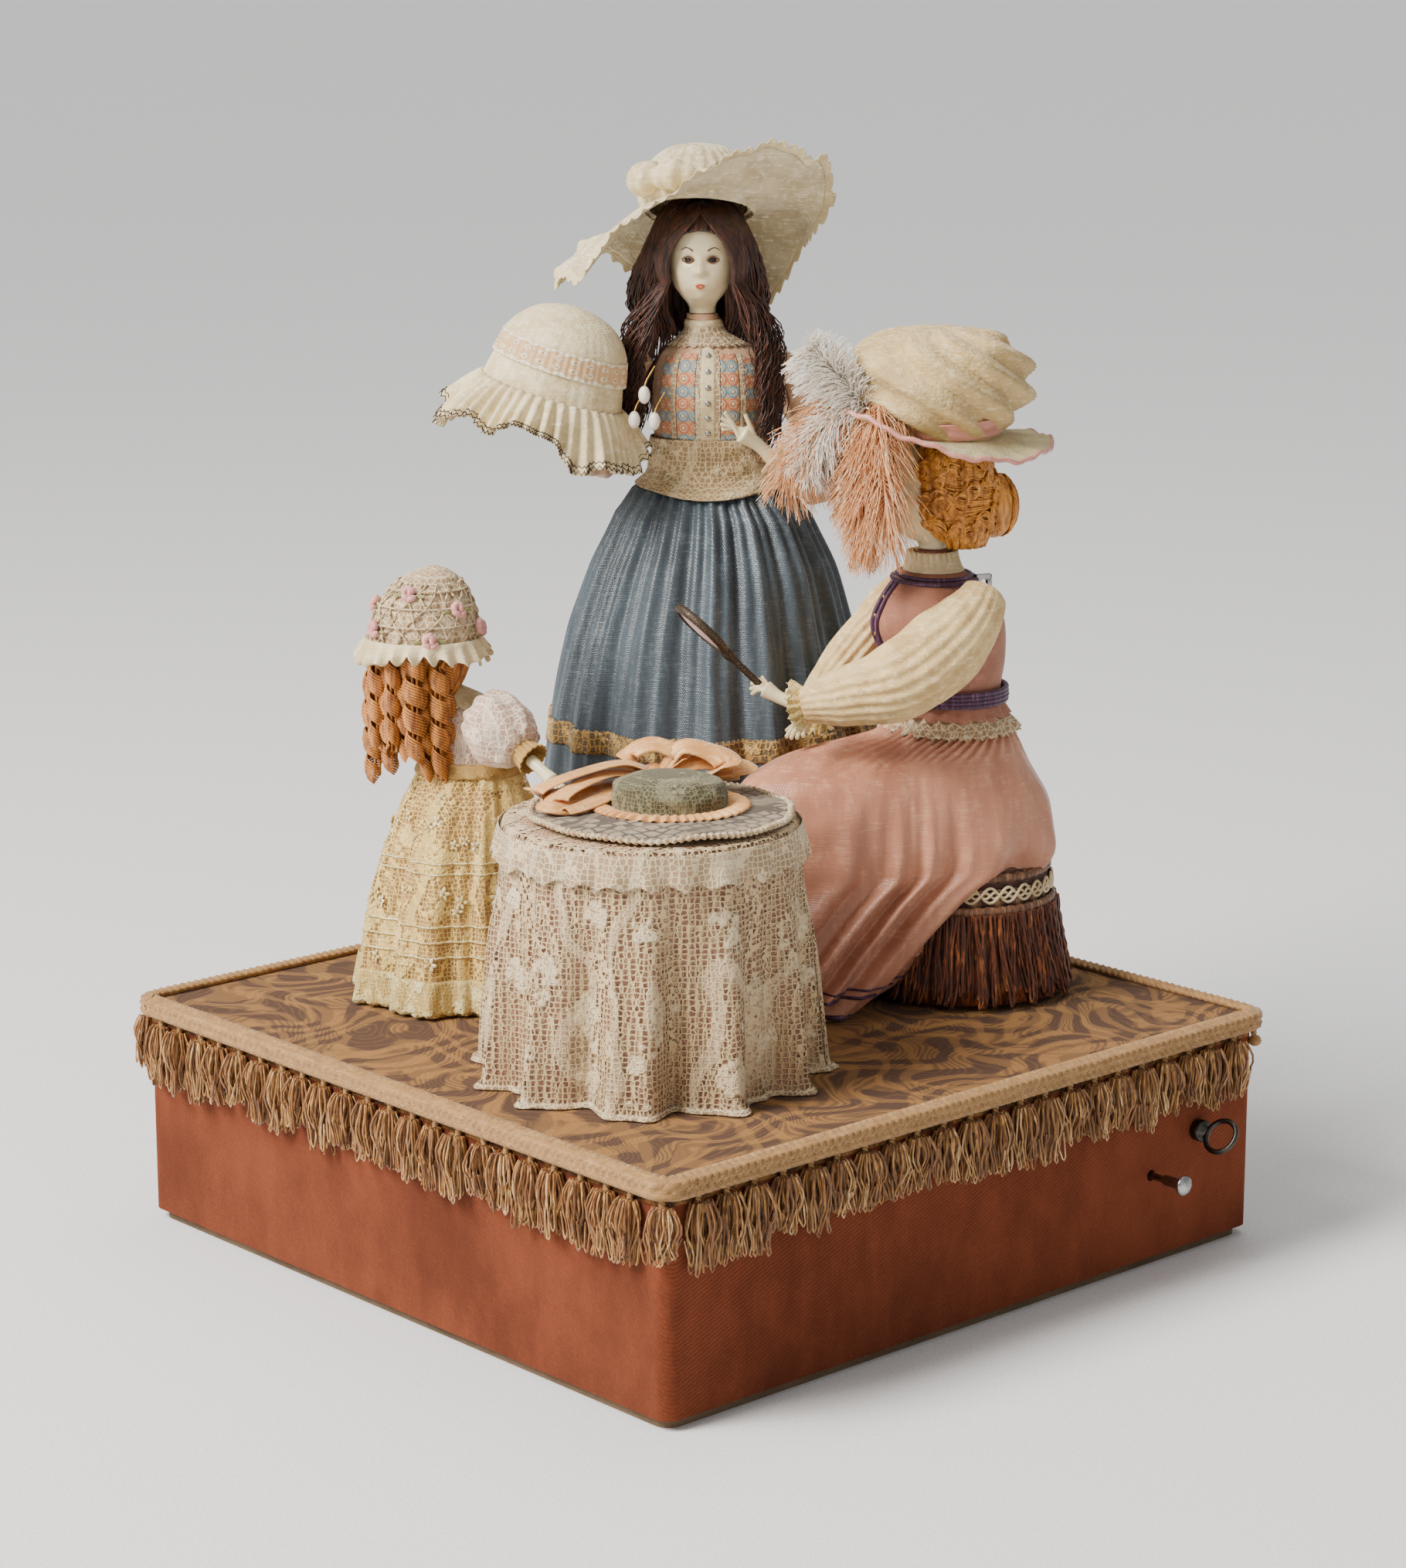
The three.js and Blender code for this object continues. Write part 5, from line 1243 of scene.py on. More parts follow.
@dataclass
class MusicCase(Dressed):
    """The velvet case with its boards, braid, tassels, winding key and stop knob."""

    half: float = 155.0
    corner: float = 6.0
    braid_low: float = 85.0
    braid_high: float = 91.9
    braid_out: float = 3.4
    braid_lap: float = 2.6
    twist: float = 3.4
    tassels: int = 23
    tassel_reach: float = 6.0
    cord_length: float = 5.0
    thread_length: float = 23.5
    threads: int = 34
    key_y: float = 120.6
    key_z: float = 50.4
    stop_y: float = 94.9
    stop_z: float = 37.3

    def rim(self, share: float, out: float) -> tuple[float, float, float, float]:
        """Return a point on the case's rounded edge, moved out, and the direction out of it.

        Args:
            share: The share of the way round the case.
            out: The distance out of its side.

        Returns:
            The place along X and Y, and the direction out along X and Y.
        """
        straight = 2 * (self.half - self.corner)
        radius = self.corner + out
        bend = radius * math.pi / 2
        side_length = straight + bend
        along = (share % 1.0) * 4 * side_length
        side = int(along // side_length) % 4
        rest = along - side * side_length
        turn = side * math.pi / 2
        flat = self.half - self.corner
        if rest < straight:
            x, y, facing = rest - flat, -self.half - out, -math.pi / 2
        else:
            facing = -math.pi / 2 + (rest - straight) / radius
            x, y = flat + radius * math.cos(facing), -flat + radius * math.sin(facing)
        cos, sin = math.cos(turn), math.sin(turn)
        return x * cos - y * sin, x * sin + y * cos, math.cos(facing + turn), math.sin(facing + turn)

    def braid(self) -> bmesh.types.BMesh:
        """Make the braid header: two slanted woven rows round the edge, turned over onto the top.

        Returns:
            The mesh.
        """
        perimeter = 8 * self.half
        outline = [(-0.2, self.braid_low), (self.braid_out, self.braid_low),
                   (self.braid_out, self.braid_high), (0.0, self.braid_high + 0.3),
                   (-self.braid_lap, self.braid_high - 1.0), (-self.braid_lap, PLATFORM + 0.1),
                   (-0.2, PLATFORM + 0.1)]
        lengths = [0.0]
        for (a, b), (c, d) in zip(outline, outline[1:] + outline[:1]):
            lengths.append(lengths[-1] + math.hypot(c - a, d - b))

        def place(u: float, v: float) -> Vector:
            """Return the braid's point at its shares along the edge and round its outline.

            Args:
                u: The share along the edge.
                v: The share round its outline.

            Returns:
                The point.
            """
            along = v * lengths[-1]
            index = max(0, min(len(outline) - 1, sum(1 for length in lengths[1:] if length <= along)))
            a, b = outline[index]
            c, d = outline[(index + 1) % len(outline)]
            t = (along - lengths[index]) / (lengths[index + 1] - lengths[index])
            out, height = lerp(a, c, t), lerp(b, d, t)
            x, y, nx, ny = self.rim(u, 0.0)
            travel = u * perimeter
            row = clamp((height - self.braid_low) / (self.braid_high - self.braid_low))
            slant = travel / self.twist + (row * 2.2 if row < 0.5 else (1 - row) * 2.2)
            plump = abs(math.sin(math.pi * (slant % 1.0))) ** 0.7
            groove = abs(math.sin(TAU * clamp(row))) ** 0.5
            lift = (1.6 * plump * (0.2 + 0.8 * groove)
                    + 0.15 * wobble(travel * 0.6, row * 9)) if out > 1 else 0.0
            rise = 1.3 * plump if out <= 1 and height > PLATFORM + 0.5 else 0.0
            return Vector((x + nx * (out + lift), y + ny * (out + lift), height + rise))
        columns = int(perimeter / self.twist) * 5
        return Maker.skin(columns, 22, place)

    def tassel(self, x: float, y: float, nx: float, ny: float, seed: int) -> list[list[Vector]]:
        """Return the thread paths of one tassel: a corded loop neck and a skirt of loose loops.

        Args:
            x: The place on the edge along X.
            y: The place on the edge along Y.
            nx: The direction out along X.
            ny: The direction out along Y.
            seed: The seed of its chances.

        Returns:
            The paths.
        """
        chance = random.Random(seed)
        top = self.braid_low + 1.0
        neck = top - self.cord_length
        lean = chance.uniform(-1.2, 1.2)
        length = self.thread_length * chance.uniform(0.8, 1.08)
        paths = []
        for twist in (0.0, math.pi):
            paths.append([self.off(x, y, nx, ny, lean * step / 8 + 0.8 * math.sin(twist + step * 1.3),
                                   1.2 + 0.6 * math.cos(twist + step * 1.3), lerp(top, neck, step / 8))
                          for step in range(9)])
        for index in range(self.threads):
            angle = index * GOLDEN_TURN + chance.uniform(-0.3, 0.3)
            reach = self.tassel_reach * math.sqrt((index + 0.5) / self.threads) * chance.uniform(0.85, 1.15)
            drop = length * chance.uniform(0.82, 1.0)
            swing = chance.uniform(-2.2, 2.2)
            path = []
            waves = chance.uniform(5.0, 9.0)
            phase = chance.uniform(0, TAU)
            for step in range(8):
                share = step / 7
                belly = 0.5 + 0.62 * math.sin(math.pi * min(1.0, share * 1.15 + 0.12)) + 0.25 * share
                curl = 0.75 * smooth(share * 2)
                side = lean + reach * belly * math.cos(angle) + swing * share * share
                side += curl * math.sin(phase + waves * share)
                out = 2.2 + max(-1.4, reach * belly * 0.85 * math.sin(angle)) + 0.9 * share
                out += curl * 0.7 * math.cos(phase + waves * share)
                path.append(self.off(x, y, nx, ny, side, out, neck + 1.4 - drop * share))
            if index % 2 == 0:
                tip, before = path[-1], path[-4]
                across = Vector((-ny, nx, 0)) * chance.choice((-1.6, 1.6))
                path.append(tip + across * 0.5 + Vector((0, 0, -0.8)))
                path.append(tip + across + Vector((0, 0, 0.6)))
                path.append(before + across)
            paths.append(path)
        return paths

    @staticmethod
    def off(x: float, y: float, nx: float, ny: float, side: float, out: float, height: float) -> Vector:
        """Return a point beside and out of a place on the edge."""
        return Vector((x - ny * side + nx * max(0.5, out), y + nx * side + ny * max(0.5, out), height))

    def fringe(self) -> tuple[list[list[Vector]], list[list[Vector]]]:
        """Return the paths of all the tassels' necks and of their loose threads.

        Returns:
            The necks' paths and the loose threads' paths.
        """
        necks, loose = [], []
        total = 4 * self.tassels
        for index in range(total):
            x, y, nx, ny = self.rim((index + 0.5) / total, 0.6)
            paths = self.tassel(x, y, nx, ny, index)
            necks.extend(paths[:2])
            bare = x > self.half - 1 and abs(y - 148) < 7
            loose.extend([] if bare else paths[2:])
        return necks, loose

    def collars(self) -> bmesh.types.BMesh:
        """Make the wrapped collar at the top of each tassel's skirt.

        Returns:
            The mesh.
        """
        parts = []
        total = 4 * self.tassels
        for index in range(total):
            x, y, nx, ny = self.rim((index + 0.5) / total, 0.6)
            chance = random.Random(index)
            lean = chance.uniform(-1.2, 1.2)
            centre = self.off(x, y, nx, ny, lean, 1.7, self.braid_low + 0.6 - self.cord_length)
            parts.append(Maker.ball(centre + Vector((0, 0, -0.6)), (2.7, 2.7, 2.3), columns=12))
        return Maker.merged(parts)

    def key(self) -> bmesh.types.BMesh:
        """Make the winding key: arbor, collar and a wire ring for the fingers.

        Returns:
            The mesh.
        """
        shank = self.turned([(96.0, 0.0), (96.0, 2.5), (154.0, 2.5), (155.4, 2.6), (155.4, 4.0),
                             (155.9, 4.3), (158.8, 4.3), (159.3, 3.8), (159.4, 2.6), (160.6, 2.4),
                             (161.4, 0.0)], self.key_y, self.key_z)
        tilt = Matrix.Rotation(0.9, 3, "X")
        middle = Vector((167.6, self.key_y, self.key_z))
        ring = Maker.skin(56, 12, lambda u, v: middle
                          + tilt @ Vector(((6.6 + 1.05 * math.cos(v * TAU)) * math.cos(u * TAU),
                                           (6.6 + 1.05 * math.cos(v * TAU)) * math.sin(u * TAU),
                                           1.05 * math.sin(v * TAU))))
        return Maker.merged([shank, ring])

    @staticmethod
    def turned(profile: Sequence[tuple[float, float]], y: float, z: float,
               columns: int = 28) -> bmesh.types.BMesh:
        """Turn a profile of places along X and radii about an axis along X.

        Args:
            profile: The places along X with the radius at each.
            y: The axis's place along Y.
            z: The axis's height.
            columns: The steps round it.

        Returns:
            The mesh.
        """
        mesh = bmesh.new()
        mesh.loops.layers.uv.new("UVMap")
        verts = [bmesh.ops.create_vert(mesh, co=(x, y, z + radius))["vert"][0] for x, radius in profile]
        edges = [mesh.edges.new(pair) for pair in zip(verts, verts[1:])]
        bmesh.ops.spin(mesh, geom=verts + edges, cent=(0, y, z), axis=(1, 0, 0), angle=TAU, steps=columns,
                       use_merge=True)
        bmesh.ops.remove_doubles(mesh, verts=mesh.verts, dist=SLIVER)
        bmesh.ops.recalc_face_normals(mesh, faces=mesh.faces)
        return mesh

    def stop(self) -> bmesh.types.BMesh:
        """Make the sliding stop: a thin wire, a thicker neck and a domed head.

        Returns:
            The mesh.
        """
        return self.turned([(132.0, 0.0), (132.0, 1.45), (137.6, 1.45), (137.7, 3.4), (139.7, 3.4),
                            (139.8, 1.45), (162.0, 1.45), (162.3, 2.1), (169.6, 2.1), (170.0, 2.5),
                            (170.6, 3.3), (171.0, 3.9), (171.8, 4.0), (172.5, 3.6), (173.1, 2.4),
                            (173.35, 1.2), (173.4, 0.0)], self.stop_y, self.stop_z)

    def build(self) -> None:
        """Make and finish the case's pieces."""
        Maker.dress(["base_case"], VELVET)
        Maker.dress(["bottom_board"], CARD)
        Maker.dress(["top_board"], BROCADE)
        Maker.dress(["bedplate", "spring_barrel", "music_cylinder", "camshaft", "child_head_cam",
                     "standing_head_cam", "seated_head_cam", "standing_arm_cam", "seated_arm_cam"], BRASS)
        Maker.dress(["music_comb", "governor", "child_head_lever", "standing_head_lever",
                     "seated_head_lever", "standing_arm_lever", "seated_arm_lever", "child_head_rod",
                     "standing_head_rod", "seated_head_rod", "standing_arm_wire", "seated_arm_wire"],
                    STEEL)
        self.put("braid_header", self.braid(), BRAID, "gold_braid", "tassel_trim")
        necks, loose = self.fringe()
        cords = Maker.merged([Maker.threads(necks, 0.75), self.collars()])
        self.put("tassel_cords", cords, BRAID, "gold_braid")
        dark = [path for index, path in enumerate(loose) if index % 4]
        pale = [path for index, path in enumerate(loose) if index % 4 == 0]
        self.put("tassel_threads", Maker.threads(dark, 0.5, 0.85), TASSEL, "gold_braid")
        self.put("tassel_pale_threads", Maker.threads(pale, 0.36, 0.8), PALE_THREAD, "gold_braid")
        self.put("key_ring", self.key(), BLUED, "dark_steel", "winding_key", body="key")
        self.put("stop_pin", self.stop(), STEEL, "steel", "stop_knob", body="stop")


@dataclass
class HatTable(Dressed):
    """The round table under its lace cloth, with a hat and its bow on show."""

    stand: ClassVar[Stand] = TABLE

    height: float = 96.6
    top_radius: float = 54.0
    hem_radius: float = 60.0
    folds: int = 11
    fold_depth: float = 4.6
    brim_radius: float = 48.0
    hat_low: float = 97.6
    crown_x: float = 7.0
    crown_y: float = 2.0

    def cloth_point(self, u: float, v: float) -> Vector:
        """Return a point of the cloth from the middle of the top out and down to the hem.

        Args:
            u: The share round.
            v: The share from the middle to the hem.

        Returns:
            The point.
        """
        angle = u * TAU
        top_share = 0.32
        if v < top_share:
            reach = self.top_radius * v / top_share
            drop = 0.6 * smooth((reach - 46) / 8) + 0.12 * wobble(reach * 0.2 * math.cos(angle),
                                                                 reach * 0.2 * math.sin(angle))
            return Vector((reach * math.cos(angle), reach * math.sin(angle), self.height - drop))
        share = (v - top_share) / (1 - top_share)
        deep = smooth(share * 1.6) * self.fold_depth * (0.5 + 0.7 * share)
        bend = 0.5 * math.sin(3 * angle + 1.0) + 0.35 * math.sin(5 * angle)
        fold = math.sin(self.folds * angle + bend + 0.5 * share)
        fold = math.copysign(abs(fold) ** 0.8, fold) + 0.35 * math.sin(2.3 * self.folds * angle + 2 * bend)
        pooled = smooth((share - 0.93) / 0.07)
        reach = lerp(self.top_radius + 0.8, self.hem_radius, share ** 1.2) + deep * fold + pooled * 1.6
        scallop = 0.9 * abs(math.sin(28 * angle)) * smooth((share - 0.97) / 0.03)
        height = lerp(self.height - 0.6, 0.6, min(1.0, share * 1.03)) + scallop
        reach += 0.5 * wobble(math.cos(angle) * 3, math.sin(angle) * 3, height * 0.05)
        return Vector((reach * math.cos(angle), reach * math.sin(angle), height))

    def hem(self) -> bmesh.types.BMesh:
        """Make the scalloped lace edge along the hem.

        Returns:
            The mesh.
        """
        def place(u: float, v: float) -> Vector:
            """Return the hem's point at its shares round and across.

            Args:
                u: The share round.
                v: The share across.

            Returns:
                The point.
            """
            point = self.cloth_point(u, lerp(0.968, 0.998, v))
            out = Vector((point.x, point.y, 0)).normalized()
            bump = 0.5 + 0.9 * abs(math.sin(28 * u * TAU)) + 0.5 * math.sin(v * math.pi)
            return point + out * bump + Vector((0, 0, -0.2 * v))
        return Maker.skin(420, 6, place)

    def flounce(self) -> bmesh.types.BMesh:
        """Make the second, shorter fall of lace from the edge of the top.

        Returns:
            The mesh.
        """
        def place(u: float, v: float) -> Vector:
            """Return the flounce's point at its shares round and down.

            Args:
                u: The share round.
                v: The share down.

            Returns:
                The point.
            """
            angle = u * TAU
            under = self.cloth_point(u, lerp(0.325, 0.42, v))
            out = Vector((math.cos(angle), math.sin(angle), 0))
            ruffle = 1.1 + v * (1.3 + 1.3 * math.sin(24 * angle + 1.5 * math.sin(4 * angle)))
            return under + out * ruffle + Vector((0, 0, 2.6 * abs(math.sin(17 * angle)) * v))
        return Maker.skin(360, 14, place)

    def brim(self) -> bmesh.types.BMesh:
        """Make the hat's brim: a gauze disc that dips and waves, closed underneath.

        Returns:
            The mesh.
        """
        def place(u: float, v: float) -> Vector:
            """Return the brim's point at its shares round and outwards.

            Args:
                u: The share round.
                v: The share outwards.

            Returns:
                The point.
            """
            angle = u * TAU
            under = v > 0.5
            share = 2 * v if not under else 2 - 2 * v
            reach = lerp(19.0, self.brim_radius, share)
            wave = 1.0 * share * (0.5 + 0.5 * math.sin(5 * angle + 0.8)) + 0.7 * share * (
                0.5 + 0.5 * math.sin(9 * angle))
            height = self.hat_low + 1.2 + wave + 1.6 * (1 - share) + 0.25 * wobble(angle * 4, reach * 0.3)
            return Vector((4 + reach * math.cos(angle), reach * math.sin(angle),
                           height - (0.9 if under else 0.0)))
        return Maker.skin(140, 40, place)

    def brim_edge(self) -> bmesh.types.BMesh:
        """Make the narrow braid sewn round the brim's edge.

        Returns:
            The mesh.
        """
        def place(u: float, v: float) -> Vector:
            """Return the edge's point at its shares round the brim and round the roll.

            Args:
                u: The share round the brim.
                v: The share round the roll.

            Returns:
                The point.
            """
            angle, across = u * TAU, v * TAU
            wave = 0.5 + 0.5 * math.sin(5 * angle + 0.8) + 0.7 * (0.5 + 0.5 * math.sin(9 * angle))
            plait = 0.35 * math.sin(110 * angle)
            reach = self.brim_radius + (1.3 + plait) * math.cos(across)
            return Vector((4 + reach * math.cos(angle), reach * math.sin(angle),
                           self.hat_low + 0.8 + wave + (1.0 + plait) * math.sin(across)))
        return Maker.skin(660, 8, place)

    def crown(self) -> bmesh.types.BMesh:
        """Make the soft mesh crown.

        Returns:
            The mesh.
        """
        rows = ((0.5, 21.5, 19.0), (4, 21.5, 18.5), (7.5, 21, 18), (10.5, 19, 16), (12.6, 14, 12),
                (13.4, 8, 7), (13.6, 0.01, 0.01))
        def place(u: float, v: float) -> Vector:
            """Return the crown's point at its shares round and up.

            Args:
                u: The share round.
                v: The share up.

            Returns:
                The point.
            """
            z, wide, deep = spline(rows, v)
            angle = u * TAU
            crease = 2.2 * wobble(3 * math.cos(angle), 3 * math.sin(angle), z * 0.25) * (1 - abs(2 * v - 1))
            gather = 0.35 * math.sin(34 * angle) * smooth(1 - v * 1.6)
            reach = 1 + (crease + gather) / max(wide, 6)
            return Vector((self.crown_x + wide * reach * math.cos(angle),
                           self.crown_y + deep * reach * math.sin(angle), self.hat_low + 1.5 + z))
        return Maker.skin(120, 40, place)

    def frill(self) -> bmesh.types.BMesh:
        """Make the gathered satin frill round the foot of the crown.

        Returns:
            The mesh.
        """
        def place(u: float, v: float) -> Vector:
            """Return the frill's point at its shares round and across.

            Args:
                u: The share round.
                v: The share across.

            Returns:
                The point.
            """
            angle = u * TAU
            pleat = math.sin(46 * angle + 2 * math.sin(5 * angle))
            reach = lerp(20.6, 29.5, v) + 1.1 * pleat * v
            height = self.hat_low + 2.6 + 1.6 * math.sin(v * math.pi) + 0.9 * pleat * v
            return Vector((self.crown_x + reach * math.cos(angle),
                           self.crown_y + reach * 0.92 * math.sin(angle), height))
        return Maker.skin(400, 8, place)

    def loop(self, places: Sequence[Point], width: float, turn: float) -> bmesh.types.BMesh:
        """Make one satin ribbon loop along a path, its band leaning by a turn.

        Args:
            places: The places that the ribbon passes.
            width: Its width.
            turn: How far it twists.

        Returns:
            The mesh.
        """
        def place(u: float, v: float) -> Vector:
            """Return the loop's point at its shares across the ribbon and along it.

            Args:
                u: The share across the ribbon.
                v: The share along it.

            Returns:
                The point.
            """
            centre = Vector(spline(places, v))
            ahead = (Vector(spline(places, min(1, v + 0.02)))
                     - Vector(spline(places, max(0, v - 0.02)))).normalized()
            flat = Vector((0, 0, 1)).cross(ahead)
            flat = flat.normalized() if flat.length > 0.1 else Vector((1, 0, 0))
            lean = flat * math.cos(turn) + ahead.cross(flat) * math.sin(turn)
            pinch = 0.35 + 0.65 * math.sin(math.pi * clamp(v)) ** 0.5
            cup = ahead.cross(lean) * (1.3 * math.cos((u - 0.5) * 4.5) + 0.25 * math.sin(u * 25))
            return centre + lean * ((u - 0.5) * width * pinch) + cup
        return Maker.skin(14, 60, place, welded=False)

    def build(self) -> None:
        """Make and finish the table's pieces."""
        Maker.dress(["table_stand"], CARD)
        cloth = self.put("lace_cloth", Maker.skin(264, 72, self.cloth_point), TABLE_LACE, "ivory_lace",
                         "table_lace", wall=0.6)
        hem = self.put("cloth_hem_lace", self.hem(), CROCHET, "ivory_lace", wall=0.4)
        inner = Maker.skin(132, 30, lambda u, v: self.cloth_point(u, v * 0.99) - Vector((
            1.3 * math.cos(u * TAU), 1.3 * math.sin(u * TAU), 0.25)))
        self.put("cloth_lining", inner, LINING, "ivory_lace", wall=0.4)
        flounce = self.put("lace_flounce", self.flounce(), CROCHET, "ivory_lace", wall=0.4)
        Maker.sheet(flounce, 0.36, Held.GATHERED, ["lace_cloth"])
        Maker.sheet(cloth, 0.41, Held.DRAPED, ["table_stand"], [hem])
        self.put("table_hat_brim", self.brim(), GREY_GAUZE, "hat_gauze", "display_hat")
        self.put("table_hat_edge", self.brim_edge(), CROCHET, "hat_gauze")
        self.put("table_hat_crown", self.crown(), MESH_GOLD, "hat_gauze")
        self.put("table_hat_frill", self.frill(), SATIN, "peach_satin", wall=0.4)
        loops = [self.loop(((2, 22, 107), (-12, 18, 112), (-30, 6, 110), (-42, -3, 106), (-34, 3, 103),
                            (-12, 17, 104), (0, 22, 106)), 15, 0.3),
                 self.loop(((1, 21, 106), (-16, 14, 109), (-30, -2, 107), (-35, -12, 104), (-26, -6, 102),
                            (-8, 14, 104)), 13, 0.25),
                 self.loop(((3, 21, 107), (16, 26, 112), (30, 29, 110), (33, 26, 107), (20, 24, 106),
                            (4, 21, 105)), 11, 0.4),
                 self.loop(((-4, 22, 106), (-9, 23, 115), (0, 25, 119), (10, 25, 114), (2, 23, 107)),
                           11, 0.3),
                 self.loop(((2, 22, 107), (10, 24, 118), (22, 24, 116), (28, 20, 112), (20, 21, 107),
                            (3, 22, 105)), 11, 0.4),
                 self.loop(((0, 20, 106), (-14, 10, 104), (-24, -6, 102.5), (-30, -16, 101.8)), 13, 0.1)]
        knot = Maker.ball((0, 23, 108), (4.2, 3.6, 3.8), columns=16)
        bow = self.put("satin_bow", Maker.merged([*loops]), SATIN, "peach_satin", "hat_bow", wall=0.5)
        Maker.sheet(bow, 0.3, Held.GATHERED, ["table_hat_brim"])
        self.put("bow_knot", knot, SATIN, "peach_satin")


def gathers(angle: float, count: int, wander: float = 1.0) -> float:
    """Return the depth of a skirt's gathers from about -1 to 1 at an angle.

    Args:
        angle: The direction round, in radians.
        count: The number of gathers.
        wander: How far they stray from even spacing.

    Returns:
        The depth.
    """
    bend = wander * (0.6 * math.sin(2 * angle + 1.3) + 0.5 * math.sin(5 * angle))
    wave = math.sin(count * angle + bend)
    return math.copysign(abs(wave) ** 0.75, wave)


@dataclass(frozen=True)
class DollHead:
    """A doll's head on its neck, with a painted face that looks along -Y before its turn."""

    name: str
    height: float
    neck: Point
    body: str
    stand: Stand
    turn: float = 0.0

    PROFILE = Form((
        (0.0, 0.0, 0.0, 0.12, 0.12), (0.05, 0.0, -0.01, 0.12, 0.12), (0.1, 0.0, -0.07, 0.14, 0.16),
        (0.15, 0.0, -0.105, 0.18, 0.205), (0.24, 0.0, -0.09, 0.245, 0.285), (0.4, 0.0, -0.07, 0.3, 0.33),
        (0.57, 0.0, -0.055, 0.32, 0.34), (0.73, 0.0, -0.045, 0.3, 0.33), (0.88, 0.0, -0.033, 0.22, 0.25),
        (0.96, 0.0, -0.025, 0.12, 0.14), (0.985, 0.0, -0.02, 0.01, 0.01),
    ))

    def relief(self, angle: float, up: float) -> float:
        """Return the face's relief as a share of the head's height.

        Args:
            angle: The direction round the head.
            up: The share of the head's height.

        Returns:
            The lift as a share of the head's height.
        """
        side = math.atan2(math.sin(angle + math.pi / 2), math.cos(angle + math.pi / 2))

        def bump(middle: float, level: float, wide: float, tall: float) -> float:
            """Return a smooth mound on both sides of the face."""
            return math.exp(-((abs(side) - middle) / wide) ** 2 - ((up - level) / tall) ** 2)
        nose = 0.042 * bump(0.0, 0.39, 0.12, 0.035) + 0.022 * bump(0.0, 0.46, 0.1, 0.07)
        wings = 0.014 * bump(0.16, 0.385, 0.08, 0.025)
        lips = 0.016 * bump(0.0, 0.285, 0.2, 0.022) + 0.018 * bump(0.0, 0.25, 0.16, 0.02)
        chin = 0.022 * bump(0.0, 0.17, 0.28, 0.045)
        cheeks = 0.012 * bump(0.55, 0.34, 0.3, 0.09)
        sockets = -0.024 * bump(0.36, 0.5, 0.2, 0.05)
        brow = 0.01 * bump(0.3, 0.57, 0.35, 0.04)
        return nose + wings + lips + chin + cheeks + sockets + brow

    def place(self) -> Matrix:
        """Return the matrix from shares of the head's height to the stand's millimetres."""
        turned = Matrix.Rotation(self.turn, 4, "Z")
        return Matrix.Translation(Vector(self.neck)) @ turned @ Matrix.Scale(self.height, 4)

    def on_face(self, side: float, up: float, proud: float = 0.0) -> Vector:
        """Return a point on the face by its side angle, height share and lift, in shares."""
        angle = side - math.pi / 2
        return self.PROFILE.point(angle, up, self.relief(angle, up) + proud)

    def arc(self, sides: Sequence[float], ups: Sequence[float], proud: float) -> list[Vector]:
        """Return a smooth painted line over the face.

        Args:
            sides: The angles beside the nose.
            ups: The shares of the head's height.
            proud: How far the line is lifted off the face.

        Returns:
            The path.
        """
        rows = list(zip(sides, ups))
        places = [spline(rows, step / 10) for step in range(11)]
        return [self.on_face(side, up, proud) for side, up in places]

    def part(self, name: str, mesh: bmesh.types.BMesh, finish: Finish) -> None:
        """Place one part of the head."""
        mesh.transform(self.place())
        Maker.replace(Maker.keep(f"{self.name}_{name}", mesh, self.stand, finish, self.body), "porcelain")

    def build(self, node: str) -> None:
        """Make the head, its eyes, brows and lips.

        Args:
            node: The node that the skull stands for.
        """
        skull = self.PROFILE.shell(96, 90, self.relief)
        skull.transform(self.place())
        made = Maker.keep(f"{self.name}_skull", skull, self.stand, SKIN, self.body)
        Maker.replace(made, "porcelain", node)
        whites, irises, lids, brows = [], [], [], []
        for sign in (-1, 1):
            middle = sign * 0.37
            turned = Matrix.Rotation(middle, 4, "Z")
            whites.append(Maker.ball(self.on_face(middle, 0.5, -0.012), (0.052, 0.028, 0.03), turned, 16))
            irises.append(Maker.ball(self.on_face(middle * 0.98, 0.5, 0.004), (0.036, 0.02, 0.034),
                                     turned, 14))
            sides = [sign * side for side in (0.2, 0.3, 0.42, 0.55)]
            lids.append(self.arc(sides, (0.5, 0.522, 0.52, 0.502), 0.014))
            lids.append(self.arc(sides, (0.497, 0.474, 0.472, 0.492), 0.008))
            brows.append(self.arc(sides, (0.575, 0.597, 0.602, 0.578), 0.003))
        self.part("eye_whites", Maker.merged(whites), EYE_WHITE_IN_PAINTED_SHADE)
        self.part("irises", Maker.merged(irises), EYE)
        self.part("eyelids", Maker.threads(lids, 0.011, 0.5, 1), BROW)
        self.part("brows", Maker.threads(brows, 0.008, 0.35, 1), BROW)
        upper = [self.arc((-0.14, -0.05, 0.0, 0.05, 0.14), (0.267, 0.281, 0.276, 0.281, 0.267), 0.002)]
        lower = [self.arc((-0.12, -0.04, 0.04, 0.12), (0.264, 0.252, 0.252, 0.264), 0.002)]
        lips = Maker.merged([Maker.threads(upper, 0.0105, 0.5, 2), Maker.threads(lower, 0.012, 0.6, 2)])
        self.part("lips", lips, LIP)


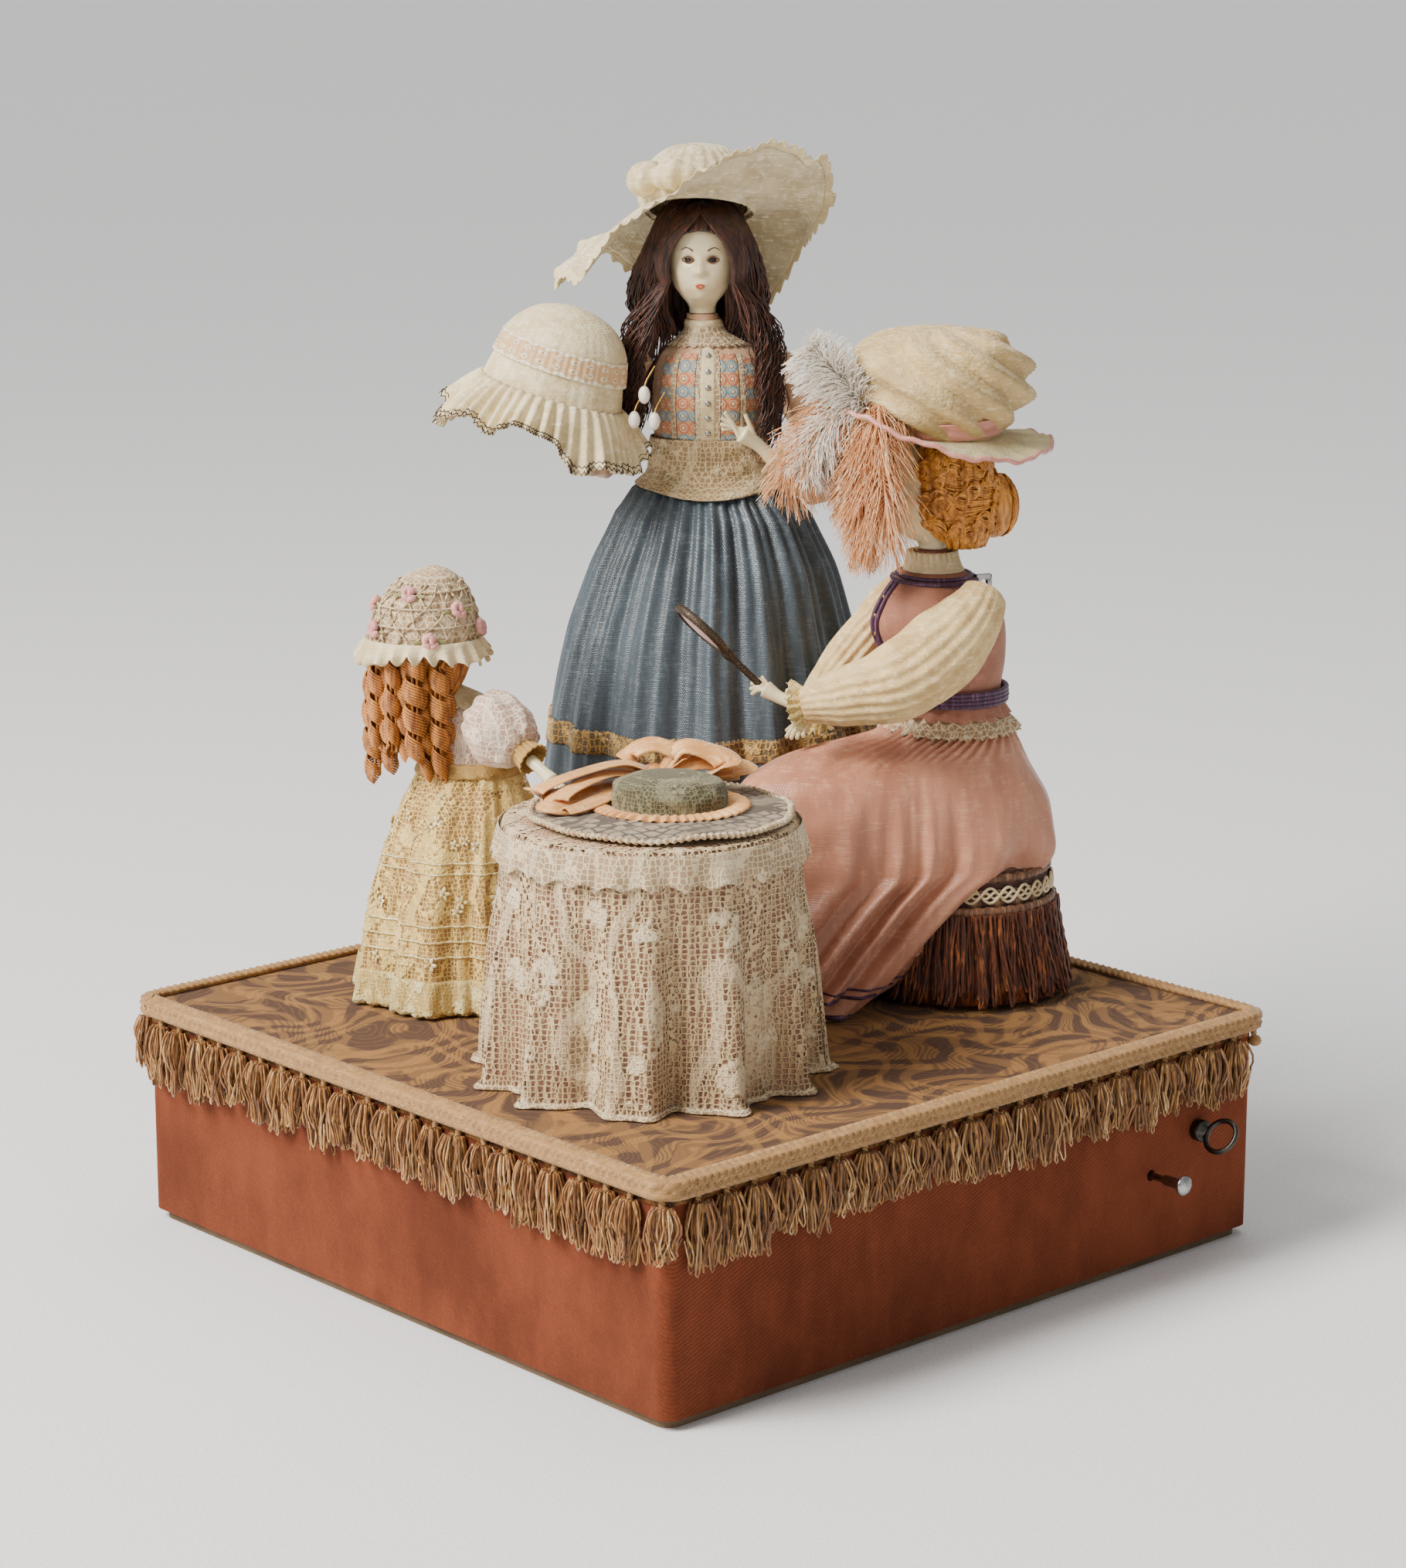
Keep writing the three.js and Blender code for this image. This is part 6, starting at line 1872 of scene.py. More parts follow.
@dataclass(frozen=True)
class DollHand:
    """A slim cast hand: wrist, palm and fingers that curl a little."""

    name: str
    palm: Tube
    finger_tips: tuple[Point, ...]
    thumb_tip: Point
    finger_radius: float = 1.15

    def build(self, stand: Stand, body: str, *nodes: str) -> None:
        """Make the hand and let it stand for its nodes.

        Args:
            stand: The frame that it was measured in.
            body: The body that it moves with.
            nodes: The nodes that it stands for.
        """
        knuckle = self.palm.point(0.0, 0.9) - self.palm.centre(0.9)
        end = self.palm.centre(0.93)
        paths = []
        count = len(self.finger_tips)
        for index, tip in enumerate(self.finger_tips):
            share = (index - (count - 1) / 2) / max(1, count)
            root = end + knuckle * (1.25 * share)
            middle = (root + Vector(tip)) / 2 + Vector((0, 0, 0.9))
            paths.append([Vector(spline((root, middle, Vector(tip)), step / 6)) for step in range(7)])
        start = self.palm.centre(0.55)
        bend = (start + Vector(self.thumb_tip)) / 2 + Vector((0, -0.8, 0.4))
        paths.append([Vector(spline((start, bend, Vector(self.thumb_tip)), step / 6)) for step in range(7)])
        mesh = Maker.merged([self.palm.shell(20, 18), Maker.threads(paths, self.finger_radius, 0.7, 2)])
        Maker.replace(Maker.keep(self.name, mesh, stand, SKIN, body), "porcelain", *nodes)


@dataclass(frozen=True)
class Locks:
    """Loose strands of hair laid over a form and hanging from it."""

    count: int
    seed: int

    def paths(self, start: Callable[[float, random.Random], list[Vector]]) -> list[list[Vector]]:
        """Return the strands that a function draws from a share and a chance."""
        chance = random.Random(self.seed)
        return [start((index + chance.random()) / self.count, chance) for index in range(self.count)]


@dataclass
class StandingLady(Dressed):
    """The tall lady in a blue skirt, who holds a bonnet out on her right hand."""

    stand: ClassVar[Stand] = STANDING

    skirt: Form = Form(((0.6, 0, 0, 71, 69), (30, 0, 0, 70, 68), (60, 0, 0, 68.5, 66), (96, 0, 0, 65, 62),
                        (133, 0, 0, 57, 54), (159, 1, 0, 49, 46), (180, 1, 0, 39, 35),
                        (190, 0, 0, 31, 26), (196.5, 0, 0, 24, 18)))
    torso: Form = Form(((196, 0, 0, 24, 17), (204, 0, 0, 22.5, 16), (213, 0, 0, 23, 16.5),
                        (226, 0, -1, 24, 17.5), (238, 0, -1, 23, 16), (246, 0, 0, 20, 13),
                        (251, -1, 0, 13, 10), (255, -2, -1, 8, 8), (262, -3, -2, 6.2, 6.2)))
    hair: Form = Form(((252, -4, 8, 20, 9), (258, -4, 7, 24, 11), (263, -5, 6, 27, 13),
                       (274, -5, 4, 26.5, 16), (289, -4, 3, 21.5, 18), (301, -4, 2, 16, 16),
                       (309, -4, 2, 9, 9), (311, -4, 2, 1, 1)))
    hat_centre: tuple[float, float] = (-5.0, 2.0)

    def skirt_relief(self, angle: float, height: float) -> float:
        """Return how deep the gathers lie at a place on the skirt.

        Args:
            angle: The direction round, in radians.
            height: The height in millimetres.

        Returns:
            The lift in millimetres.
        """
        fall = 1 - height / 196
        broad = gathers(angle, 15) * (0.9 + 3.4 * fall)
        fine = gathers(angle, 43, 2.0) * (1.1 - 0.7 * fall) * smooth(1.25 - fall)
        drift = 1.1 * wobble(3 * math.cos(angle), 3 * math.sin(angle), height * 0.02) * (0.3 + fall)
        return broad + fine + drift

    def build_skirt(self) -> None:
        """Make the gathered silk skirt with its lace insertion."""
        mesh = self.skirt.shell(380, 60, self.skirt_relief)
        self.put("blue_skirt", mesh, BLUE_SILK, "blue_silk", "standing_skirt")

        def lace(u: float, v: float) -> Vector:
            """Return the lace's point at its shares round and across.

            Args:
                u: The share round.
                v: The share across.

            Returns:
                The point.
            """
            angle = u * TAU
            zigzag = 0.7 * abs(math.sin(90 * angle)) * (1 if v > 0.5 else -1) * abs(2 * v - 1)
            height = lerp(88.5, 97.0, v) + zigzag
            knots = 0.35 * abs(math.sin(60 * angle)) * math.sin(v * math.pi)
            return self.skirt.point(angle, height, self.skirt_relief(angle, height) + 0.45 + knots)
        insertion = self.put("skirt_lace_insertion", Maker.skin(640, 5, lace), INSERTION, "blue_silk",
                             wall=0.35)
        Maker.sheet(insertion, 0.4, Held.GATHERED, ["blue_skirt"])
        self.put("skirt_hem_roll", self.skirt.band(2.2, 2.2, 3.6, 420, 0.9, 0.5, 13), BLUE_SILK,
                 "blue_silk")

    def build_torso(self) -> None:
        """Make the blouse with lace bands, placket, buttons, collar and sash."""
        front = -math.pi / 2
        ripple = lambda angle, height: 0.25 * wobble(angle * 7, height * 0.12, 2) + 0.18 * math.sin(
            30 * angle) * smooth((214 - height) / 12)
        self.put("peach_blouse", self.torso.shell(120, 80, ripple), PEACH, "peach_silk", "standing_torso")
        bands, edgings = [], []
        for sign in (-1, 1):
            for near, far in ((0.22, 0.56), (0.68, 0.98)):
                angles = (front + sign * near, front + sign * far)
                bands.append(self.band(angles, (212, 249 - 4 * far)))
            for near, far in ((0.13, 0.21), (0.57, 0.67)):
                angles = (front + sign * near, front + sign * far)
                edgings.append(self.band(angles, (212, 249 - 4 * far), 0.6))
        self.put("blouse_lace_bands", Maker.merged(bands), BODICE_LACE, "peach_silk", wall=0.3)
        self.put("blouse_edgings", Maker.merged(edgings), CROCHET, "peach_silk", wall=0.3)
        placket = self.torso.strip((front - 0.13, front + 0.13), (210, 250), 0.5, 6, 40)
        self.put("blouse_placket", placket, EDGE_LACE, "peach_silk", wall=0.4)
        buttons = []
        for index in range(6):
            centre = self.torso.point(front, 215 + index * 6.2, 1.0)
            buttons.append(Maker.ball(centre, (1.15, 0.6, 1.15), columns=14))
        self.put("blouse_buttons", Maker.merged(buttons), STEEL, "steel")

        def collar(u: float, v: float) -> Vector:
            """Return the collar's point at its shares round and down.

            Args:
                u: The share round.
                v: The share down.

            Returns:
                The point.
            """
            angle = u * TAU
            scallop = 0.8 * abs(math.sin(14 * angle)) * v
            height = lerp(257.5, 248.2, v) - scallop
            return self.torso.point(angle, height + 1.5 * v, 0.5 + 0.5 * v + 0.3 * math.sin(28 * angle) * v)
        self.put("crochet_collar", Maker.skin(220, 10, collar), CROCHET, "peach_silk", wall=0.4)
        self.put("collar_band", self.torso.band(258.2, 3.0, 0.5, 90, 0.6), EDGE_LACE, "peach_silk")

        def sash(u: float, v: float) -> Vector:
            """Return the sash's point at its shares round and up.

            Args:
                u: The share round.
                v: The share up.

            Returns:
                The point.
            """
            angle = u * TAU
            height = lerp(192.5, 212.0, v) - 3.2 * math.exp(
                -(math.sin((angle - front) / 2) / 0.35) ** 2) * (1 - v)
            creases = 0.4 * math.sin(v * 16 + 2 * math.sin(3 * angle)) + 0.3 * wobble(angle * 6, v * 5)
            form = self.torso if height > 197 else self.skirt
            return form.point(angle, height, 1.3 + creases + 1.6 * (1 - v))
        waist = self.put("lace_sash", Maker.skin(160, 30, sash), SASH, "peach_silk", wall=0.4)
        Maker.sheet(waist, 0.14, Held.GATHERED, ["peach_blouse"])

    def band(self, angles: tuple[float, float], heights: tuple[float, float],
             proud: float = 0.4) -> bmesh.types.BMesh:
        """Return one upright band of lace whose pattern runs along its length."""
        return Maker.skin(60, 10, lambda u, v: self.torso.point(
            lerp(*angles, v), lerp(*heights, u), proud + 0.12 * math.sin(u * 90)), welded=False)

    def puff(self, tube: Tube, name: str, body: str, *nodes: str) -> None:
        """Make one soft sleeve with drawn creases.

        Args:
            tube: The sleeve's path and radii.
            name: The piece's name.
            body: The body that it moves with.
            nodes: The nodes of the CAD model that it stands for.
        """
        def relief(angle: float, share: float) -> float:
            """Return how proud the sleeve's folds stand.

            Args:
                angle: The direction round, in radians.
                share: The share of the way along.

            Returns:
                The lift in millimetres.
            """
            crease = 0.45 * math.sin(share * 30 + 2.2 * math.sin(angle * 2 + share * 4))
            return crease * math.sin(math.pi * share) + 0.5 * wobble(
                math.cos(angle) * 2, math.sin(angle) * 2, share * 7)
        self.put(name, tube.shell(48, 60, relief, 0.06), PEACH, "peach_silk", *nodes, body=body)

    def build_arms(self) -> None:
        """Make both sleeves with their cuffs and hands."""
        right_upper = Tube(((-27, 0, 246), (-33, 3, 236), (-37.5, 6.5, 221), (-40, 9, 205)),
                           (6.2, 8.2, 8.4, 7.2))
        right_lower = Tube(((-39.5, 9.5, 205), (-43, 5, 201), (-49, -5, 202.5), (-54, -15, 208)),
                           (7.2, 7.0, 6.4, 5.2), (1, 0, 0))
        self.puff(right_upper, "right_upper_sleeve", "standing_arm_body", "standing_right_sleeve")
        self.puff(right_lower, "right_lower_sleeve", "standing_arm_body")
        pivot = Maker.threads([[(-25, 0, 243), (-8, 0, 243)]], 1.5, 1.0, 2)
        self.put("right_arm_pin", pivot, STEEL, "steel", body="standing_arm_body")
        DollHand("right_hand_cast", Tube(((-54, -15, 208), (-56.5, -20.5, 221), (-57.2, -24.5, 236)),
                                         (2.9, 2.7, 4.2), (0, 1, 0)),
                 ((-60.5, -26.5, 246.5), (-58, -27, 247), (-55.6, -26.4, 246.5)),
                 (-52.5, -25, 242)).build(STANDING, "standing_arm_body", "standing_right_hand")
        self.puff(Tube(((26, 1, 244), (36, 0, 228), (44.5, -3, 208), (47, -6, 195)), (6.2, 8.0, 7.6, 6.6)),
                  "left_upper_sleeve", "base", "standing_left_arm")
        self.puff(Tube(((47, -7, 195), (44, -12, 192.5), (37, -18, 196.5), (27.5, -25, 204.5)),
                       (6.6, 6.8, 6.4, 5.4)), "left_lower_sleeve", "base")
        for name, body, centre, turn in (
            ("right_cuff", "standing_arm_body", (-53.8, -14.6, 207.6), Matrix.Rotation(-0.5, 4, "Y")),
            ("left_cuff", "base", (27.8, -24.6, 204.4), Matrix.Rotation(-0.9, 4, "Y")),
        ):
            ruffle = Maker.skin(120, 8, lambda u, v: Vector((
                (4.6 + 1.8 * v + 0.5 * math.sin(18 * u * TAU) * v) * math.cos(u * TAU),
                (4.6 + 1.8 * v + 0.5 * math.sin(18 * u * TAU) * v) * math.sin(u * TAU), 3.4 * v - 1.0)))
            ruffle.transform(Matrix.Translation(Vector(centre)) @ turn)
            self.put(name, ruffle, EDGE_LACE, "peach_silk", body=body, wall=0.3)
        DollHand("left_hand_cast", Tube(((27, -25.5, 205), (21, -27.5, 211.5), (13.5, -29.5, 217)),
                                        (3.0, 2.6, 4.0), (0, 1, 0)),
                 ((7.5, -32, 225.5), (6, -31, 223), (5.5, -30, 220.3), (6, -28.6, 218)),
                 (15.5, -30.5, 224.5)).build(STANDING, "base")

    def build_head(self) -> None:
        """Make the head, the long hair and the floppy hat."""
        body = "standing_head_body"
        DollHead("standing", 45.5, (-3, -2, 262.3), body, STANDING).build("standing_head")
        front = -math.pi / 2

        def mass(u: float, v: float) -> Vector:
            """Return the hair's point at its shares round and up.

            Args:
                u: The share round.
                v: The share up.

            Returns:
                The point.
            """
            open_share = 0.86 - 0.1 * v
            angle = front + 0.46 + (TAU - 0.92) * u
            height = lerp(self.hair.low(), self.hair.high(), v)
            lock = 0.7 * math.sin(26 * angle + 2 * math.sin(height * 0.05)) + 0.5 * math.sin(61 * angle)
            ends = 3.0 * wobble(angle * 5, 1.0) * (1 - v) ** 4
            return self.hair.point(angle, height + ends, lock * open_share - 0.6)
        self.put("dark_hair_mass", Maker.skin(150, 40, mass, welded=False), DARK_HAIR, "dark_hair",
                 "standing_hair", body=body, wall=1.2)

        def strand(share: float, chance: random.Random) -> list[Vector]:
            """Return the path of a strand that hangs behind the shoulders.

            Args:
                share: The share of the way along.
                chance: The source of the strand's chances.

            Returns:
                The path.
            """
            angle = front + 0.5 + (TAU - 1.0) * share
            top = 306 - 5 * chance.random()
            near_front = min(share, 1 - share) < 0.16
            low = chance.uniform(212, 236) if near_front else chance.uniform(244, 262)
            path = []
            curl = chance.uniform(0.8, 2.2)
            phase = chance.uniform(0, TAU)
            for step in range(15):
                part = step / 14
                height = lerp(top, low, part)
                base = self.hair.point(angle, max(254.0, height), 0.5 + 0.5 * chance.random())
                if height < 254:
                    drop = (254 - height) / 30
                    base.z = height
                    base.y = lerp(base.y, -7.0 if near_front else base.y, drop * 0.8)
                    base.x = lerp(base.x, math.copysign(27.5, base.x + 4) if near_front else base.x,
                                  drop * 0.8)
                wave = part * curl
                path.append(base + Vector((wave * math.sin(phase + part * 17),
                                           wave * math.cos(phase + part * 17), 0)))
            return path
        face = DollHead("standing", 45.5, (-3, -2, 262.3), body, STANDING)

        def parted(share: float, chance: random.Random) -> list[Vector]:
            """Return the path of a strand that is swept from the parting.

            Args:
                share: The share of the way along.
                chance: The source of the strand's chances.

            Returns:
                The path.
            """
            sign = -1 if share < 0.5 else 1
            part = share * 2 % 1.0
            low = chance.uniform(206, 244)
            lift = chance.uniform(0.05, 0.1)
            frizz = chance.uniform(0.8, 2.4)
            phase = chance.uniform(0, TAU)
            path = []
            for step in range(9):
                t = step / 8
                side = sign * lerp(0.02 + 0.04 * part, lerp(0.84, 1.45, part), smooth(t) ** 0.7)
                up = lerp(lerp(0.9, 0.965, part), 0.3, t ** 1.3)
                point = face.on_face(side, up, lift + 0.02 * t)
                path.append(face.place() @ point)
            end = path[-1]
            for step in range(1, 15):
                t = step / 14
                swing = Vector((math.sin(phase + t * 16), math.cos(phase + t * 16), 0)) * (frizz * t ** 0.6)
                drift = Vector((sign * (11.5 + 5 * part) * math.sin(t * 2.0), -2.0 * t, 0))
                path.append(Vector((end.x, end.y, lerp(end.z, low, t))) + drift + swing)
            return path
        def crown_hair(u: float, v: float) -> Vector:
            """Return the top hair's point at its shares round and up.

            Args:
                u: The share round.
                v: The share up.

            Returns:
                The point.
            """
            side = lerp(-1.55, 1.55, u)
            up = lerp(0.75 - 0.4 * (abs(side) / 1.55) ** 2, 0.975, v)
            groove = 0.012 * math.exp(-(side / 0.07) ** 2) - 0.005 * math.sin(44 * side)
            return face.place() @ face.on_face(side, up, 0.05 - groove)
        self.put("dark_hair_parting", Maker.skin(90, 14, crown_hair, welded=False), DARK_HAIR,
                 "dark_hair", body=body, wall=0.8)
        locks = Locks(330, 5).paths(strand) + Locks(400, 6).paths(parted)
        hair = Maker.threads(locks, 0.42, 0.6)
        self.put("dark_hair_strands", hair, DARK_HAIR, "dark_hair", body=body)
        self.build_hat(body)

    def build_hat(self, body: str) -> None:
        """Make the gauze hat: floppy brim, lace edge, soft crown and puffs.

        Args:
            body: The body that it moves with.
        """
        cx, cy = self.hat_centre

        levels = tuple((level,) for level in (307.0, 293.0, 268.0, 268.0, 276.0, 287.0, 279.0, 277.0,
                                              284.0, 305.0, 324.0, 327.0, 323.0, 307.0))

        def brim(u: float, v: float) -> Vector:
            """Return the brim's point at its shares round and outwards.

            Args:
                u: The share round.
                v: The share outwards.

            Returns:
                The point.
            """
            angle = u * TAU
            hang = max(0.0, math.cos(angle - 0.75)) ** 1.2
            reach = lerp(v, math.sin(v * math.pi / 2), hang)
            wide, deep = lerp(20, 55.5 - 6 * hang, reach), lerp(20, 36, reach)
            ring = 304 - 7.5 * math.sin(angle)
            fall = v ** (1.2 + 1.4 * hang)
            ruffle = (2.6 * math.sin(9 * angle + 2.4 * math.sin(2 * angle))
                      + 0.6 * math.sin(23 * angle)) * v ** 2
            x = cx + (wide + 0.5 * ruffle * hang) * math.cos(angle)
            y = cy + (deep + 0.5 * ruffle * hang) * math.sin(angle)
            return Vector((x, y, lerp(ring, spline(levels, u)[0], fall) + ruffle
                           + 3 * hang * math.sin(v * math.pi)))
        cloth = self.put("hat_brim_gauze", Maker.skin(280, 26, brim), GAUZE, "gauze", "standing_hat",
                         body=body, wall=0.8)
        Maker.sheet(cloth, 0.2, Held.GATHERED, ["dark_hair_mass"])

        def edge(u: float, v: float) -> Vector:
            """Return the brim's scalloped edge at its shares round and across.

            Args:
                u: The share round.
                v: The share across.

            Returns:
                The point.
            """
            point = brim(u, 1.0)
            angle = u * TAU
            inner = brim(u, 0.96)
            out = (point - inner).normalized()
            scallop = 0.6 + 0.4 * abs(math.sin(36 * angle))
            return point + out * (4.2 * v * scallop) + Vector((0, 0, 0.9 * math.sin(72 * angle) * v))
        self.put("hat_lace_edge", Maker.skin(640, 6, edge), EDGE_LACE, "gauze", body=body, wall=0.3)

        crown_rows = ((302, 22), (307, 23.5), (313, 23.4), (319, 21.5), (324, 17.5), (327.5, 12.5),
                      (329.2, 6), (329.8, 0.01))

        def crown(u: float, v: float) -> Vector:
            """Return the crown's point at its shares round and up.

            Args:
                u: The share round.
                v: The share up.

            Returns:
                The point.
            """
            height, reach = spline(crown_rows, v)
            angle = u * TAU
            soft = 1.3 * wobble(2.4 * math.cos(angle), 2.4 * math.sin(angle), height * 0.12)
            gather = 0.5 * math.sin(33 * angle + 3 * math.sin(2 * angle)) * smooth(1.3 - v)
            reach = reach + (soft + gather) * smooth((1 - v) * 4)
            tilt = -7.5 * math.sin(angle) * (1 - v)
            return Vector((cx + reach * math.cos(angle), cy + reach * math.sin(angle), height + tilt))
        self.put("hat_crown_gauze", Maker.skin(180, 40, crown), GAUZE, "gauze", body=body)

        def puffs(u: float, v: float) -> Vector:
            """Return the ruched band's point at its shares round the crown and round the band.

            Args:
                u: The share round the crown.
                v: The share round the band.

            Returns:
                The point.
            """
            angle, across = u * TAU, v * TAU
            plump = 3.6 + 2.4 * abs(math.sin(4.5 * angle + 0.5)) ** 1.5 + 0.5 * math.sin(26 * angle)
            away = math.atan2(math.sin(angle + 2.3), math.cos(angle + 2.3))
            plump *= 0.35 + 1.05 * math.exp(-(away / 0.75) ** 2)
            reach = 24.5 + plump * math.cos(across)
            crinkle = 0.45 * wobble(angle * 14, across * 3)
            return Vector((cx + (reach + crinkle) * math.cos(angle),
                           cy + (reach + crinkle) * math.sin(angle), 313 - 6 * math.sin(angle)
                           + plump * 0.9 * math.sin(across)))
        ring = Maker.skin(300, 22, puffs)
        self.put("hat_gauze_puffs", ring, EDGE_LACE, "gauze", body=body)

    def build_bonnet(self) -> None:
        """Make the bonnet on the right hand: crown, ladder lace, pleated ruffle and pins."""
        body = "standing_arm_body"
        move = Matrix.Translation((-57.5, -26.5, 248.2)) @ Matrix.Rotation(0.3, 4, "Y")
        outside = ((18.6, 0.01, 0.01), (18, 7, 7), (14, 17, 16), (6, 24, 22), (-3, 25.5, 23),
                   (-13, 28, 24.5), (-23, 29, 25.5), (-26, 31, 27))

        def shape(rows: Sequence[Sequence[float]], relief: Callable[[float, float], float]) -> Place:
            """Return a surface of the bonnet from its rows and relief.

            Args:
                rows: Rows of height, half width and half depth.
                relief: Gives how proud the surface stands.

            Returns:
                The surface's function of its two shares.
            """
            def place(u: float, v: float) -> Vector:
                """Return the surface's point at its shares round and along its rows.

                Args:
                    u: The share round.
                    v: The share along its rows.

                Returns:
                    The point.
                """
                z, wide, deep = spline(rows, v)
                angle = u * TAU
                lift = relief(angle, v)
                return Vector(((wide + lift) * math.cos(angle), (deep + lift) * math.sin(angle), z))
            return place
        crown = Maker.skin(140, 36, shape(outside, lambda angle, v: (
            0.5 * wobble(3 * math.cos(angle), 3 * math.sin(angle), v * 5) + 0.25 * math.sin(40 * angle) * v)
            * smooth(v * 5)))
        crown.transform(move)
        self.put("bonnet_crown", crown, COTTON, "cream_cotton", "bonnet", body=body, wall=0.8)
        lace = Maker.skin(260, 10, shape(((3.5, 24.9, 22.7), (-1, 25.9, 23.5), (-6, 27, 24)),
                                         lambda angle, v: (0.7 + 0.2 * math.sin(60 * angle))))
        lace.transform(move)
        self.put("bonnet_ladder_lace", lace, LADDER_LACE, "cream_cotton", body=body, wall=0.4)

        def ruffle(u: float, v: float) -> Vector:
            """Return the ruffle's point at its shares round and across.

            Args:
                u: The share round.
                v: The share across.

            Returns:
                The point.
            """
            angle = u * TAU
            pleat = math.sin(42 * angle + 1.6 * math.sin(3 * angle))
            wide, deep = lerp(29.3, 41.5, v ** 0.8), lerp(26, 35, v ** 0.8)
            sag = (4.2 * math.sin(3 * angle + 0.6) + 3.0 * math.sin(7 * angle)
                   + 1.5 * math.sin(13 * angle)) * v
            depth = 2.1 * pleat * (0.2 + 0.8 * v) + 1.8 * math.sin(7 * angle + 1) * v
            return Vector(((wide + depth) * math.cos(angle), (deep + depth) * math.sin(angle),
                           lerp(-16, -34.5, v) + sag + 0.4 * pleat))
        pleats = Maker.skin(500, 16, ruffle)
        pleats.transform(move)
        frill = self.put("bonnet_ruffle", pleats, COTTON, "cream_cotton", body=body, wall=0.5)
        Maker.sheet(frill, 0.2, Held.GATHERED, ["bonnet_crown"])

        def zigzag(offset: float, share: float) -> list[list[Vector]]:
            """Return the zigzag thread that is sewn round the ruffle.

            Args:
                offset: How far it swings to each side, as a share.
                share: The share of the way out.

            Returns:
                The paths.
            """
            path = []
            for step in range(433):
                u = step / 432
                point = ruffle(u, share + (offset if step % 2 else -offset))
                path.append(move @ (point + Vector((point.x, point.y, 0)).normalized() * 0.5))
            return [path]
        self.put("bonnet_zigzag", Maker.merged([Maker.threads(zigzag(0.035, 0.955), 0.34),
                                                Maker.threads(zigzag(0.02, 0.86), 0.28)]), DARK_TRIM,
                 "cream_cotton", body=body)
        drops, stems = [], []
        for x, y, z in ((-24.5, -37.5, 236), (-20.5, -37.5, 225.5), (-28.5, -38, 226)):
            drops.append(Maker.ball((x, y, z - 3), (2.4, 2.4, 3.6), columns=18))
            stems.append([(x + 4, y + 4, z + 8), (x + 1, y + 1, z + 3), (x, y, z)])
        self.put("pearl_drops", Maker.merged(drops), PEARL, "porcelain", body=body)
        self.put("pearl_pins", Maker.threads(stems, 0.35, 1.0, 1), BRASS, "brass", body=body)

    def build(self) -> None:
        """Make the whole figure."""
        self.build_skirt()
        self.build_torso()
        self.build_arms()
        self.build_head()
        self.build_bonnet()


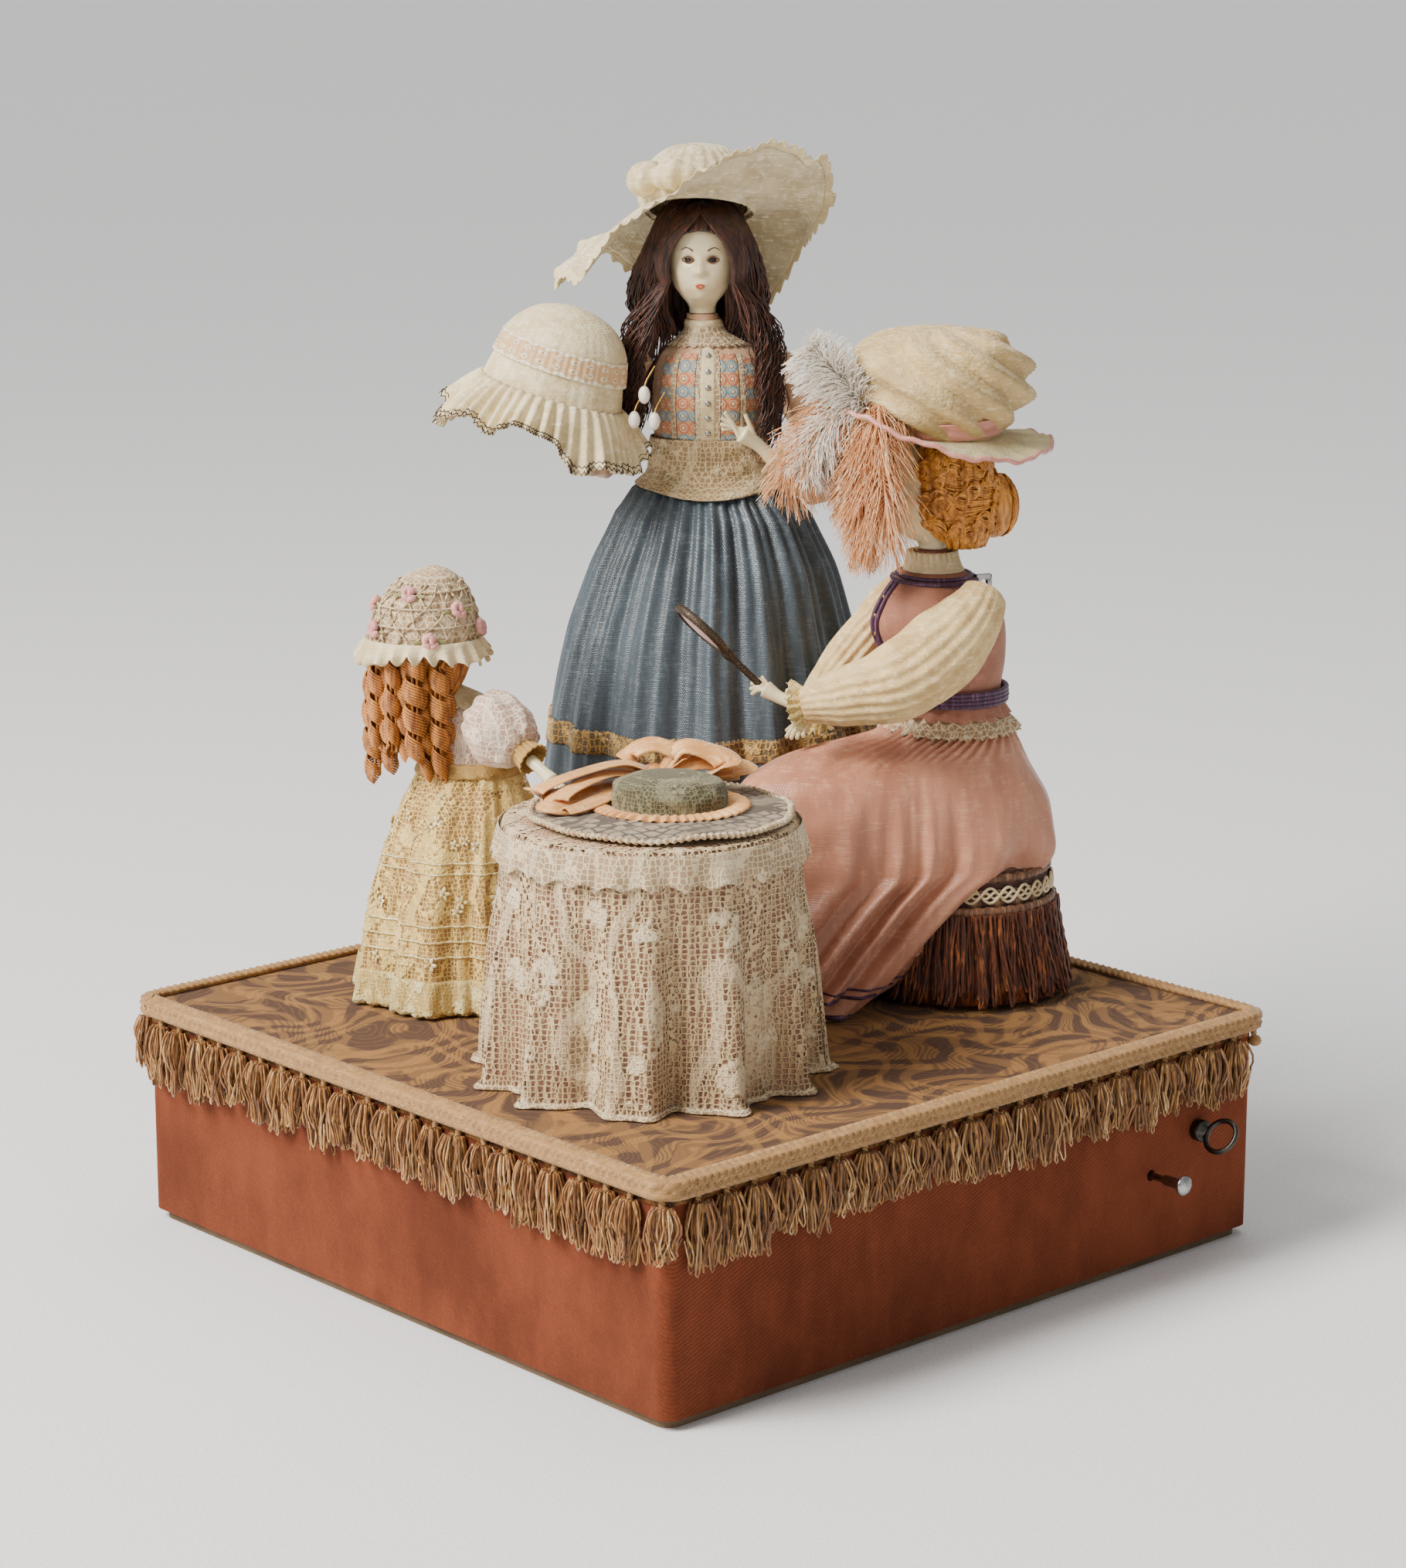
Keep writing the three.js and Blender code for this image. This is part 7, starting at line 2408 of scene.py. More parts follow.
@dataclass
class SeatedLady(Dressed):
    """The lady on the fringed stool, who looks into a hand mirror."""

    stand: ClassVar[Stand] = SEATED

    stool: Form = Form(((0.6, 0, 0, 37, 37), (28, 0, 0, 34, 34), (50, 0, 0, 32.5, 32.5), (56, 0, 0, 30, 30),
                        (59, 0, 0, 22, 22), (60.2, 0, 0, 8, 8), (60.5, 0, 0, 0.5, 0.5)))
    seat: Form = Form(((53, 0, 0, 33.5, 34.5), (58, 0, 0, 35, 36), (66, 0, 0, 35.5, 36),
                       (80, 0, -2, 34, 34), (94, 0, -6, 29, 31), (104, 0, -10, 24, 28),
                       (112.3, 0, -7, 18, 16)))
    lap: Form = Form(((0.6, 6, -85, 33, 26), (14, 5, -77, 31, 31), (43, 2, -65, 29, 40),
                      (60, 0, -59, 28, 44), (76, 0, -56, 27, 43), (89, 0, -53, 24, 41),
                      (98, 0, -47, 17, 30), (103, 0, -38, 9, 16), (104.5, 0, -34, 1, 2)))
    torso: Form = Form((
        (112, 0, -7, 18, 16), (121, 0, -8, 20, 20), (135, 0, -10, 22, 24), (149, 0, -13, 23, 26.5),
        (159, 0, -14, 22, 22), (167, 0, -15, 18, 15), (171, 0, -15.5, 11, 10), (177.7, 0, -16, 6.2, 6.2),
    ))
    hair: Form = Form((
        (179, 0, -5, 11, 10), (184, 0, -6, 15, 13), (190, 0, -9, 17.5, 17.5), (205, 0, -12, 19, 19.5),
        (217, 0, -14, 16.5, 16.5), (225, 0, -15, 8, 9), (226.5, 0, -15, 1, 1),
    ))

    def build_stool(self) -> None:
        """Make the drum stool with its gimp bands and looped fringe."""
        self.put("stool_drum", self.stool.shell(120, 60), GIMP, "gimp_brown", "stool")
        fringe = Form(((1, 0, 0, 42.5, 42.5), (12, 0, 0, 39.8, 39.8), (28, 0, 0, 36.6, 36.6),
                       (36, 0, 0, 35.4, 35.4)))
        chance = random.Random(11)
        paths = []
        for index in range(150):
            angle = TAU * index / 150
            lift = chance.uniform(-0.2, 1.8)
            sway = chance.uniform(-0.09, 0.09)
            low = chance.uniform(1.4, 8.5)
            down, up = [], []
            for step in range(16):
                share = step / 15
                height = lerp(37.5, low, share)
                twist = 0.25 * math.sin(share * 60 + index)
                bend = 0.012 * math.sin(share * 7 + index * 1.7)
                open_loop = 0.012 + 0.034 * share ** 2 * math.sqrt(max(0.0, 1 - share ** 8))
                down.append(fringe.point(angle + sway * share + bend, height, lift + twist))
                up.append(fringe.point(angle + open_loop + sway * share + bend, height, lift + 0.8 - twist))
            paths.append(down + up[::-1])
        loops = Maker.threads(paths, 0.62, 1.0)
        self.put("stool_fringe_loops", loops, BULLION, "fringe_brown", "stool_fringe")

        def under(u: float, v: float) -> Vector:
            """Return the underskirt's point at its shares round and up."""
            angle = u * TAU
            return fringe.point(angle, lerp(2.5, 37, v), -0.9 + 0.35 * math.sin(95 * angle))
        self.put("stool_fringe_back", Maker.skin(570, 5, under), BULLION, "fringe_brown", wall=0.6)
        bands, cream = [], []
        for height, width, proud in ((38.5, 4.0, 2.0), (51.5, 3.2, 1.2)):
            bands.append(self.stool.band(height, width, proud, 160, 0.9, 0.25, 48))
        for side in (-1, 1):
            for height, swing, count in ((45, 2.9, 14), (45, 1.2, 28)):
                cream.append([self.stool.point(TAU * step / 560, height + side * swing * math.sin(
                    count * TAU * step / 560), 1.7 + 0.35 * side * math.cos(count * TAU * step / 560))
                    for step in range(561)])
        for index in range(30):
            middle = TAU * index / 30
            scroll = []
            for step in range(17):
                turn = step / 16 * TAU * 1.3
                reach = lerp(0.062, 0.018, step / 16)
                scroll.append(self.stool.point(middle + reach * math.cos(turn),
                                               45 + 34 * reach * math.sin(turn), 1.3))
            bands.append(Maker.threads([scroll], 0.5, 0.8, 1))
        self.put("stool_gimp_bands", Maker.merged(bands), GIMP_CORD, "gimp_brown")
        self.put("stool_zigzag_braid", Maker.threads(cream, 0.6, 1.0, 1), EDGE_LACE, "gimp_brown")

    def ovals(self, height: float) -> list[list[float]]:
        """Return the seat's and the lap's ovals at a height: x, y, half width and half depth.

        Args:
            height: The height in millimetres.

        Returns:
            The rows.
        """
        lap = self.lap.row(min(height, self.lap.high()))[1:]
        if height > self.seat.low():
            return [self.seat.row(height)[1:]] + ([lap] if height < self.lap.high() else [])
        share = (self.seat.low() - height) / self.seat.low()
        seat = self.seat.row(self.seat.low())[1:]
        return [[lerp(a, b, share ** 0.7) for a, b in zip(seat, lap)], lap]

    def middle(self, height: float) -> Vector:
        """Return the point at a height that the skirt's folds are measured round.

        Args:
            height: The height in millimetres.

        Returns:
            The point.
        """
        seat = self.ovals(height)[0]
        lap = self.lap.row(min(height, 100.0))[1:]
        share = 0.5 * smooth((110 - height) / 14)
        return Vector((lerp(seat[0], lap[0], share), lerp(seat[1], lap[1], share), height))

    def draped(self, angle: float, height: float) -> Vector:
        """Return where cloth pulled tight round the seat and the lap lies at an angle.

        Args:
            angle: The direction round, in radians.
            height: The height in millimetres.

        Returns:
            The point.
        """
        centre = self.middle(height)
        ovals = self.ovals(height)
        reach = 200.0
        for step in range(-15, 16):
            facing = angle + step * 0.1
            nx, ny = math.cos(facing), math.sin(facing)
            held = max((x - centre.x) * nx + (y - centre.y) * ny + math.hypot(wide * nx, deep * ny)
                       for x, y, wide, deep in ovals)
            reach = min(reach, held / max(0.02, math.cos(step * 0.1)))
        return Vector((centre.x + reach * math.cos(angle), centre.y + reach * math.sin(angle), height))

    def fold(self, place: Vector) -> float:
        """Return how deep the skirt's folds lie at a place.

        Args:
            place: The place on the skirt.

        Returns:
            The depth in millimetres.
        """
        middle = self.middle(clamp(place.z, 0.6, 112.3))
        angle = math.atan2(place.y - middle.y, place.x - middle.x)
        fall = smooth((104 - place.z) / 70)
        waist = smooth((place.z - 92) / 14)
        broad = (1.0 + 2.2 * fall) * fall * gathers(angle, 13) + 0.8 * fall * gathers(angle, 29, 2.0)
        crumple = 1.2 * wobble(place.x * 0.05, place.y * 0.05, place.z * 0.08) * (1 - waist)
        return broad + 0.7 * waist * math.sin(38 * angle) + crumple

    def build_skirt(self) -> None:
        """Make the silk skirt over the seat and the lap, with the purple trim at its hem."""
        levels = tuple((level,) for level in (0.6, 12.0, 26.0, 40.0, 52.0, 64.0, 75.0, 84.0, 91.0, 96.0,
                                              100.0, 102.5, 104.2, 106.0, 109.0, 112.3))
        mesh = Maker.skin(240, 80, lambda u, v: self.draped(u * TAU, spline(levels, v)[0]))
        inside = [vert for vert in mesh.verts if not vert.is_boundary]
        for _ in range(10):
            bmesh.ops.smooth_vert(mesh, verts=inside, factor=0.5, use_axis_x=True, use_axis_y=True,
                                  use_axis_z=True)
        mesh.normal_update()
        for vert in inside:
            vert.co += vert.normal * self.fold(vert.co)
        Maker.filled(mesh)
        self.put("rose_skirt", mesh, ROSE_SILK, "rose_silk", "seated_skirt")

        def edge(level: Callable[[float], float], size: float, name: str, finish: Finish) -> None:
            """Add a gathered edge to the tunic at the height of each angle.

            Args:
                level: Gives the height at an angle.
                size: The edge's size.
                name: The piece's name.
                finish: Its finish.
            """
            path = []
            for step in range(241):
                angle = TAU * step / 240
                height = level(angle)
                point = self.draped(angle, height)
                out = (point - self.middle(height)).normalized()
                path.append(point + out * (self.fold(point) + 0.5))
            self.put(name, Maker.threads([path], size, 1.0, 2), finish, "rose_silk")
        edge(lambda angle: 2.2, 1.1, "rose_hem_cord", PURPLE)
        edge(lambda angle: 9.5, 0.7, "rose_hem_braid", PURPLE)
        edge(lambda angle: 12.2, 0.45, "rose_hem_line", PURPLE)

    def build_torso(self) -> None:
        """Make the fitted vest with its braid, peplum and collar."""
        front = -math.pi / 2
        self.put("rose_vest", self.torso.shell(120, 80, lambda angle, height: (
            0.22 * wobble(angle * 6, height * 0.1, 1)
            + 0.25 * math.sin(24 * angle) * smooth((128 - height) / 14)
        )), ROSE_VEST, "rose_vest", "seated_torso")

        def hem(u: float, v: float) -> Vector:
            """Return the jacket's hem at its shares round and down.

            Args:
                u: The share round.
                v: The share down.

            Returns:
                The point.
            """
            angle = u * TAU
            flare = 1.0 + 5.4 * v + 1.1 * math.sin(22 * angle) * v
            return self.torso.point(angle, lerp(119, 113.2, v) - 2.8 * abs(math.sin(6 * angle)) * v * 0.4,
                                    flare)
        self.put("vest_peplum", Maker.skin(240, 6, hem), ROSE_VEST, "rose_vest", wall=0.5)

        def lace(u: float, v: float) -> Vector:
            """Return the lace's point at its shares round and across.

            Args:
                u: The share round.
                v: The share across.

            Returns:
                The point.
            """
            angle = u * TAU
            flare = 2.2 + 8.0 * v + 1.5 * math.sin(26 * angle + 1) * v
            return self.torso.point(angle, lerp(116, 107.5, v) - 1.2 * abs(math.sin(39 * angle)) * v, flare)
        under = self.put("vest_lace_peplum", Maker.skin(330, 7, lace), CROCHET, "rose_vest", wall=0.35)
        Maker.sheet(under, 0.15, Held.GATHERED, ["rose_vest"])
        cords = []
        for level, lift in ((118.5, 3.4), (121.5, 2.6), (166.5, 0.7)):
            cords.append([self.torso.point(TAU * step / 90, level, lift) for step in range(91)])
            cords.append([self.torso.point(TAU * step / 90, level + 1.5, lift - 0.3) for step in range(91)])
        for side in (-0.09, 0.09):
            cords.append([self.torso.point(front + side, lerp(119, 166, step / 30), 0.6)
                          for step in range(31)])
        self.put("vest_braid", Maker.threads(cords, 1.0, 1.0, 2), PURPLE, "rose_vest")
        ruff = Maker.skin(240, 8, lambda u, v: self.torso.point(
            u * TAU, lerp(170.0, 177.5, v), 0.8 + 2.2 * v + 0.9 * math.sin(24 * u * TAU) * v))
        self.put("vest_neck_ruff", ruff, EDGE_LACE, "rose_vest", wall=0.35)
        beads = [Maker.ball(self.torso.point(front, 124 + index * 7.2, 0.9), (0.95, 0.6, 0.95), columns=12)
                 for index in range(6)]
        self.put("vest_buttons", Maker.merged(beads), BRASS, "brass")

    def sleeve(self, tube: Tube, name: str, body: str, *nodes: str) -> None:
        """Make a full pleated gauze sleeve.

        Args:
            tube: The sleeve's path and radii.
            name: The piece's name.
            body: The body that it moves with.
            nodes: The nodes of the CAD model that it stands for.
        """
        def relief(angle: float, share: float) -> float:
            """Return how proud the sleeve's pleats stand.

            Args:
                angle: The direction round, in radians.
                share: The share of the way along.

            Returns:
                The lift in millimetres.
            """
            pleat = 0.5 * math.sin(19 * angle + 2.0 * math.sin(share * 4))
            crease = 0.3 * math.sin(share * 34 + 2.0 * math.sin(2 * angle + share * 5))
            return (pleat + crease) * math.sin(math.pi * clamp(share * 0.94 + 0.03)) + 0.6 * wobble(
                math.cos(angle) * 2, math.sin(angle) * 2, share * 8)
        self.put(name, tube.shell(130, 60, relief, 0.05), SLEEVE_GAUZE, "cream_cotton", *nodes, body=body)

    def cuff(self, name: str, place: Vector, ahead: Vector, body: str) -> None:
        """Make a flared lace cuff that faces along a direction.

        Args:
            name: The piece's name.
            place: The middle of the wrist.
            ahead: The direction of the hand.
            body: The body that it moves with.
        """
        turn = ahead.to_track_quat("Z", "Y").to_matrix().to_4x4()
        mesh = Maker.skin(200, 10, lambda u, v: Vector((
            (4.6 + 5.0 * v + 1.0 * math.sin(16 * u * TAU) * v) * math.cos(u * TAU),
            (4.6 + 5.0 * v + 1.0 * math.sin(16 * u * TAU) * v) * math.sin(u * TAU),
            lerp(-2.5, 5.0, v) - 1.0 * abs(math.sin(12 * u * TAU)) * v)))
        mesh.transform(Matrix.Translation(place) @ turn)
        self.put(name, mesh, HEM_LACE, "cream_cotton", body=body, wall=0.35)

    def build_arms(self) -> None:
        """Make the arm that lifts the mirror and the arm that lies on the lap."""
        body = "seated_arm_body"
        left = Tube(((31, -6, 166), (36, -15, 156), (38, -29, 144), (34, -44, 133), (22, -61, 126),
                     (11.5, -74.5, 121.6)), (8.0, 12.5, 15.5, 14.8, 11.0, 6.8), (1, 0, 0.2))
        self.sleeve(left, "mirror_arm_sleeve", body, "seated_left_sleeve")
        ahead, _, _ = left.axes(0.97)
        self.cuff("mirror_arm_cuff", left.centre(0.97), ahead, body)
        pivot = Maker.threads([[(18, -7, 165), (32, -7, 165)]], 1.5, 1.0, 2)
        self.put("left_arm_pin", pivot, STEEL, "steel", body=body)
        palm = Tube(((10.5, -75.8, 121.8), (5.5, -81.5, 124), (1.2, -86, 127)), (2.9, 2.5, 3.7), (0, 0, 1))
        DollHand("mirror_hand_cast", palm, ((-3.6, -88.5, 130.2), (-3.4, -90, 128.4), (-2.6, -90.6, 126.4),
                                            (-1.4, -90.4, 124.6)), (-4.2, -85.2, 130.4)).build(
            SEATED, body, "seated_left_hand")
        self.build_mirror(body)
        right = Tube(((-26, -10, 164), (-33, -14, 155), (-35, -26, 139), (-29, -46, 120),
                      (-18.5, -57.5, 112.8)), (6.6, 9.4, 11.0, 10.2, 6.2), (1, 0, 0.2))
        self.sleeve(right, "lap_arm_sleeve", "base", "seated_right_arm")
        ahead, _, _ = right.axes(0.97)
        self.cuff("lap_arm_cuff", right.centre(0.97), ahead, "base")
        palm = Tube(((-18.5, -57.5, 112.6), (-12.5, -63.5, 110.2), (-8, -68, 108.2)), (2.8, 2.4, 3.7),
                    (0, 0, 1))
        DollHand("lap_hand_cast", palm, ((-5.2, -74.6, 105.6), (-3.2, -73.4, 105.4), (-1.8, -71.4, 105.6),
                                         (-1.2, -69, 106.2)), (-9, -73.2, 107.2)).build(SEATED, "base")

    def build_mirror(self, body: str) -> None:
        """Make the hand mirror: handle, glittered rim, glass and pink back.

        Args:
            body: The body that it moves with.
        """
        grip = Vector((-1, -86, 127))
        axis = Vector((-0.12, -0.7, 0.7)).normalized()
        face = Vector((0.0, 0.7, 0.7)).normalized()
        side = axis.cross(face).normalized()
        face = side.cross(axis).normalized()
        stand = Matrix.Translation(grip) @ Matrix((side, axis, face)).transposed().to_4x4()
        profile = ((-7, 0.6), (-6, 1.9), (-3, 2.1), (1, 1.5), (9, 1.4), (16, 1.5), (19, 2.2), (22.5, 1.6))
        handle = Maker.skin(24, 40, lambda u, v: Vector((spline(profile, v)[1] * math.cos(u * TAU),
                                                         spline(profile, v)[0], spline(profile, v)[1]
                                                         * math.sin(u * TAU))))
        Maker.filled(handle)
        rim = Maker.skin(96, 14,
                         lambda u, v: Vector(((11.6 + 1.7 * math.cos(v * TAU)) * math.cos(u * TAU),
                                              34 + (11.6 + 1.7 * math.cos(v * TAU)) * math.sin(u * TAU),
                                              1.7 * math.sin(v * TAU))))
        back = Maker.skin(96, 12, lambda u, v: Vector((
            11.4 * v * math.cos(u * TAU), 34 + 11.4 * v * math.sin(u * TAU), -0.5 - 1.1 * (1 - v * v))))
        glass = Maker.skin(96, 6, lambda u, v: Vector((
            11.2 * v * math.cos(u * TAU), 34 + 11.2 * v * math.sin(u * TAU), 0.5)))
        frame_mesh = Maker.merged([handle, rim])
        for mesh, name, finish, wall in ((frame_mesh, "mirror_frame", BRONZE, 0.0),
                                         (back, "mirror_back", ROSEBUD, 0.4),
                                         (glass, "mirror_glass", MIRROR, 0.3)):
            mesh.transform(stand)
            self.put(name, mesh, finish, "dark_bronze",
                     *(("hand_mirror",) if name == "mirror_frame" else ()), body=body, wall=wall)

    def build_head(self) -> None:
        """Make the head, the rolled hair and its bun."""
        body = "seated_head_body"
        DollHead("seated", 45.5, (0, -16, 178.3), body, SEATED).build("seated_head")
        front = -math.pi / 2

        def mass(u: float, v: float) -> Vector:
            """Return the hair's point at its shares round and up.

            Args:
                u: The share round.
                v: The share up.

            Returns:
                The point.
            """
            angle = front + 0.72 + (TAU - 1.44) * u
            height = lerp(self.hair.low(), self.hair.high(), v)
            lock = 0.5 * math.sin(22 * angle + 3 * math.sin(height * 0.12)) + 0.35 * math.sin(53 * angle)
            return self.hair.point(angle, height, lock - 0.4)
        self.put("golden_hair_mass", Maker.skin(130, 32, mass, welded=False), GOLD_HAIR, "gold_hair",
                 "seated_hair", body=body, wall=1.2)

        def swept(share: float, chance: random.Random) -> list[Vector]:
            """Return the path of a strand that is swept up to the knot.

            Args:
                share: The share of the way along.
                chance: The source of the strand's chances.

            Returns:
                The path.
            """
            angle = front + 0.7 + (TAU - 1.4) * share
            low = chance.uniform(183, 222)
            lift = chance.uniform(0.1, 1.2)
            target = math.pi / 2
            path = []
            for step in range(14):
                part = step / 13
                turned = lerp(angle, target, smooth(part) * 0.92)
                height = lerp(low, lerp(low, 198, 0.75), part)
                path.append(self.hair.point(turned, height, lift + 0.4 * math.sin(part * 9 + share * 60)))
            return path
        strands = Maker.threads(Locks(330, 7).paths(swept), 0.38, 0.8)
        self.put("golden_swept_strands", strands, GOLD_HAIR, "gold_hair", body=body)
        bun = Maker.skin(64, 40, lambda u, v: Vector((
            13 * math.sin(v * math.pi) * math.cos(u * TAU), 9 + 9 * math.cos(v * math.pi),
            194 + 13 * math.sin(v * math.pi) * math.sin(u * TAU))))
        self.put("golden_bun", bun, GOLD_HAIR, "gold_hair", body=body)
        chance = random.Random(3)
        coils = []
        for index in range(260):
            turn = chance.uniform(0, TAU)
            reach = chance.uniform(3.0, 12.6)
            arc = chance.uniform(0.8, 2.2)
            path = []
            for step in range(12):
                part = step / 11
                angle = turn + arc * part
                away = reach + chance.uniform(-0.15, 0.15)
                bulge = 9 * math.sqrt(max(0.0, 1 - (away / 13.4) ** 2)) + 0.4 * math.sin(part * 8 + index)
                path.append(Vector((away * math.cos(angle), 9.5 + bulge, 194 + away * math.sin(angle))))
            coils.append(path)
        self.put("golden_bun_strands", Maker.threads(coils, 0.34, 0.7), GOLD_HAIR, "gold_hair", body=body)
        curls = []
        for index in range(95):
            around = chance.uniform(-0.9, math.pi + 0.9)
            level = chance.uniform(184, 219)
            size = chance.uniform(2.2, 3.8)
            begin = chance.uniform(0, TAU)
            for strand in range(6):
                path = []
                for step in range(16):
                    part = step / 15
                    spin = begin + part * 8.5
                    reach = size * (1 - 0.45 * part) - strand * 0.12
                    lift = 0.8 + 1.5 * math.sin(part * math.pi) + 0.35 * math.sin(strand * 1.05)
                    path.append(self.hair.point(around + (reach * math.cos(spin) + strand * 0.3) / 17,
                                                clamp(level + reach * math.sin(spin) + strand * 0.42,
                                                      180, 225), lift))
                curls.append(path)
        self.put("golden_curls", Maker.threads(curls, 0.34, 0.7), GOLD_HAIR, "gold_hair", body=body)
        self.build_hat(body)
        self.build_plume(body)

    def build_hat(self, body: str) -> None:
        """Make the hat: an upturned olive brim, a rolled gauze crown and a pink ribbon.

        Args:
            body: The body that it moves with.
        """
        def rise(angle: float) -> float:
            """Return the brim's lift at an angle."""
            return -8 * math.sin(angle) - 5 * math.cos(2 * angle)

        def brim(u: float, v: float) -> Vector:
            """Return the brim's point at its shares round and outwards.

            Args:
                u: The share round.
                v: The share outwards.

            Returns:
                The point.
            """
            angle = u * TAU
            wide, deep = lerp(20, 41.5, v), lerp(20, 44.5, v)
            ruffle = (0.7 * math.sin(11 * angle) + 0.4 * math.sin(29 * angle)) * v ** 2
            return Vector((wide * math.cos(angle), -14 + deep * math.sin(angle),
                           lerp(222.5, 223.5, v) + rise(angle) * v ** 1.3 + ruffle))
        self.put("seated_hat_brim", Maker.skin(220, 20, brim), OLIVE_BRIM, "gauze", "seated_hat",
                 body=body, wall=1.2)
        rim = [brim(step / 180, 1.0) for step in range(181)]
        self.put("seated_brim_edge", Maker.threads([rim], 1.0, 1.0, 2), PINK_RIBBON, "gauze", body=body)
        rows = ((222, 22.5), (227, 26), (233, 31), (240, 34.3), (247, 34.6), (254, 31.5), (259, 26),
                (262.5, 18), (264, 9), (264.4, 0.01))

        def crown(u: float, v: float) -> Vector:
            """Return the soft crown's point at its shares round and up.

            Args:
                u: The share round.
                v: The share up.

            Returns:
                The point.
            """
            height, reach = spline(rows, v)
            angle = u * TAU
            swirl = angle + height * 0.05
            fold = 2.6 * math.sin(7 * swirl + 1.8 * math.sin(2 * angle)
                                  + 0.12 * height) + 0.7 * math.sin(31 * swirl)
            soft = 2.0 * wobble(2.2 * math.cos(angle), 2.2 * math.sin(angle), height * 0.09)
            reach = max(0.01, reach + (fold + soft) * smooth((1 - v) * 5) * smooth(v * 6))
            return Vector((reach * math.cos(angle), -14 + reach * math.sin(angle), height))
        made = self.put("seated_hat_crown", Maker.skin(250, 46, crown), OCHRE_GAUZE, "gauze", body=body,
                        wall=0.8)
        Maker.sheet(made, 0.24, Held.GATHERED, ["seated_hat_brim"])

        def ribbon(u: float, v: float) -> Vector:
            """Return the hat ribbon's point at its shares round and up.

            Args:
                u: The share round.
                v: The share up.

            Returns:
                The point.
            """
            angle = u * TAU
            height = lerp(223.2, 230.5, v) + 1.0 * math.sin(2 * angle)
            reach = 24 + 0.55 * (height - 223) + 0.5 * math.sin(v * 9 + 2 * math.sin(4 * angle))
            return Vector((reach * math.cos(angle), -14 + reach * math.sin(angle), height))
        self.put("seated_hat_ribbon", Maker.skin(200, 12, ribbon), PINK_RIBBON, "gauze", body=body,
                 wall=0.5)

    def build_plume(self, body: str) -> None:
        """Make the white marabou and the peach feathers that fall over the brim.

        Args:
            body: The body that it moves with.
        """
        chance = random.Random(21)

        def feather(spine: Tube, count: int, reach: float, droop: float) -> list[list[Vector]]:
            """Return the barbs of a feather along its spine.

            Args:
                spine: The feather's shaft.
                count: The number of barbs.
                reach: How long they are.
                droop: How far their ends drop.

            Returns:
                The paths.
            """
            barbs = [[spine.centre(step / 20) for step in range(21)]]
            for index in range(count):
                share = clamp(index / count + chance.uniform(-0.01, 0.01), 0.0, 1.0)
                angle = chance.uniform(0, TAU)
                start = spine.centre(share)
                out = spine.point(angle, share) - start
                size = out.length or 1.0
                length = size * reach * chance.uniform(0.75, 1.12)
                ahead, _, _ = spine.axes(share)
                out = (out / size + ahead * chance.uniform(0.2, 0.9)).normalized()
                path = []
                for step in range(6):
                    part = step / 5
                    sway = Vector((math.sin(part * 6 + index), math.cos(part * 5 + index * 2),
                                   0)) * 0.5 * part
                    path.append(start + out * (length * part) + sway * 1.6
                                - Vector((0, 0, droop * part * part)))
                barbs.append(path)
            return barbs
        white = Tube(((9, -47, 234), (3, -58, 248), (-3, -66, 257)), (11, 15, 11))
        puff = Tube(((6, -48, 240), (4, -62, 228), (2, -68, 214)), (11, 14, 10))
        fluff = feather(white, 1400, 1.05, 3.5) + feather(puff, 1000, 1.0, 5.0)
        self.put("marabou_plume", Maker.threads(fluff, 0.3, 0.35), PLUME, "feather", "feather_plume",
                 body=body)
        first = Tube(((9, -46, 238), (16, -50, 222), (15, -50, 203), (12, -50, 182)), (11, 13, 12, 5))
        second = Tube(((6, -42, 234), (6, -50, 218), (8, -52, 200)), (9, 12, 8))
        third = Tube(((17, -38, 236), (22, -42, 222), (20, -42, 208)), (8, 9, 6))
        fifth = Tube(((16, -46, 238), (24, -48, 224), (27, -47, 206), (24, -46, 190)), (8, 11, 10, 5))
        sixth = Tube(((2, -52, 240), (-2, -66, 226), (-4, -76, 208)), (9, 11, 7))
        barbs = (feather(first, 1200, 1.15, 8.0) + feather(second, 850, 1.1, 7.0)
                 + feather(third, 260, 1.0, 6.0))
        barbs += feather(fifth, 300, 1.6, 12.0) + feather(sixth, 420, 1.6, 9.0)
        self.put("peach_feathers", Maker.threads(barbs, 0.32, 0.35), PEACH_PLUME, "feather", body=body)

    def build(self) -> None:
        """Make the whole figure."""
        self.build_stool()
        self.build_skirt()
        self.build_torso()
        self.build_arms()
        self.build_head()


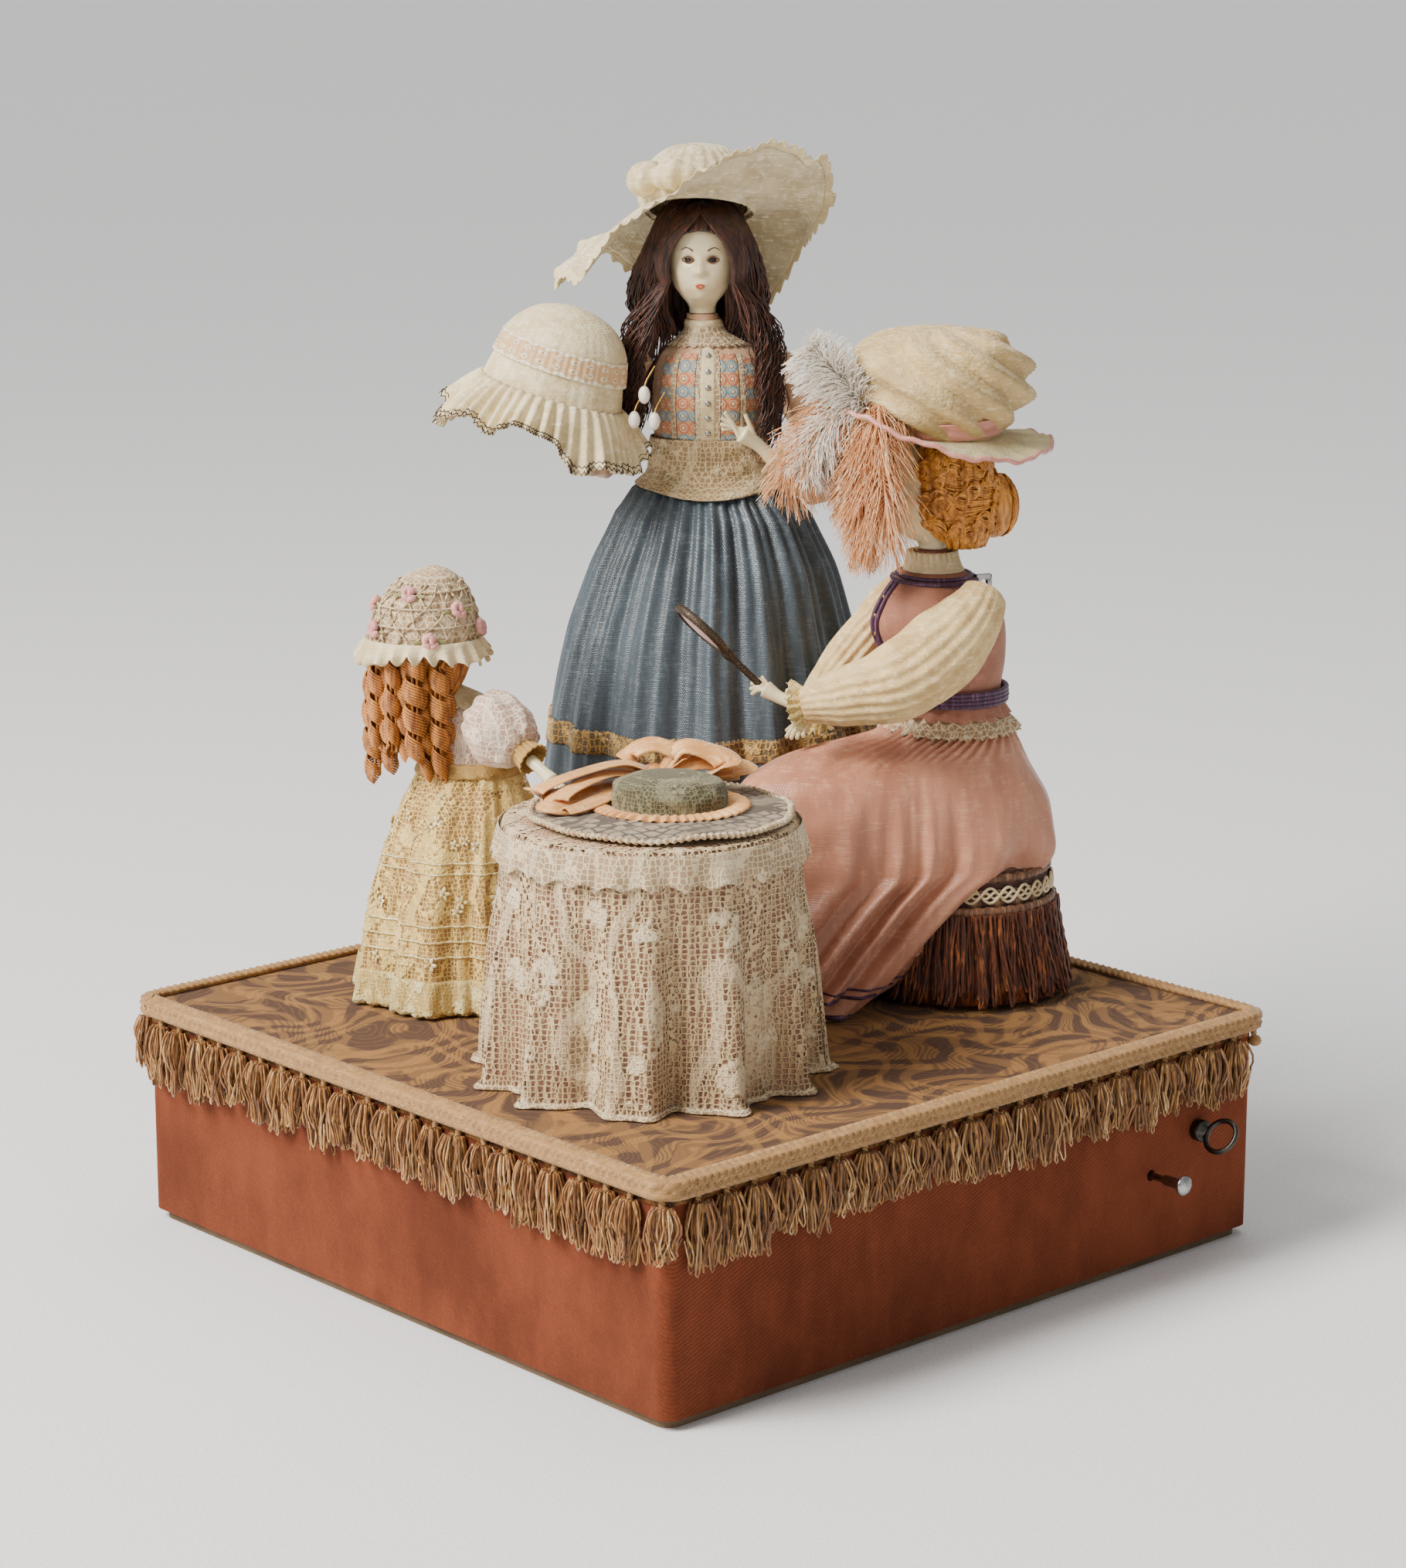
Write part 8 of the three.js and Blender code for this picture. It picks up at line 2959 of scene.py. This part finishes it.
@dataclass
class Child(Dressed):
    """The child in a net skirt and a crochet cap, who reaches for the bow on the table."""

    stand: ClassVar[Stand] = CHILD

    skirt: Form = Form(((0.6, -2, 0, 40, 38), (17, -2, 0, 39, 37), (40, -2, 0, 35.5, 34),
                        (58, -1, 0, 31.5, 30), (78, 1, 0, 26, 24), (90, 2, 0, 21, 17),
                        (95.6, 2, 0, 18, 14)))
    bodice: Form = Form(((95.2, 2, 0, 18, 14), (105, 1, 0, 17, 13.5), (114, -2, 1, 16, 12.5),
                         (121, -6, 2, 11, 9), (125, -9, 3, 6, 6), (128, -10, 3, 4.8, 4.8)))
    hair: Form = Form((
        (112, -21, -6, 11, 9), (118, -20, -5, 14, 11), (128, -17, -2, 16.5, 13.5), (141, -14, 1, 18, 16),
        (155, -13, 2, 16, 15), (165, -12, 2, 11, 11), (169, -11, 3, 4, 4),
    ))
    cap: Form = Form(((140, -15.5, -1, 22, 21), (149, -15, 0, 21, 20), (156, -14.5, 0.5, 19, 18.5),
                      (163, -13.5, 1, 15, 15), (168, -12.5, 2, 10.5, 10.5), (171, -11.5, 2.5, 5.5, 5.5),
                      (172.2, -11, 3, 0.5, 0.5)))
    face_turn: float = math.radians(152.5)

    def drape(self, angle: float, height: float) -> float:
        """Return how deep the net skirt's folds lie at a place.

        Args:
            angle: The direction round, in radians.
            height: The height in millimetres.

        Returns:
            The lift in millimetres.
        """
        fall = clamp(1 - height / 96)
        return (gathers(angle, 9) * (0.5 + 2.4 * fall) + 0.8 * gathers(angle, 23, 2.0) * (0.3 + fall)
                + 0.9 * wobble(3 * math.cos(angle), 3 * math.sin(angle), height * 0.03) * fall)

    def build_skirt(self) -> None:
        """Make the flowered net skirt with its tucks and scalloped lace hem."""
        inner = self.skirt.shell(140, 30, lambda angle, height: self.drape(angle, height) - 1.4)
        self.put("skirt_lining", inner, YELLOW_LINING, "yellow_net")
        self.put("net_skirt", self.skirt.shell(280, 64, self.drape), YELLOW_NET, "yellow_net",
                 "child_skirt")
        tucks = []
        for height in (24, 30, 36, 56, 60):
            path = []
            for step in range(241):
                angle = TAU * step / 240
                path.append(self.skirt.point(angle, height, self.drape(angle, height) + 0.25))
            tucks.append(path)
        self.put("skirt_tucks", Maker.threads(tucks, 0.45, 1.0, 1), NET_CORD, "yellow_net")

        def hem(u: float, v: float) -> Vector:
            """Return the hem's point at its shares round and down.

            Args:
                u: The share round.
                v: The share down.

            Returns:
                The point.
            """
            angle = u * TAU
            scallop = 2.2 * abs(math.sin(21 * angle)) * v
            height = max(0.8, lerp(15, 2.6, v) - scallop * 0.6)
            return self.skirt.point(angle, height, self.drape(angle, height) + 0.8 + 1.8 * v
                                    + 0.7 * math.sin(42 * angle) * v)
        lace = self.put("skirt_lace_hem", Maker.skin(520, 8, hem), HEM_LACE, "yellow_net", wall=0.4)
        Maker.sheet(lace, 0.24, Held.GATHERED, ["net_skirt"])
        chance = random.Random(8)
        petals, hearts = [], []
        for _ in range(46):
            angle = chance.uniform(0, TAU)
            height = chance.choice((20, 43, 47, 68, 74, 84)) + chance.uniform(-2, 2)
            middle = self.skirt.point(angle, height, self.drape(angle, height) + 0.5)
            out = Vector((math.cos(angle), math.sin(angle), 0.15)).normalized()
            turn = out.to_track_quat("Z", "Y").to_matrix().to_4x4()
            size = chance.uniform(1.1, 1.7)
            for petal in range(5):
                around = petal * TAU / 5 + chance.uniform(-0.2, 0.2)
                place = middle + turn @ Vector((size * math.cos(around), size * math.sin(around), 0.05))
                petals.append(Maker.ball(place, (0.85 * size, 0.5 * size, 0.35),
                                         turn @ Matrix.Rotation(around, 4, "Z"), 8))
            hearts.append(Maker.ball(middle + out * 0.3, (0.6, 0.6, 0.45), turn, 8))
        self.put("skirt_flowers", Maker.merged(petals), NET_CORD, "yellow_net")
        self.put("skirt_flower_hearts", Maker.merged(hearts), OCHRE, "yellow_net")
        self.put("waist_sash", self.skirt.band(93.5, 5.5, 1.0, 90, 1.2, 0.2, 20), OCHRE, "pink_mesh")

    def build_bodice(self) -> None:
        """Make the lacy bodice with its collar."""
        self.put("mesh_bodice", self.bodice.shell(100, 50, lambda angle, height: (
            0.3 * wobble(angle * 6, height * 0.2)
            + 0.25 * math.sin(20 * angle) * smooth((106 - height) / 10)
        )), PINK_MESH, "pink_mesh", "child_bodice")
        collar = Maker.skin(200, 8, lambda u, v: self.bodice.point(
            u * TAU, lerp(124.5, 118.5, v) - 0.8 * abs(math.sin(12 * u * TAU)) * v,
            0.7 + 1.6 * v + 0.5 * math.sin(24 * u * TAU) * v))
        self.put("child_collar", collar, EDGE_LACE, "pink_mesh", wall=0.35)

    def build_arms(self) -> None:
        """Make the open puff sleeve with its cuff and hand, and the arm behind the table."""
        puff = Tube(((7, -11, 117), (12, -15, 114), (19, -20.5, 109), (26, -26, 104.5)), (9, 13, 13, 8.5),
                    (0, 0, 1))

        def billow(angle: float, share: float) -> float:
            """Return how proud the puffed sleeve stands."""
            return (0.7 * math.sin(9 * angle + 2 * math.sin(share * 4)) * (0.4 + abs(2 * share - 1))
                    + 1.3 * wobble(2 * math.cos(angle), 2 * math.sin(angle), share * 4))
        self.put("puff_sleeve", puff.shell(72, 60, billow, 0.12), PINK_MESH, "pink_mesh",
                 "child_right_sleeve")
        ahead, _, _ = puff.axes(1.0)
        turn = ahead.to_track_quat("Z", "Y").to_matrix().to_4x4()
        cuff = Maker.skin(160, 16, lambda u, v: Vector((
            (5.0 + 1.6 * v ** 3 + 0.3 * math.sin(16 * u * TAU)) * math.cos(u * TAU),
            (5.0 + 1.6 * v ** 3 + 0.3 * math.sin(16 * u * TAU)) * math.sin(u * TAU), lerp(-1.5, 7.0, v))))
        cuff.transform(Matrix.Translation(Vector((25, -25.5, 105))) @ turn)
        self.put("crochet_cuff", cuff, OCHRE, "pink_mesh", wall=0.5)
        palm = Tube(((28.5, -29, 102), (34.5, -35.5, 98.4), (38.5, -40.5, 95.8)), (2.6, 2.3, 3.2),
                    (0, 0, 1))
        DollHand("child_hand_cast", palm, ((44.5, -43.4, 93.6), (44.2, -46, 93), (42.6, -48, 92.8),
                                           (40.4, -48.6, 93.2)), (43, -39.5, 96.2),
                 0.95).build(CHILD, "base", "child_right_hand")
        left = Tube(((-10, 8, 118), (-17, 14, 112), (-20.5, 20, 105.5), (-21, 27, 101), (-18, 33, 99)),
                    (6, 8, 5.5, 3.2, 2.8), (0, 0, 1))
        self.put("left_puff_sleeve", left.shell(48, 50, lambda angle, share: billow(angle, share) * 0.5,
                                                0.1), PINK_MESH, "pink_mesh", "child_left_arm")

    def build_hair(self, body: str) -> None:
        """Make the ginger hair with its hanging ringlets.

        Args:
            body: The body that it moves with.
        """
        face = self.face_turn - math.pi / 2

        def mass(u: float, v: float) -> Vector:
            """Return the hair's point at its shares round and up.

            Args:
                u: The share round.
                v: The share up.

            Returns:
                The point.
            """
            angle = face + 0.75 + (TAU - 1.5) * u
            height = lerp(self.hair.low(), self.hair.high(), v)
            lock = 0.7 * math.sin(17 * angle + 2 * math.sin(height * 0.1)) + 0.35 * math.sin(47 * angle)
            return self.hair.point(angle, height, lock - 0.3)
        self.put("ginger_hair_mass", Maker.skin(130, 32, mass, welded=False), GINGER, "ginger_hair",
                 "child_hair", body=body, wall=1.2)
        chance = random.Random(17)
        curls = []
        for index in range(11):
            turn = lerp(-3.4, -0.8, index / 10)
            away = Vector((math.cos(turn), math.sin(turn), 0))
            near = 1.0 if index % 2 else 0.78
            top = Vector((-16.7 + 17.5 * near * away.x, -2 + 16.5 * near * away.y, 136))
            low = 86 if index == 1 else chance.uniform(88, 102)
            coils = 2.2 * (136 - low) / 24
            for strand in range(8):
                path = []
                for step in range(48):
                    share = step / 47
                    spin = share * coils * TAU + strand * 0.16 + index * 1.3
                    reach = (3.3 + 0.9 * math.sin(index * 2.1)) * (
                        0.55 + 0.45 * math.sin(math.pi * clamp(share * 0.86 + 0.12)))
                    reach += 0.8 * math.sin(strand / 7 * math.pi)
                    drop = lerp(136, low, share) + strand * 0.8
                    path.append(Vector((top.x + reach * math.cos(spin) + 1.6 * away.x * share,
                                        top.y + reach * math.sin(spin) + 1.6 * away.y * share, drop)))
                curls.append(path)
            core = [Vector((top.x, top.y, lerp(136, low + 3, step / 8))) for step in range(9)]
            curls.extend([[point + Vector((dx, dy, 0)) for point in core]
                          for dx in (-0.9, 0.9) for dy in (-0.9, 0.9)])
        rings = Maker.threads(curls, 0.55, 0.8, 1)
        self.put("ginger_ringlets", rings, GINGER, "ginger_hair", body=body)

        def strand_path(share: float, roll: random.Random) -> list[Vector]:
            """Return the path of a strand over the head.

            Args:
                share: The share of the way along.
                roll: The source of the strand's chances.

            Returns:
                The path.
            """
            angle = face + 0.7 + (TAU - 1.4) * share
            low = roll.uniform(112, 126)
            lift = roll.uniform(0.1, 0.9)
            curl = roll.uniform(0, TAU)
            return [self.hair.point(angle + 0.05 * math.sin(step / 13 * 7 + curl),
                                    lerp(158, low, step / 13), lift) for step in range(14)]
        fine = Maker.threads(Locks(240, 9).paths(strand_path), 0.34, 0.8)
        self.put("ginger_strands", fine, GINGER, "ginger_hair", body=body)

    def build_cap(self, body: str) -> None:
        """Make the crochet cap with its lace edge and rosebuds.

        Args:
            body: The body that it moves with.
        """
        self.put("crochet_dome", self.cap.shell(140, 60, lambda angle, height: (
            0.4 * math.sin(18 * angle) * smooth((171 - height) / 14) + 0.3 * math.sin(height * 1.5)
        )), CROCHET, "crochet", "child_cap", body=body)
        lattice = []
        for sign in (-1, 1):
            for index in range(15):
                path = []
                for step in range(29):
                    share = step / 28
                    angle = TAU * index / 15 + sign * (share * 0.9 + 0.06 * math.sin(share * 9 + index * 2))
                    path.append(self.cap.point(angle, lerp(142, 167, share),
                                               0.7 + 0.3 * math.sin(share * 40)))
                lattice.append(path)
        for height in (144, 151, 158, 164):
            lattice.append([self.cap.point(TAU * step / 90, height, 0.9) for step in range(91)])
        self.put("cap_lattice", Maker.threads(lattice, 0.42, 1.0, 1), CROCHET, "crochet", body=body)

        def frill(u: float, v: float) -> Vector:
            """Return the frill's point at its shares round and across.

            Args:
                u: The share round.
                v: The share across.

            Returns:
                The point.
            """
            angle = u * TAU
            scallop = 1.4 * abs(math.sin(13 * angle)) * v
            height = lerp(145, 138.6, v) - scallop + 1.6 * math.sin(3 * angle) * v
            low = self.cap.point(angle, 141, 0.6 + 3.4 * v + 1.5 * math.sin(22 * angle) * v)
            return Vector((low.x, low.y, height + 1.3 * math.cos(22 * angle) * v))
        lace = self.put("cap_lace_edge", Maker.skin(420, 7, frill), EDGE_LACE, "crochet", body=body,
                        wall=0.35)
        Maker.sheet(lace, 0.28, Held.GATHERED, ["crochet_dome"])
        buds, leaves = [], []
        for index in range(11):
            angle = TAU * index / 11 + 0.35
            level = (147, 158, 150, 164)[index % 4]
            middle = self.cap.point(angle, level, 1.6)
            out = Vector((math.cos(angle), math.sin(angle), 0.1 + (level - 147) * 0.03)).normalized()
            turn = out.to_track_quat("Z", "Y").to_matrix().to_4x4()
            for petal in range(6):
                around = petal * 1.05
                reach = 0.7 + 0.42 * petal
                place = middle + turn @ Vector((reach * math.cos(around), reach * math.sin(around),
                                                0.75 - 0.1 * petal))
                buds.append(Maker.ball(place, (2.3, 1.3, 1.5),
                                       turn @ Matrix.Rotation(around + 1.57, 4, "Z"), 10))
            for sign in (-1, 1):
                place = middle + turn @ Vector((sign * 4.8, -1.0, -0.6))
                leaves.append(Maker.ball(place, (1.9, 0.8, 0.35), turn, 10))
        self.put("cap_rosebuds", Maker.merged(buds), ROSEBUD, "crochet", body=body)
        self.put("cap_leaves", Maker.merged(leaves), LEAF, "crochet", body=body)

    def build(self) -> None:
        """Make the whole figure."""
        body = "child_head_body"
        self.build_skirt()
        self.build_bodice()
        self.build_arms()
        DollHead("child", 40.0, (-10, 3, 128.3), body, CHILD, self.face_turn).build("child_head")
        self.build_hair(body)
        self.build_cap(body)
        shoe = Tube(((20, -36, 2.6), (25, -40, 2.8), (30, -44, 2.4)), (2.4, 3.4, 2.2), (0, 0, 1))
        self.put("child_shoe", shoe.shell(24, 20), SHOE, "yellow_net")


@dataclass
class Studio:
    """The pale floor, the soft lights and the camera at the photograph's view, in metres."""

    floor_size: float = 60.0
    lens: float = 89.1
    sensor: float = 36.0
    near: float = 0.01
    camera_place: Point = (1.0903, -0.9878, 0.5175)
    camera_aim: Point = (0.066, -0.057, 0.200)
    lamp_aim: Point = (0.0, 0.0, 0.2)
    even_power: float = 2.3
    even_softness: float = 0.4
    even_turn: Point = (0.55, -0.35, 0.0)
    backdrop_power: float = 0.42

    def floor(self) -> None:
        """Lay a wide pale floor."""
        mesh = bmesh.new()
        mesh.loops.layers.uv.new("UVMap")
        bmesh.ops.create_grid(mesh, x_segments=2, y_segments=2, size=self.floor_size)
        data = bpy.data.meshes.new("floor")
        mesh.to_mesh(data)
        mesh.free()
        ground = bpy.data.objects.new("floor", data)
        bpy.context.scene.collection.objects.link(ground)
        data.materials.append(FLOOR.material())

    def light(self, name: str, place: Point, size: float, power: float, colour: Colour) -> None:
        """Hang one soft square light that faces the figures.

        Args:
            name: The light's name.
            place: Its place in metres.
            size: Its side in metres.
            power: Its power in watts.
            colour: Its colour.
        """
        lamp = bpy.data.lights.new(name, "AREA")
        lamp.size = size
        lamp.energy = power
        lamp.color = colour
        holder = bpy.data.objects.new(name, lamp)
        holder.location = place
        ahead = Vector(self.lamp_aim) - Vector(place)
        holder.rotation_euler = ahead.to_track_quat("-Z", "Y").to_euler()
        bpy.context.scene.collection.objects.link(holder)

    def camera(self) -> None:
        """Set the camera where the photograph was taken from."""
        lens = bpy.data.cameras.new("camera")
        lens.lens = self.lens
        lens.sensor_width = self.sensor
        lens.clip_start = self.near
        holder = bpy.data.objects.new("camera", lens)
        holder.location = self.camera_place
        ahead = Vector(self.camera_aim) - holder.location
        holder.rotation_euler = ahead.to_track_quat("-Z", "Y").to_euler()
        bpy.context.scene.collection.objects.link(holder)
        bpy.context.scene.camera = holder

    def build(self) -> None:
        """Set up the floor, lights, background and camera."""
        self.camera()
        self.floor()
        self.light("key", (-0.3, -1.7, 1.5), 0.8, 75.0, (1.0, 0.96, 0.9))
        self.light("fill", (1.9, -0.1, 1.0), 1.6, 3.0, (0.95, 0.97, 1.0))
        self.light("top", (-0.3, 0.5, 1.9), 1.2, 8.0, (1.0, 0.98, 0.95))
        sky = bpy.data.lights.new("even_light", "SUN")
        sky.energy = self.even_power
        sky.angle = self.even_softness
        holder = bpy.data.objects.new("even_light", sky)
        holder.rotation_euler = self.even_turn
        bpy.context.scene.collection.objects.link(holder)
        world = bpy.data.worlds.new("studio")
        bpy.context.scene.world = world
        world.use_nodes = True
        backdrop = world.node_tree.nodes["Background"]
        backdrop.inputs["Color"].default_value = (1.0, 1.0, 1.0, 1.0)
        backdrop.inputs["Strength"].default_value = self.backdrop_power


def main() -> None:
    """Build the tableau piece by piece."""
    logging.basicConfig(level=logging.INFO, format="%(message)s")
    Studio().build()
    for group in (MusicCase(), HatTable(), StandingLady(), SeatedLady(), Child()):
        group.build()


if __name__ == "__main__":
    main()
